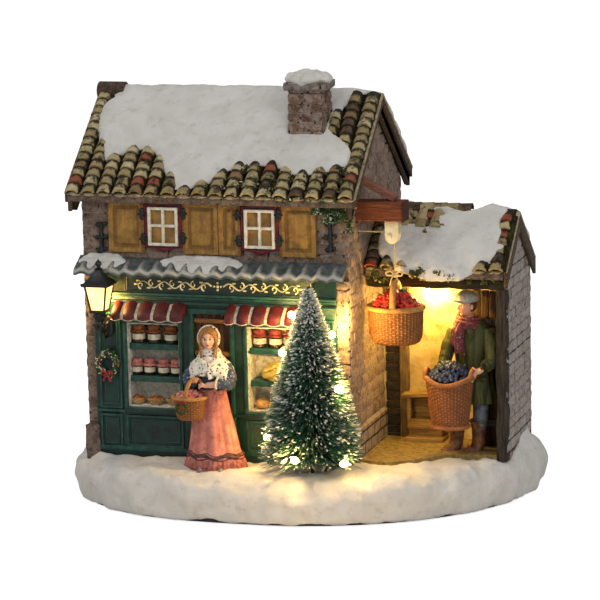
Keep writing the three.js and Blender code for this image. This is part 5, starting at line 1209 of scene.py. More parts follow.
def walls():
    blocks, pale = "stone_blocks", "gable_blocks"
    under = lambda y: roof_top(MAIN_ROOF, y) - 4.4
    shed_under = lambda y: roof_top(SHED_ROOF, y) - 3.8
    upper_gaps = [(28.4, 45.6, 107.2, 132.2), (71.2, 88.4, 107.2, 132.2)]
    lay_stones("front_stones", "front", (0, HOUSE_X1), (98.6, 134.0), blocks, gaps=upper_gaps,
               seed=3)
    lay_stones("left_pier_stones", "front", (0, 5.0), (18, 98.4), blocks, length=(5, 6), seed=4)
    lay_stones("right_pier_stones", "pier", (HOUSE_X1 - 5.1, HOUSE_X1), (20, 98.4), pale,
               row=6.2, length=(5.1, 6), seed=5)
    lay_stones("right_gable_stones", "right", (-0.4, 83.2), (34.3, 172), pale, roof_at=under,
               gaps=[(9.3, 18.7, 122.6, 130.6), (12.8, 15.2, 116.3, 118.7)], seed=6)
    lay_stones("left_gable_stones", "left", (0, 83.2), (20, 172), pale, roof_at=under, seed=7)
    lay_stones("back_stones", "back", (0, HOUSE_X1), (22, 134.0), pale, seed=8)
    lay_stones("shed_right_stones", "shed_right", (24, 72), (22, 121), "shed_blocks",
               roof_at=shed_under, row=4.6, length=(7, 12), proud=0.35, seed=9)
    lay_stones("shed_back_stones", "shed_back", (119, 178.6), (22, 99.5), pale, seed=10)


def chimney_stones():
    """The stack's blocks, all round it, and its capping slab."""
    chance = random.Random(12)
    templates = [stone_template(120 + i) for i in range(3)]
    cx, cy, w, d = 94.7, 25.0, 15.0, 14.0
    places, tones, kinds = [], [], []
    z, course = 150.0, 0
    while z < 175.8:
        rise = 4.1
        for turn, half, run in ((0, d / 2, w), (90, w / 2, d), (180, d / 2, w), (-90, w / 2, d)):
            first = 0.36 if course % 2 else 0.6
            for a, b in ((0, first), (first, 1)):
                u = (a + b) / 2 * run - run / 2
                size = ((b - a) * run - 0.7, 1.6, rise - 0.7)
                side = math.radians(turn)
                out = half + 0.4 - 0.8 + chance.uniform(-0.1, 0.12)
                x = cx + u * math.cos(side) + out * math.sin(side)
                y = cy + u * math.sin(side) - out * math.cos(side)
                places.append(placed(x, y, z + rise / 2, (0, 0, turn), size))
                tones.append(chance.random())
                kinds.append(chance.randrange(3))
        z += rise
        course += 1
    parts = []
    for k in range(3):
        chosen = [i for i, kind in enumerate(kinds) if kind == k]
        parts.append(spread("stones", templates[k], [places[i] for i in chosen],
                            [tones[i] for i in chosen]))
    kept(joined("chimney_stones", parts), "chimney_blocks", 34)
    cap = block("chimney_cap", (cx - 9.0, cx + 9.0), (cy - 8.5, cy + 8.5), (175.9, 179.3), 0.5)
    kept(weathered(cap, 2, (0.5, 2.6)), "cap_stone", 50)


# Bottle-brush tree and its string of lamps
TREE_X, TREE_Y, TREE_Z0, TREE_Z1 = 104.8, -15.5, 27.5, 98.0
TREE_STEM_R = 20.6
STRING_STOPS = [
    (120, 90.5), (190, 86), (280, 82), (398, 76.8), (460, 74), (550, 70), (625, 63.4),
    (700, 56.5), (805, 45), (860, 39.4), (912, 34), (985, 28.4), (1050, 25.8), (1120, 24.4),
]
LAMP_STOPS = (1, 3, 5, 7, 10, 11, 12)


def tree_radius(z):
    t = min(max((z - TREE_Z0) / (TREE_Z1 - TREE_Z0), 0.0), 1.0)
    return TREE_STEM_R * (1 - t ** 1.35) + 1.4


def on_tree(angle, z, share=0.74):
    a = math.radians(angle)
    r = tree_radius(z) * share
    return (TREE_X + r * math.cos(a), min(TREE_Y + r * math.sin(a), -8.4), z)


def bristles():
    """Thousands of fine tapered strands out of the stem, dark inside and frosted at the tip."""
    chance = random.Random(21)
    points, faces, frost = [], [], []
    turns = 0.0
    rows = 470
    for row in range(rows):
        share = row / rows
        z = TREE_Z0 - 0.5 + (TREE_Z1 - TREE_Z0) * share ** 0.93
        count = 22 if share < 0.8 else 15
        turns += 2.399
        for k in range(count):
            a = turns + 2 * math.pi * k / count + chance.uniform(-0.12, 0.12)
            reach = tree_radius(z) * chance.uniform(0.80, 1.04)
            tip_y = TREE_Y + reach * math.sin(a)
            if tip_y > -5.2:
                reach *= max(0.35, (-5.2 - TREE_Y) / (tip_y - TREE_Y))
            droop = chance.uniform(-0.10, 0.16) * reach - 0.10 * reach
            way = Vector((math.cos(a), math.sin(a), 0))
            across = Vector((-math.sin(a), math.cos(a), 0))
            start = Vector((TREE_X, TREE_Y, z)) + way * 0.5
            middle = start + way * reach * 0.55 + Vector((0, 0, droop * 0.3))
            tip = start + way * (reach - 0.5) + Vector((0, 0,
                                                        droop)) + across * chance.uniform(-0.5, 0.5)
            wide = 0.17
            base = len(points)
            for p, w in ((start, wide), (middle, wide * 0.95), (tip, wide * 0.7)):
                points.append(tuple(p + across * w))
                points.append(tuple(p - across * w))
                points.append(tuple(p + Vector((0, 0, w * 1.5))))
            for s in (0, 3):
                for i in range(3):
                    j = (i + 1) % 3
                    faces.append((base + s + i, base + s + j, base + s + 3 + j, base + s + 3 + i))
            faces.append((base + 6, base + 7, base + 8))
            frost += [0.0] * 3 + [0.35] * 3 + [chance.uniform(0.75, 1.0)] * 3
    tree = of_points("tree_bristles", points, faces)
    mark_points(tree.data, "frost", frost)
    kept(tree, "bristle", 0, ("tree",))


def flocking():
    """Clumps of white flock caught on the strands' ends, thickest on the outside and the top."""
    chance = random.Random(22)
    clump = fresh("ico_sphere", subdivisions=1, radius=0.001, location=(0, 0, 0))
    for vertex in clump.data.vertices:
        vertex.co *= chance.uniform(0.7, 1.2)
    clump = template_of(clump)
    places = []
    for _ in range(1500):
        share = chance.random() ** 0.8
        z = TREE_Z0 + (TREE_Z1 - TREE_Z0) * share
        a = chance.uniform(0, 2 * math.pi)
        reach = tree_radius(z) * chance.uniform(0.86, 1.0)
        x, y = TREE_X + reach * math.cos(a), TREE_Y + reach * math.sin(a)
        y = min(y, -5.6)
        size = chance.uniform(0.26, 0.62)
        for _ in range(3):
            chance.random()            # three draws that no clump uses
        stretch = (size * chance.uniform(1.4, 3.0), size * 0.9, size * 0.8)
        places.append(placed(x, y, z - 0.08 * reach, (0, chance.uniform(-15, 15), math.degrees(a)),
                             stretch))
    kept(spread("tree_flock", clump, places), "flock", 60)


def tree_stem():
    stem = []
    for k in range(2):
        line = []
        for i in range(150):
            z = 18.6 + (TREE_Z1 + 0.5 - 18.6) * i / 149
            a = z * 1.9 + math.pi * k
            line.append((TREE_X + 0.48 * math.cos(a), TREE_Y + 0.48 * math.sin(a), z))
        stem.append(along("stem", line, 0.52, 6))
    kept(joined("tree_stem", stem), "wire", 60)


def light_string():
    """The lamp wire, as two twisted leads, and a capped lamp at each of the lamp stops."""
    stops = [on_tree(a, z) for a, z in STRING_STOPS]
    stops += [(TREE_X + 6, TREE_Y + 5.6, 22.4), (TREE_X + 4, TREE_Y + 3.6, 18.6)]
    line = smoothed(stops, 26)
    leads = []
    for k in range(2):
        lead = []
        for i, p in enumerate(line):
            way = (line[min(i + 1, len(line) - 1)] - line[max(i - 1, 0)]).normalized()
            side = way.cross(Vector((0, 0, 1))).normalized()
            up = side.cross(way)
            a = i * 0.55 + math.pi * k
            lead.append(tuple(p + side * (0.27 * math.cos(a)) + up * (0.27 * math.sin(a))))
        leads.append(along("lead", lead, 0.25, 5))
    kept(joined("lamp_wire", leads), "wire", 60, ("light_string",))
    sockets, bulbs = [], []
    for stop in LAMP_STOPS:
        angle, z = STRING_STOPS[stop]
        start = Vector(on_tree(angle, z))
        a = math.radians(angle)
        way = Vector((math.cos(a), math.sin(a) * 0.7, 0.25)).normalized()
        if start.y + way.y * 4.4 > -6:
            way.y = 0
        at = lambda t: tuple(start + way * t)
        sockets.append(rod("socket", at(-0.8), at(1.5), 0.95, 1.15, 12, 0.2))
        bulbs.append(along("bulb", [at(t) for t in (1.2, 1.6, 2.3, 3.2, 3.9, 4.3, 4.5)],
                           lambda s: (1.2, 1.45, 1.55, 1.55, 1.4, 1.0, 0.35)[round(s * 6)], 12))
        LAMP_PLACES.append(at(5.6))
    kept(joined("lamp_sockets", sockets), "wire")
    kept(joined("lamp_bulbs", bulbs), "bulb", 60)


LAMP_PLACES = []


# Front of the house
FRONT_Y = -3.0


def turned(name, x, y, profile, sides):
    """A shape turned round an upright axis, from its (z, radius) pairs in mm."""
    z0, r0 = profile[0]
    piece = fresh("circle", vertices=sides, radius=r0 / 1000, fill_type="NGON",
                  location=mm(x, y, z0))
    with edited(piece):
        for z, r in profile[1:]:
            bpy.ops.mesh.extrude_region_move(
                TRANSFORM_OT_translate={"value": (0, 0, (z - z0) / 1000)})
            bpy.ops.transform.resize(value=(r / r0, r / r0, 1.0), center_override=mm(x, y, z))
            z0, r0 = z, r
        bpy.ops.mesh.select_all(action="SELECT")
        bpy.ops.mesh.normals_make_consistent(inside=False)
    piece.name = name
    return piece


def panelled(name, x, y, z, steps, ease=0.2):
    """A board whose front face steps in and out: (inset, rise) in mm for each step."""
    piece = block(name, x, y, z, 0)
    with edited(piece):
        select_faces(piece, -1)
        for inset, rise in steps:
            bpy.ops.mesh.inset(thickness=inset / 1000, depth=rise / 1000)
    return eased(piece, ease)


def frame_of(name, outer, inner, y, ease=0.25):
    """A flat frame between two outlines with the same number of (x, z) points."""
    n = len(outer)
    points = [(px, yy, pz) for yy in y for loop in (outer, inner) for px, pz in loop]
    faces = []
    for i in range(n):
        j = (i + 1) % n
        faces += [(i, j, n + j, n + i), (3 * n + i, 3 * n + j, 2 * n + j, 2 * n + i),
                  (2 * n + i, 2 * n + j, j, i), (n + i, n + j, 3 * n + j, 3 * n + i)]
    piece = outward(of_points(name, points, faces))
    return eased(piece, ease, 2) if ease else piece


def bead_frame(x, z, y, wide=0.9, out=0.6, ease=0.22):
    """A rectangular moulding round a panel."""
    outer = [(x[0], z[0]), (x[1], z[0]), (x[1], z[1]), (x[0], z[1])]
    inner = [(x[0] + wide, z[0] + wide), (x[1] - wide, z[0] + wide), (x[1] - wide, z[1] - wide),
             (x[0] + wide, z[1] - wide)]
    return frame_of("bead", outer, inner, (y - out, y + 0.4), ease)


# Twenty-four angles round a loop
AROUND = [0.2618 * k for k in range(24)]


def rope(name, line, strand, spread_by, turns, plies=3, flat=1.0, sides=6, closed=False,
         across=None):
    """Strands wound round each other along a line; across is the way of a flat rope's width."""
    line = [Vector(p) for p in line]
    count = len(line)
    side = Vector(across) if across else None
    frames = []
    for i, p in enumerate(line):
        if closed:
            way = (line[(i + 1) % count] - line[i - 1]).normalized()
            side = way.cross(Vector((0, 0, 1)))
        else:
            way = (line[min(i + 1, count - 1)] - line[max(i - 1, 0)]).normalized()
        side = side or way.orthogonal()
        side = (side - way * side.dot(way)).normalized()
        frames.append((p, side, way.cross(side)))
    strands = []
    for k in range(plies):
        path = []
        for i, (p, out, up) in enumerate(frames):
            a = 2 * math.pi * (turns * i / (count if closed else count - 1) + k / plies)
            path.append(p + out * (spread_by * math.cos(a)) + up * (spread_by * flat * math.sin(a)))
        if closed:
            path.append(path[0])
        strands.append(along("strand", path, strand, sides))
    return joined(name, strands)


def shop_front():
    front = squared("shop_front_casting", "shopfront", ease=0.3)
    kept(front, "shop_green", 0, ("shopfront",))
    beads = []
    for x, z in (((6.8, 16.9), (40.4, 82.2)), ((6.6, 16.6), (22.8, 38.0)),
                 ((18.4, 44.2), (24.0, 37.8)), ((72.3, 98.1), (24.0, 37.8)),
                 ((99.6, 111.9), (40.4, 82.2)), ((99.6, 111.9), (22.8, 38.0))):
        beads.append(bead_frame(x, z, FRONT_Y))
        inner = ((x[0] + 1.9, x[1] - 1.9), (z[0] + 1.9, z[1] - 1.9))
        beads.append(bead_frame(*inner, FRONT_Y + 0.7, 0.5, 0.35, 0.15))
    for x in ((18.0, 44.6), (71.9, 98.7)):
        beads.append(bead_frame(x, (40.0, 79.7), FRONT_Y, 1.5, 1.0, 0.4))
    for z, out, high in ((89.2, 1.1, 0.9), (90.4, 1.9, 1.1), (86.9, 0.9, 0.7), (39.0, 1.1, 1.2),
                         (22.2, 0.8, 2.0)):
        for x in ((5.0, 48.2), (66.9, 113.0)) if z < 80 else ((5.0, 113.0),):
            beads.append(block("rail", x, (FRONT_Y - out, FRONT_Y + 0.4), (z, z + high), 0.3))
    for x in ((47.6, 49.6), (65.8, 67.8)):
        beads.append(block("jamb", x, (FRONT_Y - 0.6, 0.0), (19.5, 84.0), 0.35))
    beads.append(block("door_head", (47.2, 68.2), (FRONT_Y - 1.0, 0.0), (83.0, 85.2), 0.4))
    kept(joined("shop_front_mouldings", beads), "green_trim")
    foot = block("pier_foot", (-0.5, 5.9), (-4.0, 0.6), (17.5, 32.8), 0.5)
    kept(weathered(foot, 3, (0.8, 3.0), (0.35, 1.1)), "stone_blocks", 60)


def door():
    planks = []
    chance = random.Random(5)
    width = 16.6 / 5
    for i in range(5):
        x = 49.4 + width * i
        y = -1.75 + chance.uniform(-0.16, 0.1)
        planks.append(block("plank", (x + 0.08, x + width - 0.08), (y, 0.0), (18.6, 83.1), 0.28))
    kept(weathered(joined("door_planks", planks), 1), "door_wood",
         stands_for=("shop_door",))
    bars = [block("bar", (49.9, 65.6), (-2.9, -1.2), z, 0.3)
            for z in ((64.9, 66.9), (33.2, 35.2), (79.0, 80.8))]
    kept(joined("door_bars", bars), "bar_wood")
    handle = [rod("knob", (63.9, -2.0, 52.0), (63.9, -3.6, 52.0), 0.5, 0.9, 12, 0.1),
              rod("plate", (63.9, -1.6, 52.0), (63.9, -2.1, 52.0), 1.3, 1.2, 14, 0.1)]
    kept(joined("door_knob", handle), "brass")


def sign():
    board = panelled("sign_panel", (19.4, 103.2), (-4.1, -2.9), (91.4, 98.8),
                     ((0.8, 0), (0.25, -0.5)), 0.2)
    kept(board, "sign_green", stands_for=("sign_board",))
    lines, leaves = [], []
    y = -3.75
    middle, line_z = 61.2, 95.1
    for side in (-1, 1):
        vine = [(middle + side * (2.6 + 33.0 * t), y, line_z + 1.35 * math.sin(t * 22.0))
                for t in (i / 70 for i in range(71))]
        lines.append(along("vine", vine, lambda s: 0.46 * (1 - 0.45 * s), 8, 0.5))
        for k in range(7):
            t = (k + 0.5) / 7
            x = middle + side * (2.6 + 33.0 * t)
            up = 1 if k % 2 else -1
            z = line_z + up * 0.5
            curl = []
            for i in range(15):
                a = math.radians(-90 + i * 26)
                r = 1.45 * (1 - i / 17)
                curl.append((x + side * (r * math.cos(a) + 1.0), y,
                             z - up * r * math.sin(a) * 1.05))
            lines.append(along("curl", curl, lambda s: 0.42 * (1 - 0.45 * s), 8, 0.5))
            leaves.append(ball("leaf", (x + side * 2.3, y, line_z - up * 1.5), 0.62, 6, 10,
                               (1.5, 0.35, 0.6)))
        leaves.append(ball("bud", (middle + side * 36.6, y, line_z), 0.6, 6, 10, (1.6, 0.4, 0.8)))
    for dx, dz, r in ((0, 0, 0.75), (0, 1.5, 0.5), (0, -1.5, 0.5), (1.5, 0, 0.5), (-1.5, 0, 0.5)):
        leaves.append(ball("petal", (middle + dx, y, line_z + dz), r, 6, 10, (1.0, 0.4, 1.0)))
    corners = [(20.4, 92.1), (102.2, 92.1), (102.2, 98.1), (20.4, 98.1)]
    for (xa, za), (xb, zb) in zip(corners, corners[1:] + corners[:1]):
        lines.append(rod("line", (xa, y, za), (xb, y, zb), 0.16, None, 6))
    kept(joined("sign_flourish", lines + leaves), "sign_cream", 60)


def ledge():
    """Corrugated slate: waves that deepen to a worn, scalloped front edge."""
    xs = [-1.6 + 0.41 * i for i in range(291)]
    rows = 11
    top, low, worn = [], [], []
    chance = random.Random(8)
    jitter = [chance.uniform(-0.25, 0.25) for _ in range(24)]
    for x in xs:
        phase = (x + 0.8) / 6.55
        part = phase % 1
        wave = math.sin(math.pi * (part / 0.42 if part < 0.42 else 1 - (
                part - 0.42) / 0.58) / 2) ** 1.5
        reach = 9.4 + 0.5 * wave + jitter[int(phase) % 24]
        for j in range(rows):
            t = j / (rows - 1)
            z = 106.3 - 5.3 * t + wave * 1.35 * min(1.0, t * 1.6) + 0.15 * math.sin(x * 1.7 + 3 * t)
            drop = 0.5 * max(0.0, t - 0.86) / 0.14
            top.append((x, 0.3 - reach * t, z - drop))
            # Pale share of each point: the front edge, and a painted highlight along each wave's
            # crest
            worn.append(max(t ** 6, 0.75 * wave ** 2 * t ** 0.5))
        for j in range(rows):
            t = j / (rows - 1)
            low.append((x, 0.3 - reach * t, 106.3 - 5.3 * t + wave * 0.95 * t - 1.7 - 0.4 * t))
    n = len(xs)
    points = top + low
    base = len(top)
    faces = []
    for i in range(n - 1):
        for j in range(rows - 1):
            a, b = i * rows + j, (i + 1) * rows + j
            faces.append((a, b, b + 1, a + 1))
            faces.append((base + a + 1, base + b + 1, base + b, base + a))
        a, b = i * rows + rows - 1, (i + 1) * rows + rows - 1
        faces.append((a, b, base + b, base + a))
        faces.append((base + i * rows, base + (i + 1) * rows, (i + 1) * rows, i * rows))
    for i, turn in ((0, 1), (n - 1, -1)):
        for j in range(rows - 1):
            quad = (i * rows + j, i * rows + j + 1, base + i * rows + j + 1, base + i * rows + j)
            faces.append(quad[::turn])
    slab = outward(of_points("ledge_waves", points, faces))
    where = {tuple(round(c, 2) for c in p): w for p, w in zip(top, worn)}
    mark_points(slab.data, "worn", [where.get(tuple(round(c, 2) for c in in_mm(vertex.co)), 0.0)
                                    for vertex in slab.data.vertices])
    kept(slab, "ledge_slate", 60, ("slate_ledge",))
    drifts = []
    for x0, x1, swell, seed in ((-1.0, 20.4, 0.8, 1), (35.6, 72.6, 0.85, 2)):
        middle = Vector(((x0 + x1) / 2, -3.6, 103.6))
        drift = ball("drift", middle, 1.0, 16, 34)
        half = (x1 - x0) / 2
        for vertex in drift.data.vertices:
            at = in_mm(vertex.co) - middle
            bulge = 1 - 0.45 * abs(at.x) ** 3
            at.x = math.copysign(abs(at.x) ** 0.75, at.x) * half
            reach = 4.6 * bulge * (1 + 0.16 * math.sin(at.x * 1.1 + seed)
                                   + 0.08 * math.sin(at.x * 2.7))
            at.y = min(at.y * reach, 3.5)
            at.z = at.z * 1.55 * swell + 0.62 * at.y + 1.0
            vertex.co = mm(*(at + middle))
        applied(drift, "SUBSURF", levels=1, render_levels=1)
        drifts.append(roughen(drift, ((0.55, 2.6), (0.25, 1.0)), (seed * 9.0, 0, 0)))
    kept(joined("ledge_drift", drifts), "snow", 80, ("ledge_snow",))


def awnings():
    """Five swelling maroon laps between narrow sunk cream stripes, with scalloped ends."""
    path = [(-2.9, 87.3), (-4.4, 86.4), (-6.2, 85.0), (-7.7, 83.8), (-8.5, 82.9), (-8.8, 82.2),
            (-8.85, 81.4), (-8.85, 80.6)]
    ways = [(-0.45, 0.9), (-0.5, 0.87), (-0.6, 0.8), (-0.75, 0.66), (-0.93, 0.36), (-1, 0), (-1, 0),
            (-1, 0)]

    def strip(x0, x1, lift, bulge, thick, scallop):
        rings = []
        count = 9
        for s, ((y, z), (ny, nz)) in enumerate(zip(path, ways)):
            outer, inner = [], []
            for i in range(count):
                u = i / (count - 1)
                swell = bulge * math.sin(math.pi * u) ** 0.6
                end = scallop * math.sin(math.pi * u) if s == len(path) - 1 else 0.0
                x = x0 + (x1 - x0) * u
                outer.append((x, y + ny * (lift + swell), z + nz * (lift + swell) - end))
                inner.append((x, y - ny * thick + ny * lift, z - nz * thick + nz * lift - end))
            rings.append(outer + inner[::-1])
        return outward(skinned("strip", rings))

    for name, shift in (("left", 0.0), ("right", 50.6)):
        stops = [14.8, 19.5, 25.9, 33.0, 40.4, 46.8]
        laps, stripes, hems = [], [], []
        for k in range(5):
            x0 = stops[k] + (0.75 if k else 0) + shift
            x1 = stops[k + 1] - (0.75 if k < 4 else 0) + shift
            laps.append(strip(x0, x1, 0.15, 0.75, 0.9, 0.55))
            if k < 4:
                stripes.append(strip(stops[k + 1] - 0.95 + shift, stops[k + 1] + 0.95 + shift,
                                     -0.25, 0.15, 0.5, 0.35))
            hem = [(x0 + (x1 - x0) * i / 8, -9.15 - 0.75 * math.sin(math.pi * i / 8) ** 0.6 * 0.9,
                    80.62 - 0.55 * math.sin(math.pi * i / 8)) for i in range(9)]
            hems.append(along("hem", hem, 0.2, 6))
        for x in (15.2 + shift, 46.4 + shift):
            cheek = of_points("cheek", [(x + d, y, z) for d in (-0.35, 0.35) for y, z in (
                (-2.9, 86.6), (-8.6, 82.4), (-8.6, 81.0), (-2.9, 83.4))], BOX_FACES)
            laps.append(outward(cheek))
        kept(joined(f"awning_{name}_laps", laps), "awning", 50, (f"awning_{name}",))
        kept(joined(f"awning_{name}_stripes", stripes + hems), "awning_cream", 50)


def upper_windows():
    """Red surrounds with a bowed sill and head, cream sashes and ochre panes."""
    surrounds, sashes, panes = [], [], []
    for x0 in (28.4, 71.2):
        mid = x0 + 8.6
        outer, inner = [], []
        n = 12
        for i in range(n + 1):
            u = i / n
            dip = 2.2 * max(0.0, 1 - abs(u - 0.5) / 0.5) ** 1.8
            outer.append((x0 + 17.2 * u, 110.6 - dip))
            inner.append((x0 + 2.3 + 12.6 * u, 111.4 - 0.2 * dip))
        for i in range(n + 1):
            u = 1 - i / n
            peak = 2.6 * max(0.0, 1 - abs(u - 0.5) / 0.5) ** 1.8
            outer.append((x0 + 17.2 * u, 129.9 + peak))
            inner.append((x0 + 2.3 + 12.6 * u, 127.9 + 0.25 * peak))
        surrounds.append(frame_of("surround", outer, inner, (-1.9, 0.2), 0.45))
        ridge = [(x, -1.95, z) for x, z in [((a + 2 * c) / 3, (b + 2 * d) / 3)
                                            for (a, b), (c, d) in zip(inner, outer)]]
        surrounds.append(along("ridge", ridge + ridge[:1], 0.32, 6))
        sash = bead_frame((x0 + 1.9, x0 + 15.3), (111.5, 128.1), -1.3, 1.25, 1.6, 0.35)
        bars = [block("bar", (mid - 0.6, mid + 0.6), (-2.6, -0.9), (112.4, 127.2), 0.3),
                block("bar", (x0 + 2.8, x0 + 14.4), (-2.5, -0.9), (119.5, 120.7), 0.3)]
        sashes += [sash] + bars
        panes.append(block("pane", (x0 + 2.6, x0 + 14.6), (-1.2, 0.4), (112.2, 127.4), 0.1))
    kept(joined("window_surrounds", surrounds), "window_red", 46,
         ("window_left", "window_right"))
    kept(joined("window_sashes", sashes), "sash")
    kept(joined("window_panes", panes), "pane")


def shutters():
    leaves = {"shutter_left": [(12.2, 28.2)], "shutter_pair": [(45.8, 61.4), (61.4, 71.0)],
              "shutter_right": [(88.6, 104.4)]}
    for name, spans in leaves.items():
        boards = []
        for x0, x1 in spans:
            boards.append(panelled("leaf", (x0 + 0.1, x1 - 0.1), (-1.9, 0.2), (108.3, 130.4),
                                   ((1.9, 0), (0.35, -0.8), (0.95, 0), (0.8, 0.75)), 0.2))
        kept(weathered(joined(name + "_boards", boards), 1), "shutter_wood",
             stands_for=(name,))
    edges = [block("edge", x, (-2.1, 0.0), (108.6, 130.2), 0.2)
             for x in ((27.0, 28.5), (45.6, 46.5), (70.3, 71.3), (88.4, 89.3))]
    kept(joined("shutter_edges", edges), "bar_wood")
    irons = []
    for x, z in ((27.8, 125.0), (28.2, 114.3), (46.1, 125.5), (45.9, 115.1), (70.3, 125.5),
                 (70.6, 114.6), (88.2, 126.0), (88.4, 115.1)):
        irons.append(rod("pin", (x, -2.6, z - 1.2), (x, -2.6, z + 1.2), 0.48, None, 10, 0.12))
        for dz in (-1.35, 1.35):
            irons.append(ball("lobe", (x, -2.3, z + dz), 1.2, 10, 14, (1.0, 0.6, 1.0)))
        irons.append(rod("strap", (x - 1.9, -2.3, z), (x + 1.9, -2.3, z), 0.55, None, 10, 0.15))
    for cx, z0, z1 in ((8.7, 107.9, 120.8), (110.3, 110.9, 123.5)):
        middle = (z0 + z1) / 2
        irons.append(along("anchor",
                           [(cx, -1.0, z0 + (z1 - z0) * t) for t in (k / 20 for k in range(21))],
                           lambda s: 0.75 + 0.45 * abs(math.cos(2 * math.pi * s)) ** 2, 10, 0.8))
        for z, reach in ((z0 + 1.0, 1.5), (middle, 2.0), (z1 - 1.0, 1.5)):
            for s in (-1, 1):
                irons.append(ball("knob", (cx + s * reach, -0.9, z + s * 0.25), 1.0, 8, 12,
                                  (1, 0.8, 1)))
            irons.append(rod("cross", (cx - reach, -1.0, z), (cx + reach, -1.0, z), 0.55, None, 10))
    kept(joined("hinges_and_anchors", irons), "iron", 50)


def jar_at(parts, x, y, z, r, high):
    """Adds a jar's glass, label and gathered cloth lid to their lists."""
    body, label, lid = parts
    body.append(turned("jar", x, y, [(z, r * 0.82), (z + 0.4, r), (z + high * 0.62, r),
                                     (z + high * 0.7, r * 0.78)], 18))
    label.append(turned("label", x, y,
                        [(z + high * 0.2, r * 1.035), (z + high * 0.5, r * 1.035)], 18))
    rings = []
    for share, k, wave in ((0.60, 1.32, 0.10), (0.66, 1.22, 0.06), (0.72, 0.88, 0.02),
                           (0.76, 0.96, 0.0), (0.93, 0.98, 0.0), (0.99, 0.84, 0.0),
                           (1.0, 0.3, 0.0)):
        rings.append(ring(x, y, z + high * share, r * k, r * k, 24, x,
                          lambda a, w=wave: 1 + w * math.sin(9 * a)))
    lid.append(outward(skinned("lid", rings)))


def displays():
    for name, x0 in (("left", 19.2), ("right", 73.1)):
        x1, left = x0 + 24.4, name == "left"
        walls_in = [block("side", (x0 - 0.3, x0 + 1.0), (-2.2, 8.0), (41, 78.8), 0),
                    block("side", (x1 - 1.0, x1 + 0.3), (-2.2, 8.0), (41, 78.8), 0),
                    block("back", (x0, x1), (6.6, 8.0), (41, 78.6), 0),
                    block("top", (x0, x1), (-2.2, 8.0), (77.4, 78.8), 0),
                    block("floor", (x0, x1), (-2.2, 8.0), (40.8, 42.2), 0)]
        shell = weathered(joined(f"display_{name}_case", walls_in), 4, (0.5, 3.0), (0.2, 1.0))
        kept(shell, "case_cream", 60, (f"display_{name}",))
        shelves = [block("shelf", (x0 - 0.2, x1 + 0.2), (-2.0, 7.6), z, 0.35)
                   for z in ((66.3, 68.9), (52.2, 54.8))]
        kept(joined(f"display_{name}_shelves", shelves), "green_trim")
        body, label, lid, low_lid = [], [], [], []
        for x in (23.3, 30.3, 37.9) if left else (77.6, 84.6, 91.8):
            jar_at((body, label, lid), x, 1.7, 68.8, 2.75, 8.0)
        if left:
            for x in (22.2, 27.9, 34.2, 39.9):
                jar_at((body, label, low_lid), x, 1.7, 54.7, 2.35, 7.2)
        kept(joined(f"display_{name}_jars", body), "jar_dark", 50)
        kept(joined(f"display_{name}_labels", label), "label", 50)
        kept(joined(f"display_{name}_lids", lid), "lid_orange" if left else "lid_red", 60)
        if left:
            kept(joined("display_left_low_lids", low_lid), "lid_pink", 60)
            tarts, fill = [], []
            for x in (22.6, 30.8, 39.2):
                rings = [ring(x, 0.6, z, r, r * 0.9, 30, 0,
                              lambda a, w=w: 1 + w * math.sin(13 * a))
                         for z, r, w in ((42.0, 2.4, 0.02), (43.6, 3.3, 0.06), (44.9, 3.8, 0.09),
                                         (45.0, 3.1, 0.05), (44.2, 2.7, 0.0))]
                tarts.append(outward(skinned("crust", rings)))
                fill.append(ball("filling", (x, 0.6, 44.3), 2.8, 8, 16, (1.0, 0.9, 0.45)))
                fill += [ball("fruit", (x + 1.2 * math.cos(a), 0.6 + 1.1 * math.sin(a), 45.3), 0.75,
                              6, 8) for a in (0.4, 2.5, 4.6)]
            kept(joined("tart_crusts", tarts), "crust", 50)
            kept(joined("tart_fillings", fill), "filling", 60)
        else:
            loaf = ball("cloth_heap", (85.4, 0.9, 58.0), 1.0, 18, 26, (7.4, 3.4, 4.6))
            for vertex in loaf.data.vertices:
                vertex.co.z = max(vertex.co.z, 0.0548)
            roughen(loaf, ((0.9, 3.4), (0.4, 1.3)))
            folds = [along("fold", smoothed([(85.4 + s * a, -2.5 + 0.12 * a, 60.9 - 0.45 * a)
                                             for a in (0, 2, 4.2, 6.4)], 5), 0.28, 6)
                     for s in (-1, 1)]
            folds.append(along("fold", smoothed([(80.0, -1.6, 56.2), (84.0, -2.8, 57.2),
                                                 (87.4, -2.7, 59.2), (90.6, -1.7, 57.0)], 5),
                               0.25, 6))
            kept(joined("display_right_cloth", [loaf] + folds), "cloth_yellow", 60)
            breads = []
            for x, y, r in ((78.4, 1.2, 3.0), (85.0, 0.6, 3.4), (92.0, 1.2, 3.1)):
                bread = ball("bread", (x, y, 44.2), r, 10, 18, (1.1, 0.85, 0.75))
                breads.append(roughen(bread, ((0.3, 1.6),)))
                for d in (-1.1, 0.0, 1.1):
                    breads.append(along("score", [(x + d - 0.5, y - 1.2, 46.2),
                                                  (x + d + 0.4, y + 0.8, 46.4)], 0.22, 6))
            kept(joined("display_right_breads", breads), "crust", 60)


def leaf_template(long=1.0, wide=0.45, bend=0.25):
    """A bent pointed leaf along x, made round zero."""
    leaf = fresh("grid", x_subdivisions=4, y_subdivisions=2, size=0.001, location=(0, 0, 0))
    for vertex in leaf.data.vertices:
        u = vertex.co.x * 1000 + 0.5
        v = vertex.co.y * 2000
        breadth = math.sin(math.pi * min(max(u, 0.04), 0.985) ** 0.8)
        vertex.co = Vector((u * long, v * breadth * wide,
                            bend * long * u * u + 0.12 * abs(v) * wide)) / 1000
    applied(leaf, "SOLIDIFY", thickness=0.00012, offset=0.0)
    return template_of(leaf)


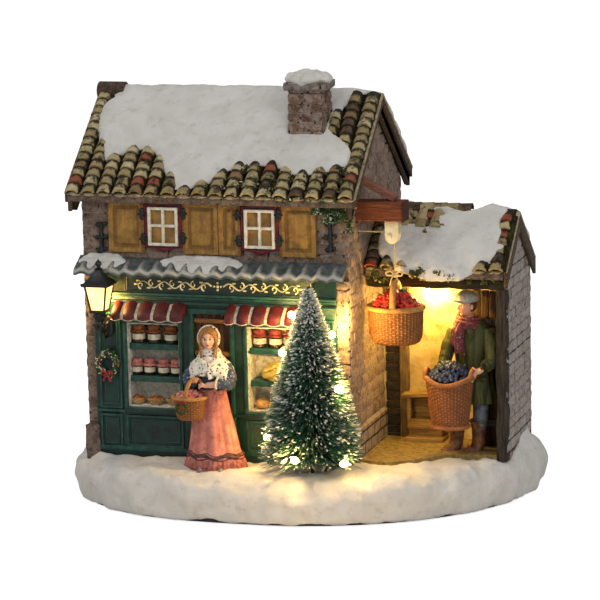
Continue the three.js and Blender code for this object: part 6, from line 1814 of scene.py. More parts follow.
def tufts(name, finish, spots, leaf, seed):
    """Clumps of small leaves: each spot is (x, y, z, radius, count, squash)."""
    chance = random.Random(seed)
    places, tones = [], []
    for x, y, z, r, count, low in spots:
        for _ in range(count):
            way = Vector((chance.gauss(0, 1), chance.gauss(0, 1), chance.gauss(0, 1))).normalized()
            way.y = -abs(way.y)
            reach = r * chance.uniform(0.35, 1.0)
            at = (x + way.x * reach, y + way.y * reach * 0.8, z + way.z * reach * low)
            turn = (chance.uniform(0, 360), chance.uniform(-70, 20), chance.uniform(0, 360))
            size = chance.uniform(0.7, 1.3)
            places.append(placed(*at, turn, (size, size, size)))
            tones.append(chance.random())
    return kept(spread(name, leaf, places, tones), finish, 60)


def wreath():
    chance = random.Random(31)
    cx, cz = 10.9, 60.0
    core = fresh("torus", major_segments=36, minor_segments=10, major_radius=0.0042,
                 minor_radius=0.0011, location=mm(cx, -4.1, cz), rotation=(math.radians(90), 0, 0))
    core.name = "wreath_core"
    kept(core, "moss", 80, ("wreath",))
    leaf = leaf_template(1.7, 0.34, 0.2)
    places, tones, dots, berries = [], [], [], []
    for k in range(430):
        a = chance.uniform(0, 2 * math.pi)
        b = chance.uniform(-0.35, 1.2) * math.pi
        r = 4.2 + 1.1 * math.cos(b)
        at = (cx + r * math.cos(a), -4.1 - 1.1 * math.sin(b), cz + r * math.sin(a))
        turn = (chance.uniform(60, 120),
                -math.degrees(a) + chance.choice((60, 100, 80)) + chance.uniform(-30, 30),
                chance.uniform(-35, 35))
        places.append(placed(*at, turn))
        tones.append(chance.random())
        if k % 16 == 0:
            dots.append(ball("fleck", (at[0], min(at[1], -4.6) - 0.5, at[2]), 0.26, 4, 6))
        if k % 26 == 5:
            berries.append(ball("berry", (at[0], min(at[1], -4.6) - 0.5, at[2]), 0.42, 6, 8))
    kept(spread("wreath_leaves", leaf, places, tones), "needle", 60)
    kept(joined("wreath_flecks", dots), "flock", 60)
    bow = berries
    for s in (-1, 1):
        loop = smoothed([(cx, -5.6, 55.9), (cx + s * 1.3, -6.0, 57.0), (cx + s * 2.3, -6.0, 56.5),
                         (cx + s * 2.1, -5.9, 55.4), (cx, -5.6, 55.8)], 5)
        bow.append(along("loop", loop, 0.5, 8, 0.45))
        bow.append(along("tail", smoothed([(cx, -5.6, 55.9), (cx + s * 0.9, -5.8, 54.4),
                                           (cx + s * 1.7, -5.6, 52.6)], 5), 0.5, 8, 0.35))
    bow.append(ball("knot", (cx, -5.9, 55.9), 0.65, 8, 10))
    kept(joined("wreath_bow", bow), "ribbon_red", 60)


def lantern():
    cx, cy = 11.4, -12.8
    quarter = math.radians(45)

    def square(z, half, count=16):
        points = []
        for i in range(count):
            a = 2 * math.pi * i / count + quarter
            c, s = math.cos(a), math.sin(a)
            k = half / max(abs(c), abs(s))
            points.append((cx + c * k, cy + s * k, z))
        return points

    glass = outward(skinned("lantern_panes", [square(85.2, 2.9), square(95.9, 4.7)]))
    kept(glass, "lantern_glow", 30, ("lantern_glass",))
    roof = skinned("roof", [square(95.6, 4.9), square(95.7, 5.9), square(96.7, 6.1),
                            square(97.1, 5.3), square(98.6, 3.7), square(100.6, 2.2),
                            square(102.2, 1.4), square(102.7, 1.5)])
    parts = [eased(outward(roof), 0.15)]
    parts.append(turned("finial", cx, cy, [(102.4, 1.5), (102.9, 1.8), (103.3, 0.8), (103.8, 0.7),
                                           (104.4, 1.35), (105.2, 1.5), (105.9, 1.0), (106.3, 0.5),
                                           (107.0, 0.15)], 16))
    parts.append(eased(outward(skinned("sill", [square(83.9, 2.2), square(84.2, 3.5),
                                                square(85.2, 3.6), square(85.4, 3.0)])), 0.15))
    for u, v in ((-1, -1), (1, -1), (1, 1), (-1, 1)):
        parts.append(rod("corner", (cx + u * 2.95, cy + v * 2.95, 85.0),
                         (cx + u * 4.75, cy + v * 4.75, 96.0), 0.42, 0.48, 8))
        parts.append(ball("curl", (cx + u * 5.7, cy + v * 5.7, 96.6), 0.62, 6, 8))
    parts.append(turned("stem", cx, cy, [(73.6, 0.25), (74.8, 0.8), (75.9, 0.6), (77.0, 1.5),
                                         (78.4, 1.9), (79.6, 1.1), (80.6, 0.9), (81.8, 1.8),
                                         (83.0, 2.6), (84.0, 2.2)], 16))
    for k in range(6):
        a = 2 * math.pi * k / 6 + 0.3
        c, s = math.cos(a), math.sin(a)
        for z, r, up in ((77.2, 1.3, 1.0), (81.0, 1.2, 1.1)):
            leaf = smoothed([(cx + c * r * 0.6, cy + s * r * 0.6, z - 0.8),
                             (cx + c * r * 1.5, cy + s * r * 1.5, z + 0.6 * up),
                             (cx + c * r * 2.3, cy + s * r * 2.3, z + 1.7 * up),
                             (cx + c * r * 2.5, cy + s * r * 2.5, z + 0.8 * up)], 4)
            parts.append(along("leaf", leaf, lambda t: 0.62 * (1 - 0.75 * t) + 0.05, 6, 0.5))
    arm = smoothed([(cx, cy, 78.6), (cx, cy + 1.8, 76.0), (cx, cy + 4.4, 75.4),
                    (cx, cy + 7.0, 76.6), (cx, -3.2, 78.4)], 6)
    parts.append(along("arm", arm, lambda s: 0.8 + 0.35 * math.sin(math.pi * s), 8))
    brace = smoothed([(cx, cy + 3.0, 75.6), (cx, cy + 5.0, 72.6), (cx, cy + 7.4, 72.0),
                      (cx, -3.3, 73.6)], 6)
    parts.append(along("brace", brace, 0.55, 8))
    parts.append(ball("plate", (cx, -3.4, 76.2), 1.0, 10, 16, (2.4, 0.9, 4.8)))
    kept(joined("lantern_ironwork", parts), "iron", 50, ("lantern_frame",))


def greenery():
    leaf = leaf_template(1.25, 0.42, 0.3)
    chance = random.Random(41)
    ivy = []
    for k in range(24):
        t = k / 23
        x = 103.4 + 16.0 * t + chance.uniform(-0.8, 0.8)
        z = 128.5 - 4.6 * math.sin(t * 3.0) * 0.6 + chance.uniform(-2.4, 3.4)
        y = -1.6 if x < 117 else 1.0
        ivy.append((x, y, z, chance.uniform(1.0, 2.0), 26, 0.9))
    for z in (121.5, 119.4, 123.6):
        ivy.append((118.6, -0.6, z, 1.1, 18, 1.1))
    for x in (84, 88, 91.5, 95.5, 99.5, 103, 106, 110, 114):
        ivy.append((x + chance.uniform(-1, 1), -5.4, 133.2 + chance.uniform(-0.7, 0.6),
                    chance.uniform(0.7, 1.3), 16, 0.6))
    tufts("eave_ivy", "needle", ivy, leaf, 42)
    moss = []
    for k in range(30):
        x = 119.5 + 58.0 * (k / 29) + chance.uniform(-0.8, 0.8)
        if chance.random() < (0.9 if x < 132 else 0.55):
            moss.append((x, 23.0, 96.4 + chance.uniform(-1.6, 1.4),
                         chance.uniform(1.0, 1.8), 22, 0.8))
    for x, y in ((86.6, 17.4), (90.4, 17.2), (96.5, 17.0), (101.9, 17.6)):
        moss.append((x, y, roof_top(MAIN_ROOF, y) + 1.2, 1.5, 30, 0.6))
    for x, z in ((141.2, 99.2), (143.6, 100.2), (152.0, 99.6), (154.6, 99.0), (157.0, 98.4),
                 (124.5, 99.0)):
        moss.append((x, 17.4, z, 2.3, 60, 0.8))
    moss = [spot for spot in moss if abs(spot[0] - 134.0) > 4.6 or spot[2] > 105]
    tufts("lintel_moss", "dry_moss", moss, leaf, 43)
    roof = []
    for _ in range(70):
        x, y = chance.uniform(54, 119), chance.uniform(-5.5, 6.0)
        if not inside(x, y, ROOF_SNOW_EDGE):
            roof.append((x, y, roof_top(MAIN_ROOF, y) + 1.9, chance.uniform(1.0, 2.0), 26, 0.55))
    for _ in range(26):
        x, y = (chance.choice((chance.uniform(-4, 4), chance.uniform(108, 120))),
                chance.uniform(2, 38))
        if not inside(x, y, ROOF_SNOW_EDGE):
            roof.append((x, y, roof_top(MAIN_ROOF, y) + 1.5, chance.uniform(0.7, 1.3), 16, 0.6))
    tufts("roof_moss", "roof_moss", roof, leaf, 44)


def front():
    shop_front()
    door()
    sign()
    ledge()
    awnings()
    upper_windows()
    shutters()
    displays()
    wreath()
    lantern()
    greenery()


# Shed
def plank_row(name, x, y, z, count, finish, stands_for=(), seed=1, gap=0.1):
    chance = random.Random(seed)
    width = (x[1] - x[0]) / count
    boards = []
    for i in range(count):
        shift = chance.uniform(-0.12, 0.12)
        boards.append(block("plank", (x[0] + width * i + gap, x[0] + width * (i + 1) - gap),
                            (y[0] + shift, y[1]), (z[0], z[1] + chance.uniform(-0.3, 0.0)), 0.25))
    return kept(joined(name, boards), finish, stands_for=stands_for)


def shed():
    wall = block("alcove_plaster", (118.0, 175.0), (50.9, 52.6), (18.0, 96.5), 0)
    kept(weathered(wall, 6, (0.55, 6.0), (0.25, 1.8)), "plaster", 60)
    lintel = block("lintel_beam", (118.4, 178.9), (23.6, 28.4), (92.2, 97.6), 0.5)
    weathered(lintel, 5, (0.7, 5.0), (0.3, 1.5))
    kept(lintel, "lintel_wood", 60, ("shed_lintel",))
    post = block("post", (174.6, 179.2), (23.6, 28.6), (18.2, 92.6), 0.4)
    weathered(post, 5, (0.5, 7.0), (0.25, 1.6))
    kept(post, "post_wood", 60, ("shed_post",))
    plank_row("shed_door_leaf", (160.8, 174.8), (39.6, 41.6), (18.6, 89.0), 4, "door_wood",
              ("open_door",), 3)
    bars = [block("bar", (161.2, 174.4), (38.9, 40.0), z, 0.25)
            for z in ((30.0, 33.0), (74.0, 77.0))]
    kept(joined("shed_door_bars", bars), "grey_wood")
    slats = []
    chance = random.Random(4)
    z = 19.0
    while z < 83.0:
        high = chance.uniform(3.0, 4.6)
        slats.append(block("slat", (119.2 + chance.uniform(-0.1, 0.2), 126.2),
                           (50.0 + chance.uniform(-0.25, 0.2), 52.0),
                           (z + 0.12, min(z + high, 84.0) - 0.12), 0.4))
        z += high
    kept(joined("inner_door_slats", slats), "charred", stands_for=("inner_door",))
    frame_post = block("inner_post", (125.7, 129.7), (48.9, 52.0), (18.4, 84.6), 0.35)
    weathered(frame_post, 5, (0.45, 6.0), (0.2, 1.4))
    kept(frame_post, "olive_wood", 60)
    head = block("inner_head", (118.6, 130.2), (49.4, 52.0), (83.9, 88.0), 0.4)
    kept(head, "olive_wood")

    def tilted(piece, cx, cz, degrees):
        piece.data.transform(Matrix.Translation(mm(cx, 0,
                                                   cz)) @ Matrix.Rotation(math.radians(degrees), 4,
                "Y") @ Matrix.Translation(-mm(cx, 0, cz)))
        return piece

    x0 = 129.6
    boards = [block("step", (x0, 146.8), (40.8, 52.0), (20.4, 22.9), 0.35),
              block("riser", (x0 + 0.4, 146.2), (41.8, 52.0), (18.6, 20.6), 0.3),
              block("step", (x0 + 0.6, 146.2), (43.6, 52.0), (26.2, 28.7), 0.35),
              block("riser", (x0 + 1.0, 145.4), (44.6, 52.0), (22.6, 26.4), 0.3),
              block("side", (x0 + 0.2, x0 + 2.0), (44.6, 51.6), (28.4, 40.2), 0.3),
              block("side", (x0 + 10.8, x0 + 12.6), (44.8, 51.6), (28.4, 40.8), 0.3),
              block("bottom", (x0 + 0.2, x0 + 12.6), (45.0, 51.6), (28.4, 30.0), 0.3),
              block("inside", (x0 + 1.6, x0 + 11.2), (50.0, 51.6), (29.6, 40.2), 0.2),
              tilted(block("lid", (x0 - 1.8, x0 + 14.0), (43.4, 51.8), (40.2, 42.0), 0.35), x0 + 6,
                     41.0, -4.5)]
    steps = weathered(joined("steps_and_crate", boards), 2, (0.3, 4.0))
    kept(steps, "crate_wood", 50, ("step_and_crate",))
    bulb = turned("shed_bulb", 143.4, 30.6, [(91.8, 0.9), (90.6, 1.25), (89.4, 1.6), (87.8, 1.6),
                                             (86.6, 1.1), (86.0, 0.4)], 16)
    kept(bulb, "star_lamp", 60)
    holder = turned("shed_lamp_holder", 143.4, 30.6, [(93.4, 1.3), (91.8, 1.5), (91.2, 1.3)], 16)
    kept(eased(holder, 0.1), "iron")


def cobbles():
    """Small setts laid in arcs over the yard."""
    chance = random.Random(15)
    stone = ball("sett", (0, 0, 0), 1.0, 6, 8, (1.0, 0.72, 0.6))
    stone = template_of(at_origin(stone))
    edge = [(118.4, 7), (124.0, 3.5), (132.0, 1.5), (142.0, 9), (153, 19), (163, 23), (174.4, 24),
            (174.4, 51.4), (118.4, 51.4)]
    places, tones = [], []
    cx, cy = 146.0, -34.0
    r = 34.0
    while r < 96.0:
        step = 2.15 / r
        a = chance.random() * step
        while a < math.pi:
            x, y = cx + r * math.cos(a), cy + r * math.sin(a)
            a += step * chance.uniform(0.9, 1.15)
            if not inside(x, y, edge):
                continue
            places.append(placed(x, y, 18.55 + chance.uniform(-0.12, 0.12),
                                 (0, 0, math.degrees(a) + 90),
                                 (chance.uniform(0.9, 1.1), 1.0, 1.0)))
            tones.append(chance.random())
        r += 1.5
    kept(spread("yard_setts", stone, places, tones), "sett", 60)


# Hoist and its basket
GOLDEN_ANGLE = 2.39996
HANG_X, HANG_Y = 134.0, 14.0


def hoist():
    wheel_x, wheel_z, groove = 132.3, 115.8, 1.7
    beam = block("hoist_timber", (117.0, 138.5), (9.3, 18.7), (122.6, 130.6), 0.5)
    weathered(beam, 4, (0.45, 6.0), (0.2, 1.6))
    kept(beam, "beam_wood", 60, ("hoist_beam",))
    end = panelled("beam_end", (138.2, 139.1), (9.1, 18.9), (122.4, 130.8), (), 0.35)
    kept(end, "beam_end")
    brace = of_points("brace", [(x, y, z) for y in (13.6, 18.6) for x, z in (
        (118.0, 138.4), (118.0, 141.4), (134.9, 132.4), (133.4, 130.2))],
        BOX_FACES)
    brace = weathered(eased(outward(brace), 0.3), 3, (0.3, 5.0), (0.15, 1.5))
    kept(brace, "brace_wood", 60)
    bracket = squared("pulley_cheeks", "pulley_bracket", ease=0.3, segments=3)
    kept(bracket, "white_plastic", 0, ("pulley_bracket",))
    studs = []
    for y in (11.6, 16.4):
        side = -1 if y < 14 else 1
        studs.append(rod("stud", (wheel_x, y, wheel_z), (wheel_x, y + side * 0.5, wheel_z),
                         1.25, 1.0, 16, 0.12))
    kept(joined("pulley_studs", studs), "white_plastic")
    wheel = squared("pulley_disc", "pulley_wheel", ease=0.12, angle=40)
    kept(wheel, "white_plastic", 0, ("pulley_wheel",), body="pulley")
    drum = squared("thread_drum", "winding_drum", ease=0.15, angle=40)
    kept(drum, "white_plastic", 0, ("winding_drum",), body="drum")
    level = [(104.0 + 28.3 * i / 90, 14.0, 117.5) for i in range(91)]
    level += [(wheel_x + groove * math.sin(a), 14.0, wheel_z + groove * math.cos(a))
              for a in (0.26 * k for k in range(1, 7))]
    thread = rope("level_thread", level, 0.2, 0.17, 26, 2, 1.0, 6, across=(0, 1, 0))
    kept(thread, "thread", 60, ("hoist_thread",))
    down = [(HANG_X, HANG_Y, 115.9 - 15.6 * i / 60) for i in range(61)]
    hang = rope("hanging_thread", down, 0.2, 0.17, 13, 2, 1.0, 6, across=(0, 1, 0))
    kept(hang, "thread", 60, ("hang_thread",), body=None)
    mm(HANG_X, HANG_Y, 115.4)
    mm(HANG_X, HANG_Y, 100.6)
    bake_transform(hang)
    knot = [ball("knot", (HANG_X, HANG_Y, 99.2), 1.15, 10, 14, (1.1, 1.0, 1.0))]
    for s in (-1, 1):
        loop = smoothed([(HANG_X, 13.6, 99.4), (HANG_X + s * 1.8, 12.7, 100.9),
                         (HANG_X + s * 3.4, 12.2, 100.6), (HANG_X + s * 3.1, 12.2, 99.4),
                         (HANG_X + s * 0.6, 12.9, 99.2)], 5)
        knot.append(along("loop", loop, 0.34, 8))
        tail = smoothed([(HANG_X, 13.4, 99.2), (HANG_X + s * 1.2, 12.4, 98.0),
                         (HANG_X + s * 1.9, 11.9, 95.8 + s)], 5)
        knot.append(along("tail", tail, 0.32, 8))
    for turn in (0.3, -0.3):
        knot.append(rope("wrap", [(HANG_X + 1.2 * math.cos(a), HANG_Y + 1.15 * math.sin(a),
                                   99.2 + turn + 0.25 * math.sin(2 * a)) for a in AROUND],
                         0.2, 0.14, 9, 2, closed=True))
    kept(joined("thread_bow", knot), "thread", 60, ("thread_knot",), body="lift")


def woven(name, cx, cy, profile, stakes, rows, over=0.3, dip=None):
    """A basket's woven side: weavers that pass over and under upright stakes, row by row."""
    z0, z1 = profile[0][0], profile[-1][0]
    count = stakes * 6
    rings, proud = [], []

    def radii(z):
        for (za, xa, ya), (zb, xb, yb) in zip(profile, profile[1:]):
            if z <= zb + 1e-9:
                t = (z - za) / (zb - za)
                return xa + (xb - xa) * t, ya + (yb - ya) * t
        return profile[-1][1:]

    for step in range(rows * 4 + 1):
        share = step / (rows * 4)
        z = z0 + (z1 - z0) * share
        rx, ry = radii(z)
        row, part = divmod(step, 4)
        bulge = (0.0, 0.7, 1.0, 0.7)[part]
        points = []
        for i in range(count):
            a = 2 * math.pi * i / count
            weaver = bulge * (0.5 + 0.5 * math.cos(a * stakes / 2 + math.pi * row)) ** 0.7
            out = over * max(1.15 * weaver, 0.8 * max(0.0, math.cos(a * stakes)))
            sink = dip(a) * share ** 2 if dip else 0.0
            proud.append(min(1.0, out / over))
            points.append((cx + (rx + out - over) * math.cos(a),
                           cy + (ry + out - over) * math.sin(a), z - sink))
        rings.append(points)
    side = skinned(name, rings)
    mark_points(side.data, "weave", proud)
    return side


def rim_line(cx, cy, z, rx, ry, count=160, dip=None):
    points = []
    for i in range(count):
        a = 2 * math.pi * i / count
        points.append((cx + rx * math.cos(a), cy + ry * math.sin(a), z - (dip(a) if dip else 0.0)))
    return points


def heap(name, cx, cy, z, rx, ry, rise, r, count, finish, seed, body="shop",
         dip=None):
    """Round berries heaped over a dome; dip lowers its edge where the basket's rim dips."""
    chance = random.Random(seed)
    berry = template_of(at_origin(ball("berry", (0, 0, 0), 1.0, 7, 10)))
    places, tones = [], []
    for k in range(count):
        share = math.sqrt((k + 0.5) / count)
        a = k * GOLDEN_ANGLE + chance.uniform(-0.15, 0.15)
        x, y = cx + rx * share * math.cos(a), cy + ry * share * math.sin(a)
        up = (z + rise * (1 - share ** 2.2) + chance.uniform(-0.35, 0.5)
              - (dip(a) * share ** 2 if dip else 0.0))
        size = r * chance.uniform(0.85, 1.12)
        places.append(placed(x, y, up, (0, 0, 0), (size, size, size)))
        tones.append(chance.random())
    kept(spread(name, berry, places, tones), finish, 80, body=body)


def hanging_basket():
    profile = [(70.0, 8.4, 6.4), (71.0, 10.2, 7.9), (73.4, 11.3, 9.0), (79.0, 11.7, 9.4),
               (85.0, 12.0, 9.7)]
    bowl = woven("hanging_basket_weave", HANG_X, HANG_Y, profile, 44, 19, 0.42)
    kept(bowl, "tan_wicker", 70, ("hanging_basket",), body="basket")
    rim = rope("hanging_basket_rim", rim_line(HANG_X, HANG_Y, 85.6, 11.7, 9.4, 260), 0.62, 0.62, 30,
               3, 0.9, 6, closed=True)
    kept(rim, "pale_wicker", 70, body="basket")
    arc = []
    for i in range(121):
        a = math.pi * i / 120
        arc.append((HANG_X + 0.9 * math.cos(a), HANG_Y - 8.8 * math.cos(a),
                    85.0 + 11.4 * math.sin(a) ** 0.9))
    handle = rope("hanging_basket_handle", arc, 0.62, 0.92, 12, 3, 0.45, 7, across=(1, 0, 0))
    kept(handle, "pale_wicker", 70, body="basket")
    heap("hanging_basket_berries", HANG_X, HANG_Y, 85.2, 10.6, 8.2, 6.8, 0.98, 230, "berry_red", 61,
         "basket")
    chance = random.Random(62)
    leaf = leaf_template(2.2, 0.42, 0.3)
    spots = []
    for _ in range(26):
        a, share = chance.uniform(0, 6.28), chance.uniform(0.1, 0.9)
        spots.append((HANG_X + 10.4 * share * math.cos(a), HANG_Y + 8 * share * math.sin(a),
                      86.4 + 6.4 * (1 - share ** 2.2), 0.4, 2, 0.4))
    leaves = tufts("hanging_basket_leaves", "needle", spots, leaf, 63)
    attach(leaves, "basket")


def shed_ridge():
    """Half-round tiles along the bare part of the shed's ridge, and three short rows below it."""
    tiles, tones = [], []
    chance = random.Random(17)
    tile = template_of(barrel_tile(7.6, 3.3, 2.9))
    for k in range(7):
        x = 122.4 + 5.6 * k
        tiles.append(Matrix.Translation(mm(x, 45.6 + chance.uniform(-0.3, 0.3), 122.7))
                     @ Matrix.Rotation(math.radians(90), 4, "Z"))
        tones.append(chance.choice((0.1, 0.45, 0.8, 0.9, 0.97)))
    kept(spread("shed_ridge_tiles", tile, tiles, tones), "tile", 50)
    tile = template_of(barrel_tile(TILE_LONG))
    tiles, tones = [], []
    lean = math.degrees(math.atan(SHED_ROOF["slope"]))
    for row in range(3):
        y = 34.4 + 3.4 * row
        for column in range(6):
            x = 122.6 + 6.72 * (column - 0.5) + chance.uniform(-0.2, 0.2)
            edge = 33.2 if x < 144 else 33.5 + (x - 144) * 0.43 if x < 150.5 else 36.3 + (
                    x - 150.5) * 1.4
            if y < edge + 2.2 or x < 121.5 or x > 147:
                continue
            turn = Matrix.Rotation(math.radians(chance.uniform(-2, 2)), 4, "Z") @ Matrix.Rotation(
                math.radians(lean - 4 + chance.uniform(-1.5, 1.5)), 4, "X")
            tiles.append(Matrix.Translation(mm(x, y, roof_top(SHED_ROOF,
                    y) + 1.7 - 0.11 * (y - 34) + chance.uniform(0, 0.3))) @ turn)
            tones.append(chance.choice((0.1, 0.3, 0.5, 0.8, 0.9, 0.97)))
    kept(spread("shed_bare_tiles", tile, tiles, tones), "tile", 50)


def eaves():
    """Pale bedding under the lowest tiles, and a course of stone that shows below it."""
    lumps, boards = [], []
    for roof, x, y in ((MAIN_ROOF, (-5.4, 121.9), -4.7), (SHED_ROOF, (118.8, 178.9), 21.0)):
        top = roof_top(roof, y)
        count = int((x[1] - x[0]) / 6.9)
        for k in range(count):
            cx = x[0] + (x[1] - x[0]) * (k + 0.5) / count
            lump = ball("bed", (cx + random.uniform(-0.4, 0.4), y - 0.5, top - 1.0), 1.0, 8, 12,
                        (3.5, 0.9, 0.75 + random.uniform(0, 0.3)))
            lumps.append(roughen(lump, ((0.5, 1.6),), (k * 5.0, 0, 0)))
        if roof is MAIN_ROOF:
            spans = [(x[0] + 0.3, x[1] - 0.3, 4.4)]
        else:
            spans = [(x[0] + 0.3, HANG_X - 4.5, 4.4), (HANG_X - 4.4, HANG_X + 4.4, 2.5),
                     (HANG_X + 4.5, x[1] - 0.3, 4.4)]
        for x0, x1, drop in spans:
            boards.append(block("fascia", (x0, x1), (y - 0.25, y + 0.5),
                                (top - drop, top - 1.0), 0.2))
    kept(joined("eave_bedding", lumps), "bedding", 60)
    kept(joined("eave_boards", boards), "stone_blocks")


def yard():
    shed_ridge()
    eaves()
    shed()
    cobbles()
    hoist()
    hanging_basket()


# Figures
def figure_head(name, at, turn, r, skin, jaw=0.30):
    """A plain painted head, modelled facing -y with its features, then turned to face its way."""
    face = fresh("uv_sphere", segments=48, ring_count=36, radius=1, location=(0, 0, 0))
    for vertex in face.data.vertices:
        x, y, z = vertex.co
        low = max(0.0, -z)
        x2 = x * (1 - jaw * low ** 1.4) * 0.78
        y2 = y * (0.94 if y < 0 else 0.9) * (1 - 0.10 * low ** 2)
        z2 = z * 1.12
        if y < 0:
            dent = sum(math.exp(-((x2 - s * 0.30) / 0.17) ** 2 - ((z2 - 0.14) / 0.13) ** 2)
                       for s in (-1, 1))
            brow = sum(math.exp(-((x2 - s * 0.30) / 0.22) ** 2 - ((z2 - 0.34) / 0.08) ** 2)
                       for s in (-1, 1))
            cheek = sum(math.exp(-((x2 - s * 0.40) / 0.18) ** 2 - ((z2 + 0.16) / 0.2) ** 2)
                        for s in (-1, 1))
            bridge = math.exp(-(x2 / 0.10) ** 2 - ((z2 - 0.06) / 0.22) ** 2)
            tip = math.exp(-(x2 / 0.13) ** 2 - ((z2 + 0.14) / 0.11) ** 2)
            lips = math.exp(-(x2 / 0.24) ** 2 - ((z2 + 0.46) / 0.09) ** 2)
            under = math.exp(-(x2 / 0.22) ** 2 - ((z2 + 0.64) / 0.07) ** 2)
            chin = math.exp(-(x2 / 0.24) ** 2 - ((z2 + 0.84) / 0.16) ** 2)
            y2 += (0.10 * dent - 0.05 * brow - 0.05 * cheek - 0.14 * bridge - 0.24 * tip
                   - 0.07 * lips)
            y2 += 0.05 * under - 0.10 * chin
        vertex.co = (x2, y2, z2)
    whites, irises, dark, lips = [], [], [], []

    def bead(spot, size, scale, group):
        group.append(fresh("uv_sphere", segments=14, ring_count=10, radius=size, location=spot,
                           scale=scale))

    for s in (-1, 1):
        bead((s * 0.29, -0.77, 0.13), 0.15, (1.15, 0.6, 0.72), whites)
        bead((s * 0.285, -0.845, 0.13), 0.082, (1, 0.6, 1), irises)
        for k in range(5):
            t = k / 4
            bead((s * (0.15 + 0.30 * t), -0.86 + 0.06 * t, 0.32 + 0.05 * math.sin(2.6 * t)), 0.055,
                 (1.5, 0.5, 0.6), dark)
        bead((s * 0.29, -0.83, 0.215), 0.12, (1.25, 0.4, 0.25), dark)
    for s in (-0.09, 0.0, 0.09):
        bead((s, -0.985 + abs(s) * 0.4, -0.435), 0.065, (1.2, 0.6, 0.55), lips)
        bead((s * 0.8, -0.975 + abs(s) * 0.4, -0.50), 0.065, (1.2, 0.6, 0.6), lips)
    matrix = Matrix.Translation(mm(*at)) @ Matrix.Rotation(math.radians(turn), 4,
            "Z") @ Matrix.Scale(r / 1000, 4)
    groups = {"face": (face, skin), "whites": (joined("whites", whites), "eye_white"),
              "irises": (joined("irises", irises), "eye_dark"),
              "brows": (joined("brows", dark), "hair_brown"), "lips": (joined("lips", lips),
            "lip_rose")}
    made = {}
    for key, (piece, finish) in groups.items():
        piece.data.transform(matrix)
        piece.name = f"{name}_{key}"
        made[key] = kept(piece, finish, 80)
    return made, matrix


def shaped(name, matrix, spot, size, scale, cut=(), thick=0.0):
    """A ball in a head's own measure, cut by each plane (point, side) that is given."""
    piece = fresh("uv_sphere", segments=40, ring_count=28, radius=size, location=spot, scale=scale)
    for point, way in cut:
        with edited(piece):
            bpy.ops.mesh.bisect(plane_co=point, plane_no=way, clear_outer=True, use_fill=not thick)
    if thick:
        applied(piece, "SOLIDIFY", thickness=thick, offset=1.0)
        applied(piece, "BEVEL", width=thick * 0.3, segments=2, limit_method="ANGLE",
                angle_limit=math.radians(50))
    piece.data.transform(matrix)
    piece.name = name
    return piece


def limb_piece(name, line, radii, sides=18, steps=7, flat=1.0, creases=0.0, seed=0.0):
    """A sleeve, leg or finger along a line, with a radius at each of its points."""
    path = smoothed(line, steps)
    last = len(radii) - 1

    def radius(share):
        k = min(int(share * last), last - 1)
        t = share * last - k
        t = t * t * (3 - 2 * t)
        fold = creases * math.sin(share * 34 + seed) * math.sin(share * 13 + 2 * seed)
        return (radii[k] + (radii[k + 1] - radii[k]) * t) * (1 + fold)

    return outward(along(name, path, radius, sides, flat))


def hand(name, wrist, palm, tips, r=0.5, thumb=None):
    """A palm with four fingers that end at the given points, and a thumb."""
    w, p = Vector(wrist), Vector(palm)
    parts = [limb_piece("palm", [w, (w + p) / 2, p], [r * 1.7, r * 2.0, r * 1.7], 12, 4, 0.7)]
    for tip in tips:
        t = Vector(tip)
        knuckle = p * 0.55 + t * 0.45 + Vector((0, -0.35, 0.3))
        parts.append(limb_piece("finger", [p * 0.8 + w * 0.2, knuckle, t],
                                [r * 0.95, r * 0.9, r * 0.6], 8, 4))
    if thumb:
        t = Vector(thumb)
        parts.append(limb_piece("thumb", [w * 0.4 + p * 0.6, (p + t) / 2 + Vector((0, -0.3, 0.2)),
                                          t], [r, r * 0.95, r * 0.7], 8, 4))
    return joined(name, parts)


def folds(a, amount, seed):
    """Irregular folds round a skirt or coat, as a factor on its radius."""
    return 1 + amount * (0.55 * math.sin(9 * a + seed) + 0.35 * math.sin(5 * a + 2 * seed)
                         + 0.3 * math.sin(14 * a + 3 * seed) + 0.12 * math.sin(23 * a))


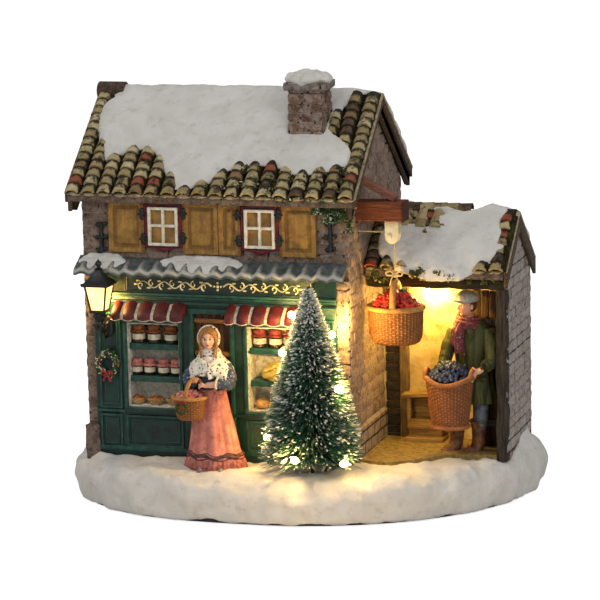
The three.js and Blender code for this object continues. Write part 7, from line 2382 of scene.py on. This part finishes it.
def woman():
    x0, y0 = 60.0, -13.0
    rows = [(19.3, 1.5, 11.5, 8.4, 0.05), (20.4, 1.6, 12.2, 8.9, 0.075),
            (22.5, 1.7, 12.1, 8.9, 0.08), (25.0, 1.6, 11.5, 8.7, 0.075),
            (28.0, 1.4, 10.7, 8.2, 0.07), (33.0, 1.2, 9.8, 7.6, 0.065),
            (38.0, 0.9, 9.0, 7.1, 0.055), (43.0, 0.7, 8.0, 6.4, 0.045), (47.5, 0.8, 7.0, 5.6, 0.03),
            (50.5, 1.0, 6.2, 5.0, 0.015), (52.6, 1.0, 5.6, 4.6, 0.0)]
    fine = []
    for (za, *a), (zb, *b) in zip(rows, rows[1:]):
        fine += [(za + (zb - za) * t, *[u + (v - u) * t for u, v in zip(a, b)])
                 for t in (0, 1 / 3, 2 / 3)]
    fine.append(rows[-1])
    skirt = skinned("woman_skirt_folds", [ring(x0 + dx, y0, z, rx, ry, 144, 0,
                                               lambda a, w=w: folds(a, w, 1.1))
                                          for z, dx, rx, ry, w in fine])
    kept(outward(skirt), "skirt", 80, ("woman_skirt",))
    ruffle, band = [], []
    for z, k in ((19.2, 1.0), (19.9, 1.06), (21.4, 1.03), (23.0, 1.0), (23.9, 0.975)):
        ruffle.append(ring(x0 + 1.7, y0, z, 12.2 * k, 8.9 * k, 240, 0,
                           lambda a, k=k: folds(a, 0.075, 1.1) * (1 + 0.03 * k * math.sin(34 * a))))
    kept(outward(skinned("woman_skirt_ruffle", ruffle)), "skirt_hem", 80)
    for k in range(3):
        line = []
        for i in range(200):
            a = 2 * math.pi * i / 200
            f = folds(a, 0.075, 1.1)
            z = (24.3, 26.3, 25.3)[k] + 0.5 * math.sin(7 * a + k)
            grow = 1.0 - (z - 22.5) * 0.018
            line.append((x0 + 1.65 + (12.15 * grow + 0.1) * f * math.cos(a),
                         y0 + (8.9 * grow + 0.1) * f * math.sin(a), z))
        band.append(rope("band", line, (0.28, 0.28, 0.7)[k], 0.05, 3, 1, 1.0, 6, closed=True))
    kept(joined("woman_skirt_band", band), "band_dark", 80)
    shoes = [limb_piece("shoe", [(x, -20.2, 19.7), (x + 0.2, -22.4, 19.9), (x + 0.3, -24.0, 19.7)],
                        [1.2, 1.5, 1.0], 12, 4, 0.7) for x in (57.2, 66.4)]
    kept(joined("woman_shoes", shoes), "silver_shoe", 60)
    bodice = skinned("woman_bodice", [ring(x0 + 0.8, y0, z, rx, ry, 64, 0,
                                           lambda a: folds(a, 0.012, 0.4))
                                      for z, rx, ry in ((51.8, 5.5, 4.5), (53.0, 5.6, 4.5),
                                                        (56.0, 6.2, 4.7), (60.0, 7.2, 4.9),
                                                        (63.0, 7.0, 4.6), (65.4, 4.6, 3.7))])
    sleeves = [limb_piece("sleeve", [(x0 + 7.0, y0 + 0.2, 63.0), (x0 + 9.5, y0 - 1.8, 58.8),
                                     (x0 + 9.2, y0 - 4.2, 56.2), (x0 + 5.4, y0 - 6.6, 57.0)],
                          [2.6, 2.7, 2.5, 2.0], 20, 7, 1.0, 0.05, 0.4),
               limb_piece("sleeve", [(x0 - 6.0, y0 + 0.2, 63.0), (x0 - 8.6, y0 - 1.8, 58.4),
                                     (x0 - 7.6, y0 - 4.4, 56.0), (x0 - 5.4, y0 - 6.0, 56.8)],
                          [2.7, 2.9, 2.5, 1.9], 20, 7, 1.0, 0.05, 1.4)]
    kept(joined("woman_blouse", [outward(bodice)] + sleeves), "blouse", 80,
         ("woman_top",))
    cuffs = [rope("cuff", [(x0 + 5.2 + 0.3 * math.sin(a), y0 - 6.6 + 2.1 * math.cos(a),
                            57.0 + 2.1 * math.sin(a)) for a in AROUND],
                  0.42, 0.2, 8, 2, closed=True)]
    kept(joined("woman_cuff", cuffs), "shawl_plain", 80)
    arm = limb_piece("woman_forearm", [(x0 + 6.6, y0 - 6.4, 56.9), (x0 + 3.4, y0 - 7.3, 56.4),
                                       (x0 + 1.0, y0 - 7.5, 56.2)], [1.55, 1.35, 1.1], 14, 5)
    left = hand("woman_left_hand", (x0 - 5.6, y0 - 6.4, 57.0), (x0 - 4.2, y0 - 7.4, 58.4),
                [(x0 - 2.4 - 0.2 * k, y0 - 8.4 - 0.25 * k, 58.9 - 0.5 * k) for k in range(4)], 0.5,
                (x0 - 4.6, y0 - 8.0, 59.9))
    right = hand("woman_right_hand", (x0 + 1.4, y0 - 7.5, 56.2), (x0 - 0.4, y0 - 8.0, 55.9),
                 [(x0 - 2.3, y0 - 8.4, 56.6 - 0.55 * k) for k in range(4)], 0.5,
                 (x0 - 0.8, y0 - 8.4, 57.4))
    kept(joined("woman_arm_and_hands", [arm, left, right]), "skin", 80)
    ribbon = [rope("waistband", rim_line(x0 + 1.0, y0, 52.8, 5.7, 4.65, 90), 0.62, 0.02, 1, 1, 1.0,
                   8, closed=True)]
    bx, by, bz = x0 + 4.6, y0 - 4.4, 52.8
    for s in (-1, 1):
        ribbon.append(along("loop", smoothed([(bx, by, bz), (bx + s * 1.4, by - 0.8, bz + 1.0),
                                              (bx + s * 2.3, by - 0.6, bz + 0.1),
                                              (bx + s * 1.2, by - 0.7, bz - 0.6), (bx, by, bz)], 5),
                            0.42, 8, 0.5))
        ribbon.append(along("tail", smoothed([(bx, by, bz), (bx + s * 0.7, by - 1.1, bz - 2.4),
                                              (bx + s * 1.2, by - 1.7, bz - 5.2)], 5),
                            lambda t: 0.4 + 0.3 * t, 8, 0.35))
    kept(joined("woman_ribbon", ribbon), "skirt", 60)

    def cape_ring(z, rx, ry, wave, lift):
        points = []
        for i in range(120):
            a = 2 * math.pi * i / 120
            front = math.exp(-(((a - 1.5 * math.pi) / 0.55) ** 2))
            k = folds(a, wave, 2.3)
            points.append((x0 + 0.4 + rx * k * math.cos(a), y0 + 0.2 + ry * k * math.sin(a),
                           z + lift * front))
        return points

    cape = [cape_ring(*row) for row in ((57.0, 10.7, 7.3, 0.05, 4.6), (57.3, 11.1, 7.6, 0.05, 4.5),
                                        (59.6, 10.7, 7.3, 0.045, 3.7), (62.0, 9.9, 6.7, 0.035, 2.4),
                                        (64.2, 8.6, 6.0, 0.025, 1.3), (66.0, 6.5, 5.0, 0.02, 0.6),
                                        (67.6, 4.9, 4.4, 0.02, 0.2), (69.0, 4.3, 4.2, 0.02, 0.0))]
    shawl = [outward(skinned("cape", cape))]
    head_at = (60.2, -14.6, 74.6)
    made, matrix = figure_head("woman_face", head_at, 12, 4.1, "woman_skin", 0.34)
    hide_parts("woman_head")
    neck = rod("woman_neck", (60.4, -13.6, 64.5), (60.5, -13.9, 72.4), 2.1, 1.8, 20)
    kept(neck, "skin", 60)
    hair = shaped("woman_hair", matrix, (0, 0.14, 0.10), 1.0, (1.02, 0.95, 1.2),
                  [((0, -0.46, 0), (0, -1, -0.16))])
    locks = []
    for s in (-1, 1):
        for k in range(5):
            line = [(s * (0.04 + 0.10 * k), -0.80 + 0.06 * k, 0.98 - 0.04 * k),
                    (s * (0.46 + 0.08 * k), -0.72 + 0.10 * k, 0.70),
                    (s * (0.78 + 0.03 * k), -0.54 + 0.10 * k, 0.16),
                    (s * (0.80 + 0.03 * k), -0.46 + 0.08 * k, -0.55),
                    (s * (0.70 + 0.04 * k), -0.62 + 0.08 * k, -1.25),
                    (s * (0.62 + 0.05 * k), -0.72 + 0.06 * k, -1.75)]
            pts = [tuple(in_mm(matrix @ Vector(p))) for p in line]
            locks.append(along("lock", smoothed(pts, 6), lambda t: 0.48 * (1 - 0.45 * t), 8, 0.8))
    kept(joined("woman_hair", [hair] + locks), "hair_blonde", 70)
    hood = shaped("hood", matrix, (0, 0.30, 0.06), 1.0, (1.1, 1.06, 1.28),
                  [((0, -0.06, 0.2), (0, -1, 0.22)), ((0, 0, -1.15), (0, 0, -1))], 0.1)
    shawl.append(hood)
    shawl.append(skinned("nape", [ring(60.2, -12.6, z, rx, ry, 60, 0,
                                       lambda a: folds(a, 0.03, 0.9))
                                  for z, rx, ry in ((65.5, 5.6, 4.6), (67.5, 4.9, 4.4),
                                                    (69.4, 4.5, 4.3), (70.4, 3.6, 3.4))]))
    kx, ky, kz = 61.0, -19.4, 64.2
    shawl.append(ball("knot", (kx, ky, kz), 1.25, 10, 14, (1.2, 0.9, 1.0)))
    for s, dz in ((-1, 4.2), (1, 5.2)):
        shawl.append(along("tie", smoothed([(kx, ky, kz), (kx + s * 1.1, ky - 0.6, kz - dz * 0.5),
                                            (kx + s * 1.8, ky - 0.2, kz - dz)], 5),
                           lambda t: 0.75 + 0.75 * t, 10, 0.4))
        shawl.append(along("roll", smoothed([(kx, ky, kz), (kx + s * 3.0, ky + 1.4, kz + 1.7),
                                             (kx + s * 5.0, ky + 4.4, kz + 3.2)], 6),
                           lambda t: 1.15 - 0.2 * t, 12, 0.8))
    kept(outward(joined("woman_shawl_folds", shawl)), "shawl", 70, ("woman_shawl",))


def woman_basket():
    cx, cy = 53.2, -20.4
    profile = [(41.2, 4.8, 3.7), (42.2, 5.7, 4.5), (45.5, 6.3, 5.1), (50.6, 7.2, 5.9)]
    bowl = woven("woman_basket_weave", cx, cy, profile, 32, 12, 0.32)
    kept(bowl, "tan_wicker", 70, ("woman_basket",))
    rim = rope("woman_basket_rim", rim_line(cx, cy, 50.9, 7.2, 5.9, 200), 0.45, 0.45, 22, 3, 0.9, 6,
               closed=True)
    arc = []
    for i in range(81):
        a = math.pi * i / 80
        arc.append((cx + 2.4 - 2.4 * math.cos(a), cy - 5.2 * math.cos(a), 50.6 + 8.2 * math.sin(a)))
    handle = rope("handle", arc, 0.46, 0.5, 9, 3, 0.8, 6, across=(1, 0, 0))
    kept(joined("woman_basket_rim", [rim, handle]), "pale_wicker", 70)
    heap("woman_basket_fruit", cx, cy, 50.4, 6.1, 4.8, 2.6, 0.85, 70, "berry_pink", 71)
    chance = random.Random(72)
    leaf = leaf_template(1.3, 0.4, 0.25)
    places, tones = [], []
    for _ in range(110):
        a = chance.uniform(0, 2 * math.pi)
        x, z = cx - 2.0 + 2.1 * math.cos(a), 46.9 + 2.1 * math.sin(a)
        y = (cy - 5.6 * math.sqrt(max(0.05, 1 - ((x - cx) / 7.2) ** 2)) - 0.4
             + chance.uniform(-0.2, 0.1))
        places.append(placed(x, y, z, (90 + chance.uniform(-30, 30), -math.degrees(a) + 90,
                                       chance.uniform(-30, 30))))
        tones.append(chance.random() * 0.85)
    kept(spread("woman_basket_wreath", leaf, places, tones), "needle", 60)
    bow = [ball("knot", (cx - 2.0, -26.4, 49.4), 0.5, 8, 10)]
    for s in (-1, 1):
        bow.append(along("loop", smoothed([(cx - 2.0, -26.3, 49.4),
                                           (cx - 2.0 + s * 1.2, -26.6, 50.3),
                                           (cx - 2.0 + s * 1.8, -26.4, 49.5),
                                           (cx - 2.0, -26.3, 49.3)], 5), 0.36, 8, 0.5))
    kept(joined("woman_basket_bow", bow), "ribbon_red", 60)


def man():
    x0, y0 = 162.0, 32.0
    trousers = [limb_piece("leg", [(x0 + 3.4, y0, 47), (x0 + 4.0, y0 - 0.4, 40),
                                   (x0 + 3.4, y0 - 0.2, 33), (x0 + 3.2, y0, 30)],
                           [3.9, 3.3, 3.1, 2.7], 24, 8, 1.0, 0.04, 0.3),
                limb_piece("leg", [(x0 - 2.4, y0, 47), (x0 - 5.0, y0 - 0.2, 40),
                                   (x0 - 6.4, y0 + 0.4, 34), (x0 - 6.8, y0 + 0.6, 30)],
                           [3.9, 3.3, 3.1, 2.7], 24, 8, 1.0, 0.04, 1.3)]
    kept(joined("man_trousers", trousers), "trousers", 80, ("man_legs",))
    boots, soles = [], []
    for x, y in ((x0 + 2.8, y0), (x0 - 7.0, y0 + 0.6)):
        boots.append(limb_piece("boot", [(x, y, 34.2), (x + 0.2, y, 29.5), (x, y, 25),
                                         (x - 1.0, y - 1.2, 21.9), (x - 3.4, y - 3.0, 20.9),
                                         (x - 5.4, y - 4.4, 20.5)], [3.5, 3.1, 2.9, 2.9, 2.4, 1.5],
                                22, 7, 1.0, 0.035, x))
        boots.append(rope("cuff", rim_line(x, y, 33.9, 3.5, 3.5, 60), 0.55, 0.1, 3, 2, closed=True))
        for k in range(4):
            z = 24.4 + 1.7 * k
            boots.append(along("lace", [(x - 2.6 + 0.2 * k, y - 2.2, z),
                                        (x - 1.4, y - 2.9, z + 0.5), (x - 0.2, y - 3.0, z + 0.2)],
                               0.2, 6))
        soles.append(limb_piece("sole", [(x + 2.2, y + 1.6, 19.3), (x - 1.0, y - 1.0, 19.3),
                                         (x - 3.6, y - 3.0, 19.3), (x - 5.8, y - 4.6, 19.3)],
                                [1.6, 2.7, 2.5, 1.4], 16, 5, 0.32))
    kept(joined("man_boots", boots), "boot_brown", 70)
    kept(joined("man_soles", soles), "charred", 70)

    def coat_ring(z, dx, rx, ry, wave):
        return ring(x0 + dx, y0, z, rx, ry, 120, 0, lambda a: folds(a, wave, 0.7))

    rows = [(42.2, 2.0, 8.2, 6.5, 0.075), (43.0, 2.0, 8.5, 6.8, 0.075),
            (48.0, 1.7, 8.0, 6.4, 0.065), (54.0, 1.2, 7.6, 6.0, 0.05), (60.0, 0.8, 7.5, 5.8, 0.035),
            (66.0, 0.4, 7.9, 5.7, 0.025), (71.0, 0.1, 8.4, 5.5, 0.015), (74.2, 0.0, 7.9, 5.0, 0.01),
            (76.6, -0.2, 5.6, 4.3, 0.01), (78.2, -0.6, 3.6, 3.4, 0.0)]
    coat = [outward(skinned("coat", [coat_ring(*row) for row in rows]))]
    coat.append(limb_piece("sleeve", [(x0 + 7.0, y0 - 0.2, 73.2), (x0 + 9.6, y0 - 2.6, 67.0),
                                      (x0 + 10.2, y0 - 5.2, 61.6), (x0 + 7.8, y0 - 8.6, 59.2)],
                           [3.1, 3.4, 3.2, 2.6], 24, 9, 1.0, 0.05, 0.9))
    coat.append(limb_piece("sleeve", [(x0 - 7.0, y0 - 0.2, 73.0), (x0 - 9.0, y0 - 2.2, 67.4),
                                      (x0 - 10.0, y0 - 4.6, 62.4), (x0 - 10.6, y0 - 7.6, 59.6)],
                           [3.0, 3.2, 2.9, 2.3], 24, 9, 1.0, 0.05, 2.1))
    coat.append(rope("cuff", [(x0 + 7.6 + 0.7 * math.cos(a), y0 - 8.8 + 1.8 * math.cos(a),
                               59.2 + 2.5 * math.sin(a)) for a in AROUND],
                     0.55, 0.1, 3, 2, closed=True))
    edge = [(x0 - 3.4, y0 - 5.5, 76.0), (x0 - 2.2, y0 - 6.1, 66.0), (x0 - 1.0, y0 - 6.2, 56.0),
            (x0 + 0.2, y0 - 6.9, 44.0)]
    coat.append(along("edge", smoothed(edge, 8), 0.55, 8, 0.6))
    for line in ([(x0 - 1.4, y0 - 4.9, 77.2), (x0 + 1.6, y0 - 6.0, 72.4),
                  (x0 - 0.6, y0 - 6.4, 67.6)],
                 [(x0 - 3.8, y0 - 4.8, 77.0), (x0 - 6.4, y0 - 4.8, 72.8),
                  (x0 - 4.8, y0 - 5.8, 68.0)]):
        coat.append(along("lapel", smoothed(line, 8),
                          lambda t: 1.15 * math.sin(math.pi * min(1, t + 0.12)) + 0.25, 10, 0.4))
    coat.append(block("pocket", (x0 + 3.4, x0 + 7.6), (y0 - 6.6, y0 - 4.6), (52.6, 54.4), 0.4))
    kept(joined("man_coat_folds", coat), "coat", 70, ("man_coat",))
    buttons = [ball("button", (x0 - 1.5 + 0.1 * k, y0 - 6.5 - 0.1 * k, 64.0 - 4.6 * k), 0.5, 6, 10,
                    (1, 0.5, 1)) for k in range(4)]
    kept(joined("man_buttons", buttons), "brass", 60)
    scarf = [rope("wrap", rim_line(x0 - 1.4, y0 - 0.8, z, rx, ry, 60,
                                   lambda a: 0.5 * math.cos(a + 0.6)),
                  r, 0.12, 5, 2, closed=True)
             for z, rx, ry, r in ((77.4, 4.5, 4.1, 1.15), (79.0, 4.0, 3.7, 1.0),
                                  (75.8, 5.2, 4.4, 1.1))]
    for dx, low, wide in ((-3.6, 65.4, 2.5), (-5.0, 68.6, 2.1)):
        scarf.append(limb_piece("end", [(x0 + dx + 1.4, y0 - 4.6, 77.4),
                                        (x0 + dx + 0.4, y0 - 6.4, 73.6), (x0 + dx, y0 - 6.9, 69.0),
                                        (x0 + dx + 0.2, y0 - 7.0, low)],
                                [1.6, wide, wide, wide * 0.95], 20, 7, 0.42, 0.04, dx))
        for k in range(7):
            fx = x0 + dx + 0.2 + (k - 3) * wide * 0.28
            scarf.append(along("fringe", [(fx, y0 - 7.0, low + 0.2),
                                          (fx + 0.1, y0 - 7.1, low - 1.3)], 0.2, 5))
    kept(joined("man_scarf", scarf), "scarf", 70)
    head_at = (x0 - 1.6, y0 - 0.9, 83.7)
    made, matrix = figure_head("man_face", head_at, -40, 4.35, "man_skin", 0.2)
    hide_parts("man_head")
    kept(rod("man_neck", (x0 - 1.2, y0 - 0.2, 75), (x0 - 1.4, y0 - 0.5, 81), 2.5, 2.3, 20), "skin",
         60)
    ears = [shaped("ear", matrix, (s * 0.80, 0.02, 0.0), 0.2, (0.5, 0.85, 1.3)) for s in (-1, 1)]
    kept(joined("man_ears", ears), "skin", 80)
    hair = shaped("man_hair", matrix, (0, 0.16, 0.12), 1.0, (0.83, 0.85, 1.06),
                  [((0, -0.22, 0), (0, -1, 0.3)), ((0, 0, -0.5), (0, 0.25, -1))])
    kept(hair, "hair_brown", 70)
    cap = [shaped("crown", matrix, (0, 0.02, 0.70), 1.0, (1.12, 1.28, 0.86),
                  [((0, 0, 0.56), (0, 0.12, -1))])]
    cap.append(shaped("peak", matrix, (0, -0.98, 0.60), 1.0, (0.72, 0.56, 0.13)))
    band = []
    for i in range(60):
        a = 2 * math.pi * i / 60
        p = matrix @ Vector((0.93 * math.cos(a), 0.03 + 1.04 * math.sin(a),
                             0.60 + 0.03 * math.sin(a)))
        band.append(tuple(in_mm(p)))
    cap.append(rope("band", band, 0.5, 0.08, 3, 2, closed=True))
    for k in range(8):
        a = 2 * math.pi * k / 8
        line = [(0, 0.05, 1.55)] + [(1.13 * math.sin(t) * math.cos(a),
                                     0.02 + 1.29 * math.sin(t) * math.sin(a),
                                     0.70 + 0.88 * math.cos(t)) for t in (0.4, 0.8, 1.2, 1.55)]
        pts = [tuple(in_mm(matrix @ Vector(p))) for p in line]
        cap.append(along("seam", pts, 0.16, 6))
    cap.append(shaped("button", matrix, (0, 0.05, 1.57), 0.12, (1, 1, 0.5)))
    kept(joined("man_cap", cap), "cap", 70)
    right = hand("man_right_hand", (x0 + 7.0, y0 - 9.8, 58.6), (x0 + 4.9, y0 - 11.6, 57.4),
                 [(x0 + 2.9 + 0.3 * k, y0 - 13.6 - 0.5 * k, 57.0 - 1.0 * k) for k in range(4)],
                 0.72, (x0 + 3.2, y0 - 11.4, 59.4))
    left = hand("man_left_hand", (x0 - 10.8, y0 - 8.4, 59.0), (x0 - 12.0, y0 - 10.4, 57.4),
                [(x0 - 13.6 + 0.3 * k, y0 - 12.2 - 0.5 * k, 56.6 - 0.9 * k) for k in range(4)],
                0.68, (x0 - 11.2, y0 - 11.6, 58.4))
    kept(joined("man_hands", [right, left]), "skin", 80)


def man_basket():
    cx, cy = 155.4, 19.6
    dip = lambda a: 2.6 * math.exp(-(((a - 1.5 * math.pi) / 0.75) ** 2)) + 2.0 * math.exp(
            -(((a - 0.5 * math.pi) / 0.75) ** 2))
    profile = [(33.2, 7.0, 5.6), (34.6, 8.0, 6.5), (40.0, 8.7, 7.1), (48.0, 9.6, 7.9),
               (55.2, 10.5, 8.7)]
    bowl = woven("man_basket_weave", cx, cy, profile, 40, 25, 0.42, dip)
    kept(bowl, "brown_wicker", 70, ("man_basket",))
    rim = [rope("rim", rim_line(cx, cy, 55.6, 10.5, 8.7, 260, dip), 0.6, 0.6, 26, 3, 0.9, 6,
                closed=True), rope("foot", rim_line(cx, cy, 34.2, 7.9, 6.4, 200), 0.5, 0.5, 22, 3,
                                   0.9, 6, closed=True)]
    for side in (-1, 1):
        arc = []
        for i in range(61):
            a = math.pi * i / 60
            arc.append((cx + side * (9.7 + 0.4 * math.sin(a)), cy - 3.6 * math.cos(a),
                        55.0 + 3.4 * math.sin(a)))
        rim.append(rope("loop", arc, 0.55, 0.55, 6, 3, 0.8, 6, across=(1, 0, 0)))
    kept(joined("man_basket_rim", rim), "brown_rim", 70)
    heap("man_basket_berries", cx, cy, 54.6, 9.2, 7.4, 6.6, 0.86, 270, "berry_blue", 81,
         dip=dip)
    chance = random.Random(82)
    leaf = leaf_template(1.6, 0.42, 0.3)
    spots = []
    for _ in range(18):
        a, share = chance.uniform(0, 6.28), chance.uniform(0.2, 0.95)
        spots.append((cx + 9 * share * math.cos(a), cy + 7 * share * math.sin(a),
                      55.6 + 6.2 * (1 - share ** 2.2), 0.4, 2, 0.4))
    tufts("man_basket_leaves", "needle", spots, leaf, 83)


def people():
    woman()
    woman_basket()
    man()
    man_basket()


# Studio
def studio():
    scene = bpy.context.scene
    scene.view_settings.view_transform = "Standard"
    world = bpy.data.worlds.new("studio")
    scene.world = world
    world.use_nodes = True
    net = Net(world.node_tree)
    background = world.node_tree.nodes["Background"]
    path = world.node_tree.nodes.new("ShaderNodeLightPath")
    plain = net.maths("MAXIMUM", path.outputs["Is Camera Ray"], path.outputs["Is Transmission Ray"])
    background.inputs["Color"].default_value = WORLD_TINT
    strength = net.add("ShaderNodeMix", {0: plain, 2: WORLD_LEVEL, 3: 1.0}, data_type="FLOAT")
    net.plug(background.inputs["Strength"], strength)
    floor = fresh("plane", size=8, location=(0, 0, -0.0004))
    floor.name = "studio_floor"
    paper = Finish("studio_paper", rough=0.9, Base_Color="e9e9e8", Specular_IOR_Level=0.1)
    ray = paper.tree.nodes.new("ShaderNodeLightPath")
    seen = paper.maths("MULTIPLY", ray.outputs["Is Camera Ray"], 0.75)
    paper.set(Emission_Color="ffffff", Emission_Strength=seen)
    floor.data.materials.append(paper.material)
    floor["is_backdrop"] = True
    for name, at, aim, size, power in STUDIO_LIGHTS:
        data = bpy.data.lights.new(name, "AREA")
        data.shape = "DISK"
        data.size = size
        data.energy = power
        light = in_scene(name, data)
        light.location = at
        way = Vector(aim) - Vector(at)
        light.rotation_euler = way.to_track_quat("-Z", "Y").to_euler()


def lamp(name, at, power, radius=1.0, tint="ffcf78"):
    """A warm point of light, in mm and watts."""
    data = bpy.data.lights.new(name, "POINT")
    data.energy = power
    data.color = colour(tint)[:3]
    data.shadow_soft_size = radius / 1000
    in_scene(name, data).location = mm(*at)


WORLD_LEVEL = 0.34
WORLD_TINT = (1.0, 0.99, 0.975, 1.0)
STUDIO_LIGHTS = [
    ("key_light", (-0.55, -0.9, 0.95), (0, 0, 0.07), 0.7, 3.5),
    ("fill_light", (0.85, -0.8, 0.55), (0, 0, 0.07), 0.8, 3.0),
    ("top_light", (0.1, 0.25, 1.2), (0, 0, 0.1), 0.9, 1.6),
]


TREE_LAMP_POWERS = (0.03, 0.03, 0.03, 0.026, 0.016, 0.03, 0.009)
SHOP_LAMPS = [
    ("pier_light", (122.5, -7.5, 84), 0.036, 1.2, "ffd070"),
    ("lantern_light", (11.4, -12.8, 90), 0.07, 1.5),
    ("lantern_back_light", (10.6, -7.0, 88), 0.03, 1.5),
    ("shed_light", (144.2, 26.6, 85.4), 0.066, 1.5, "ffca55"),
    ("alcove_light", (142.5, 46, 85), 0.05, 1.0, "ffd470"),
]


def write_size():
    boxes = {"cad": CAD_BOX, "visual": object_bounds()}
    plain = {name: [[round(v, 6) for v in corner] for corner in box] for name, box in boxes.items()}


def build():
    random.seed(11)
    make_camera()
    make_finishes()
    for key, nodes in NODE_FINISHES.items():
        for node in nodes:
            coated(NODES[node].data, key)
    base = cast("base_snow", "snow_base", voxel=1.1, rounds=8,
                lumps=((1.3, 9.0), (0.5, 3.2), (0.15, 1.3)))
    kept(base_skirt(base), "snow", 0, ("snow_base",))
    kept(cast("roof_blanket", "roof_snow", voxel=0.9, rounds=8, lumps=((0.7, 8.0), (0.25, 2.2))),
         "snow", 0, ("roof_snow",))
    kept(cast("shed_blanket", "shed_snow", voxel=0.8, rounds=7, lumps=((0.6, 7.0), (0.25, 2.2))),
         "snow", 0, ("shed_snow",))
    drift = cast("chimney_drift", "chimney_snow", voxel=0.5, rounds=4, lumps=((1.0, 3.0),))
    for vertex in drift.data.vertices:
        middle = mm(94.7, 25.0, 0)
        vertex.co.x = middle.x + (vertex.co.x - middle.x) * 1.12
        vertex.co.y = middle.y + (vertex.co.y - middle.y) * 1.12
        vertex.co.z -= 0.0009
    kept(drift, "snow", 0, ("chimney_snow",))
    roofs()
    walls()
    chimney_stones()
    front()
    yard()
    people()
    bristles()
    flocking()
    tree_stem()
    light_string()
    place_lamps()
    studio()


def base_skirt(piece):
    """Draws the snow's lower edge down, unevenly, so that it all but hides the dark plate."""
    for vertex in piece.data.vertices:
        z = vertex.co.z * 1000
        if z < 7:
            at = vertex.co * 1000
            hang = 0.5 + noise.noise(Vector((at.x / 9, at.y / 9, 3.0)))
            front = max(0.0, -at.y / 60) * max(0.0, 1 - (at.x / 70) ** 2)
            floor = 0.3 + 1.7 * front * hang
            vertex.co.z = max(floor, z - (7 - z) * 0.75) / 1000
    return piece


def place_lamps():
    for index, (at, power) in enumerate(zip(LAMP_PLACES, TREE_LAMP_POWERS)):
        lamp(f"tree_light_{index}", at, power, 0.8)
    for settings in SHOP_LAMPS:
        lamp(*settings)


build()
write_size()
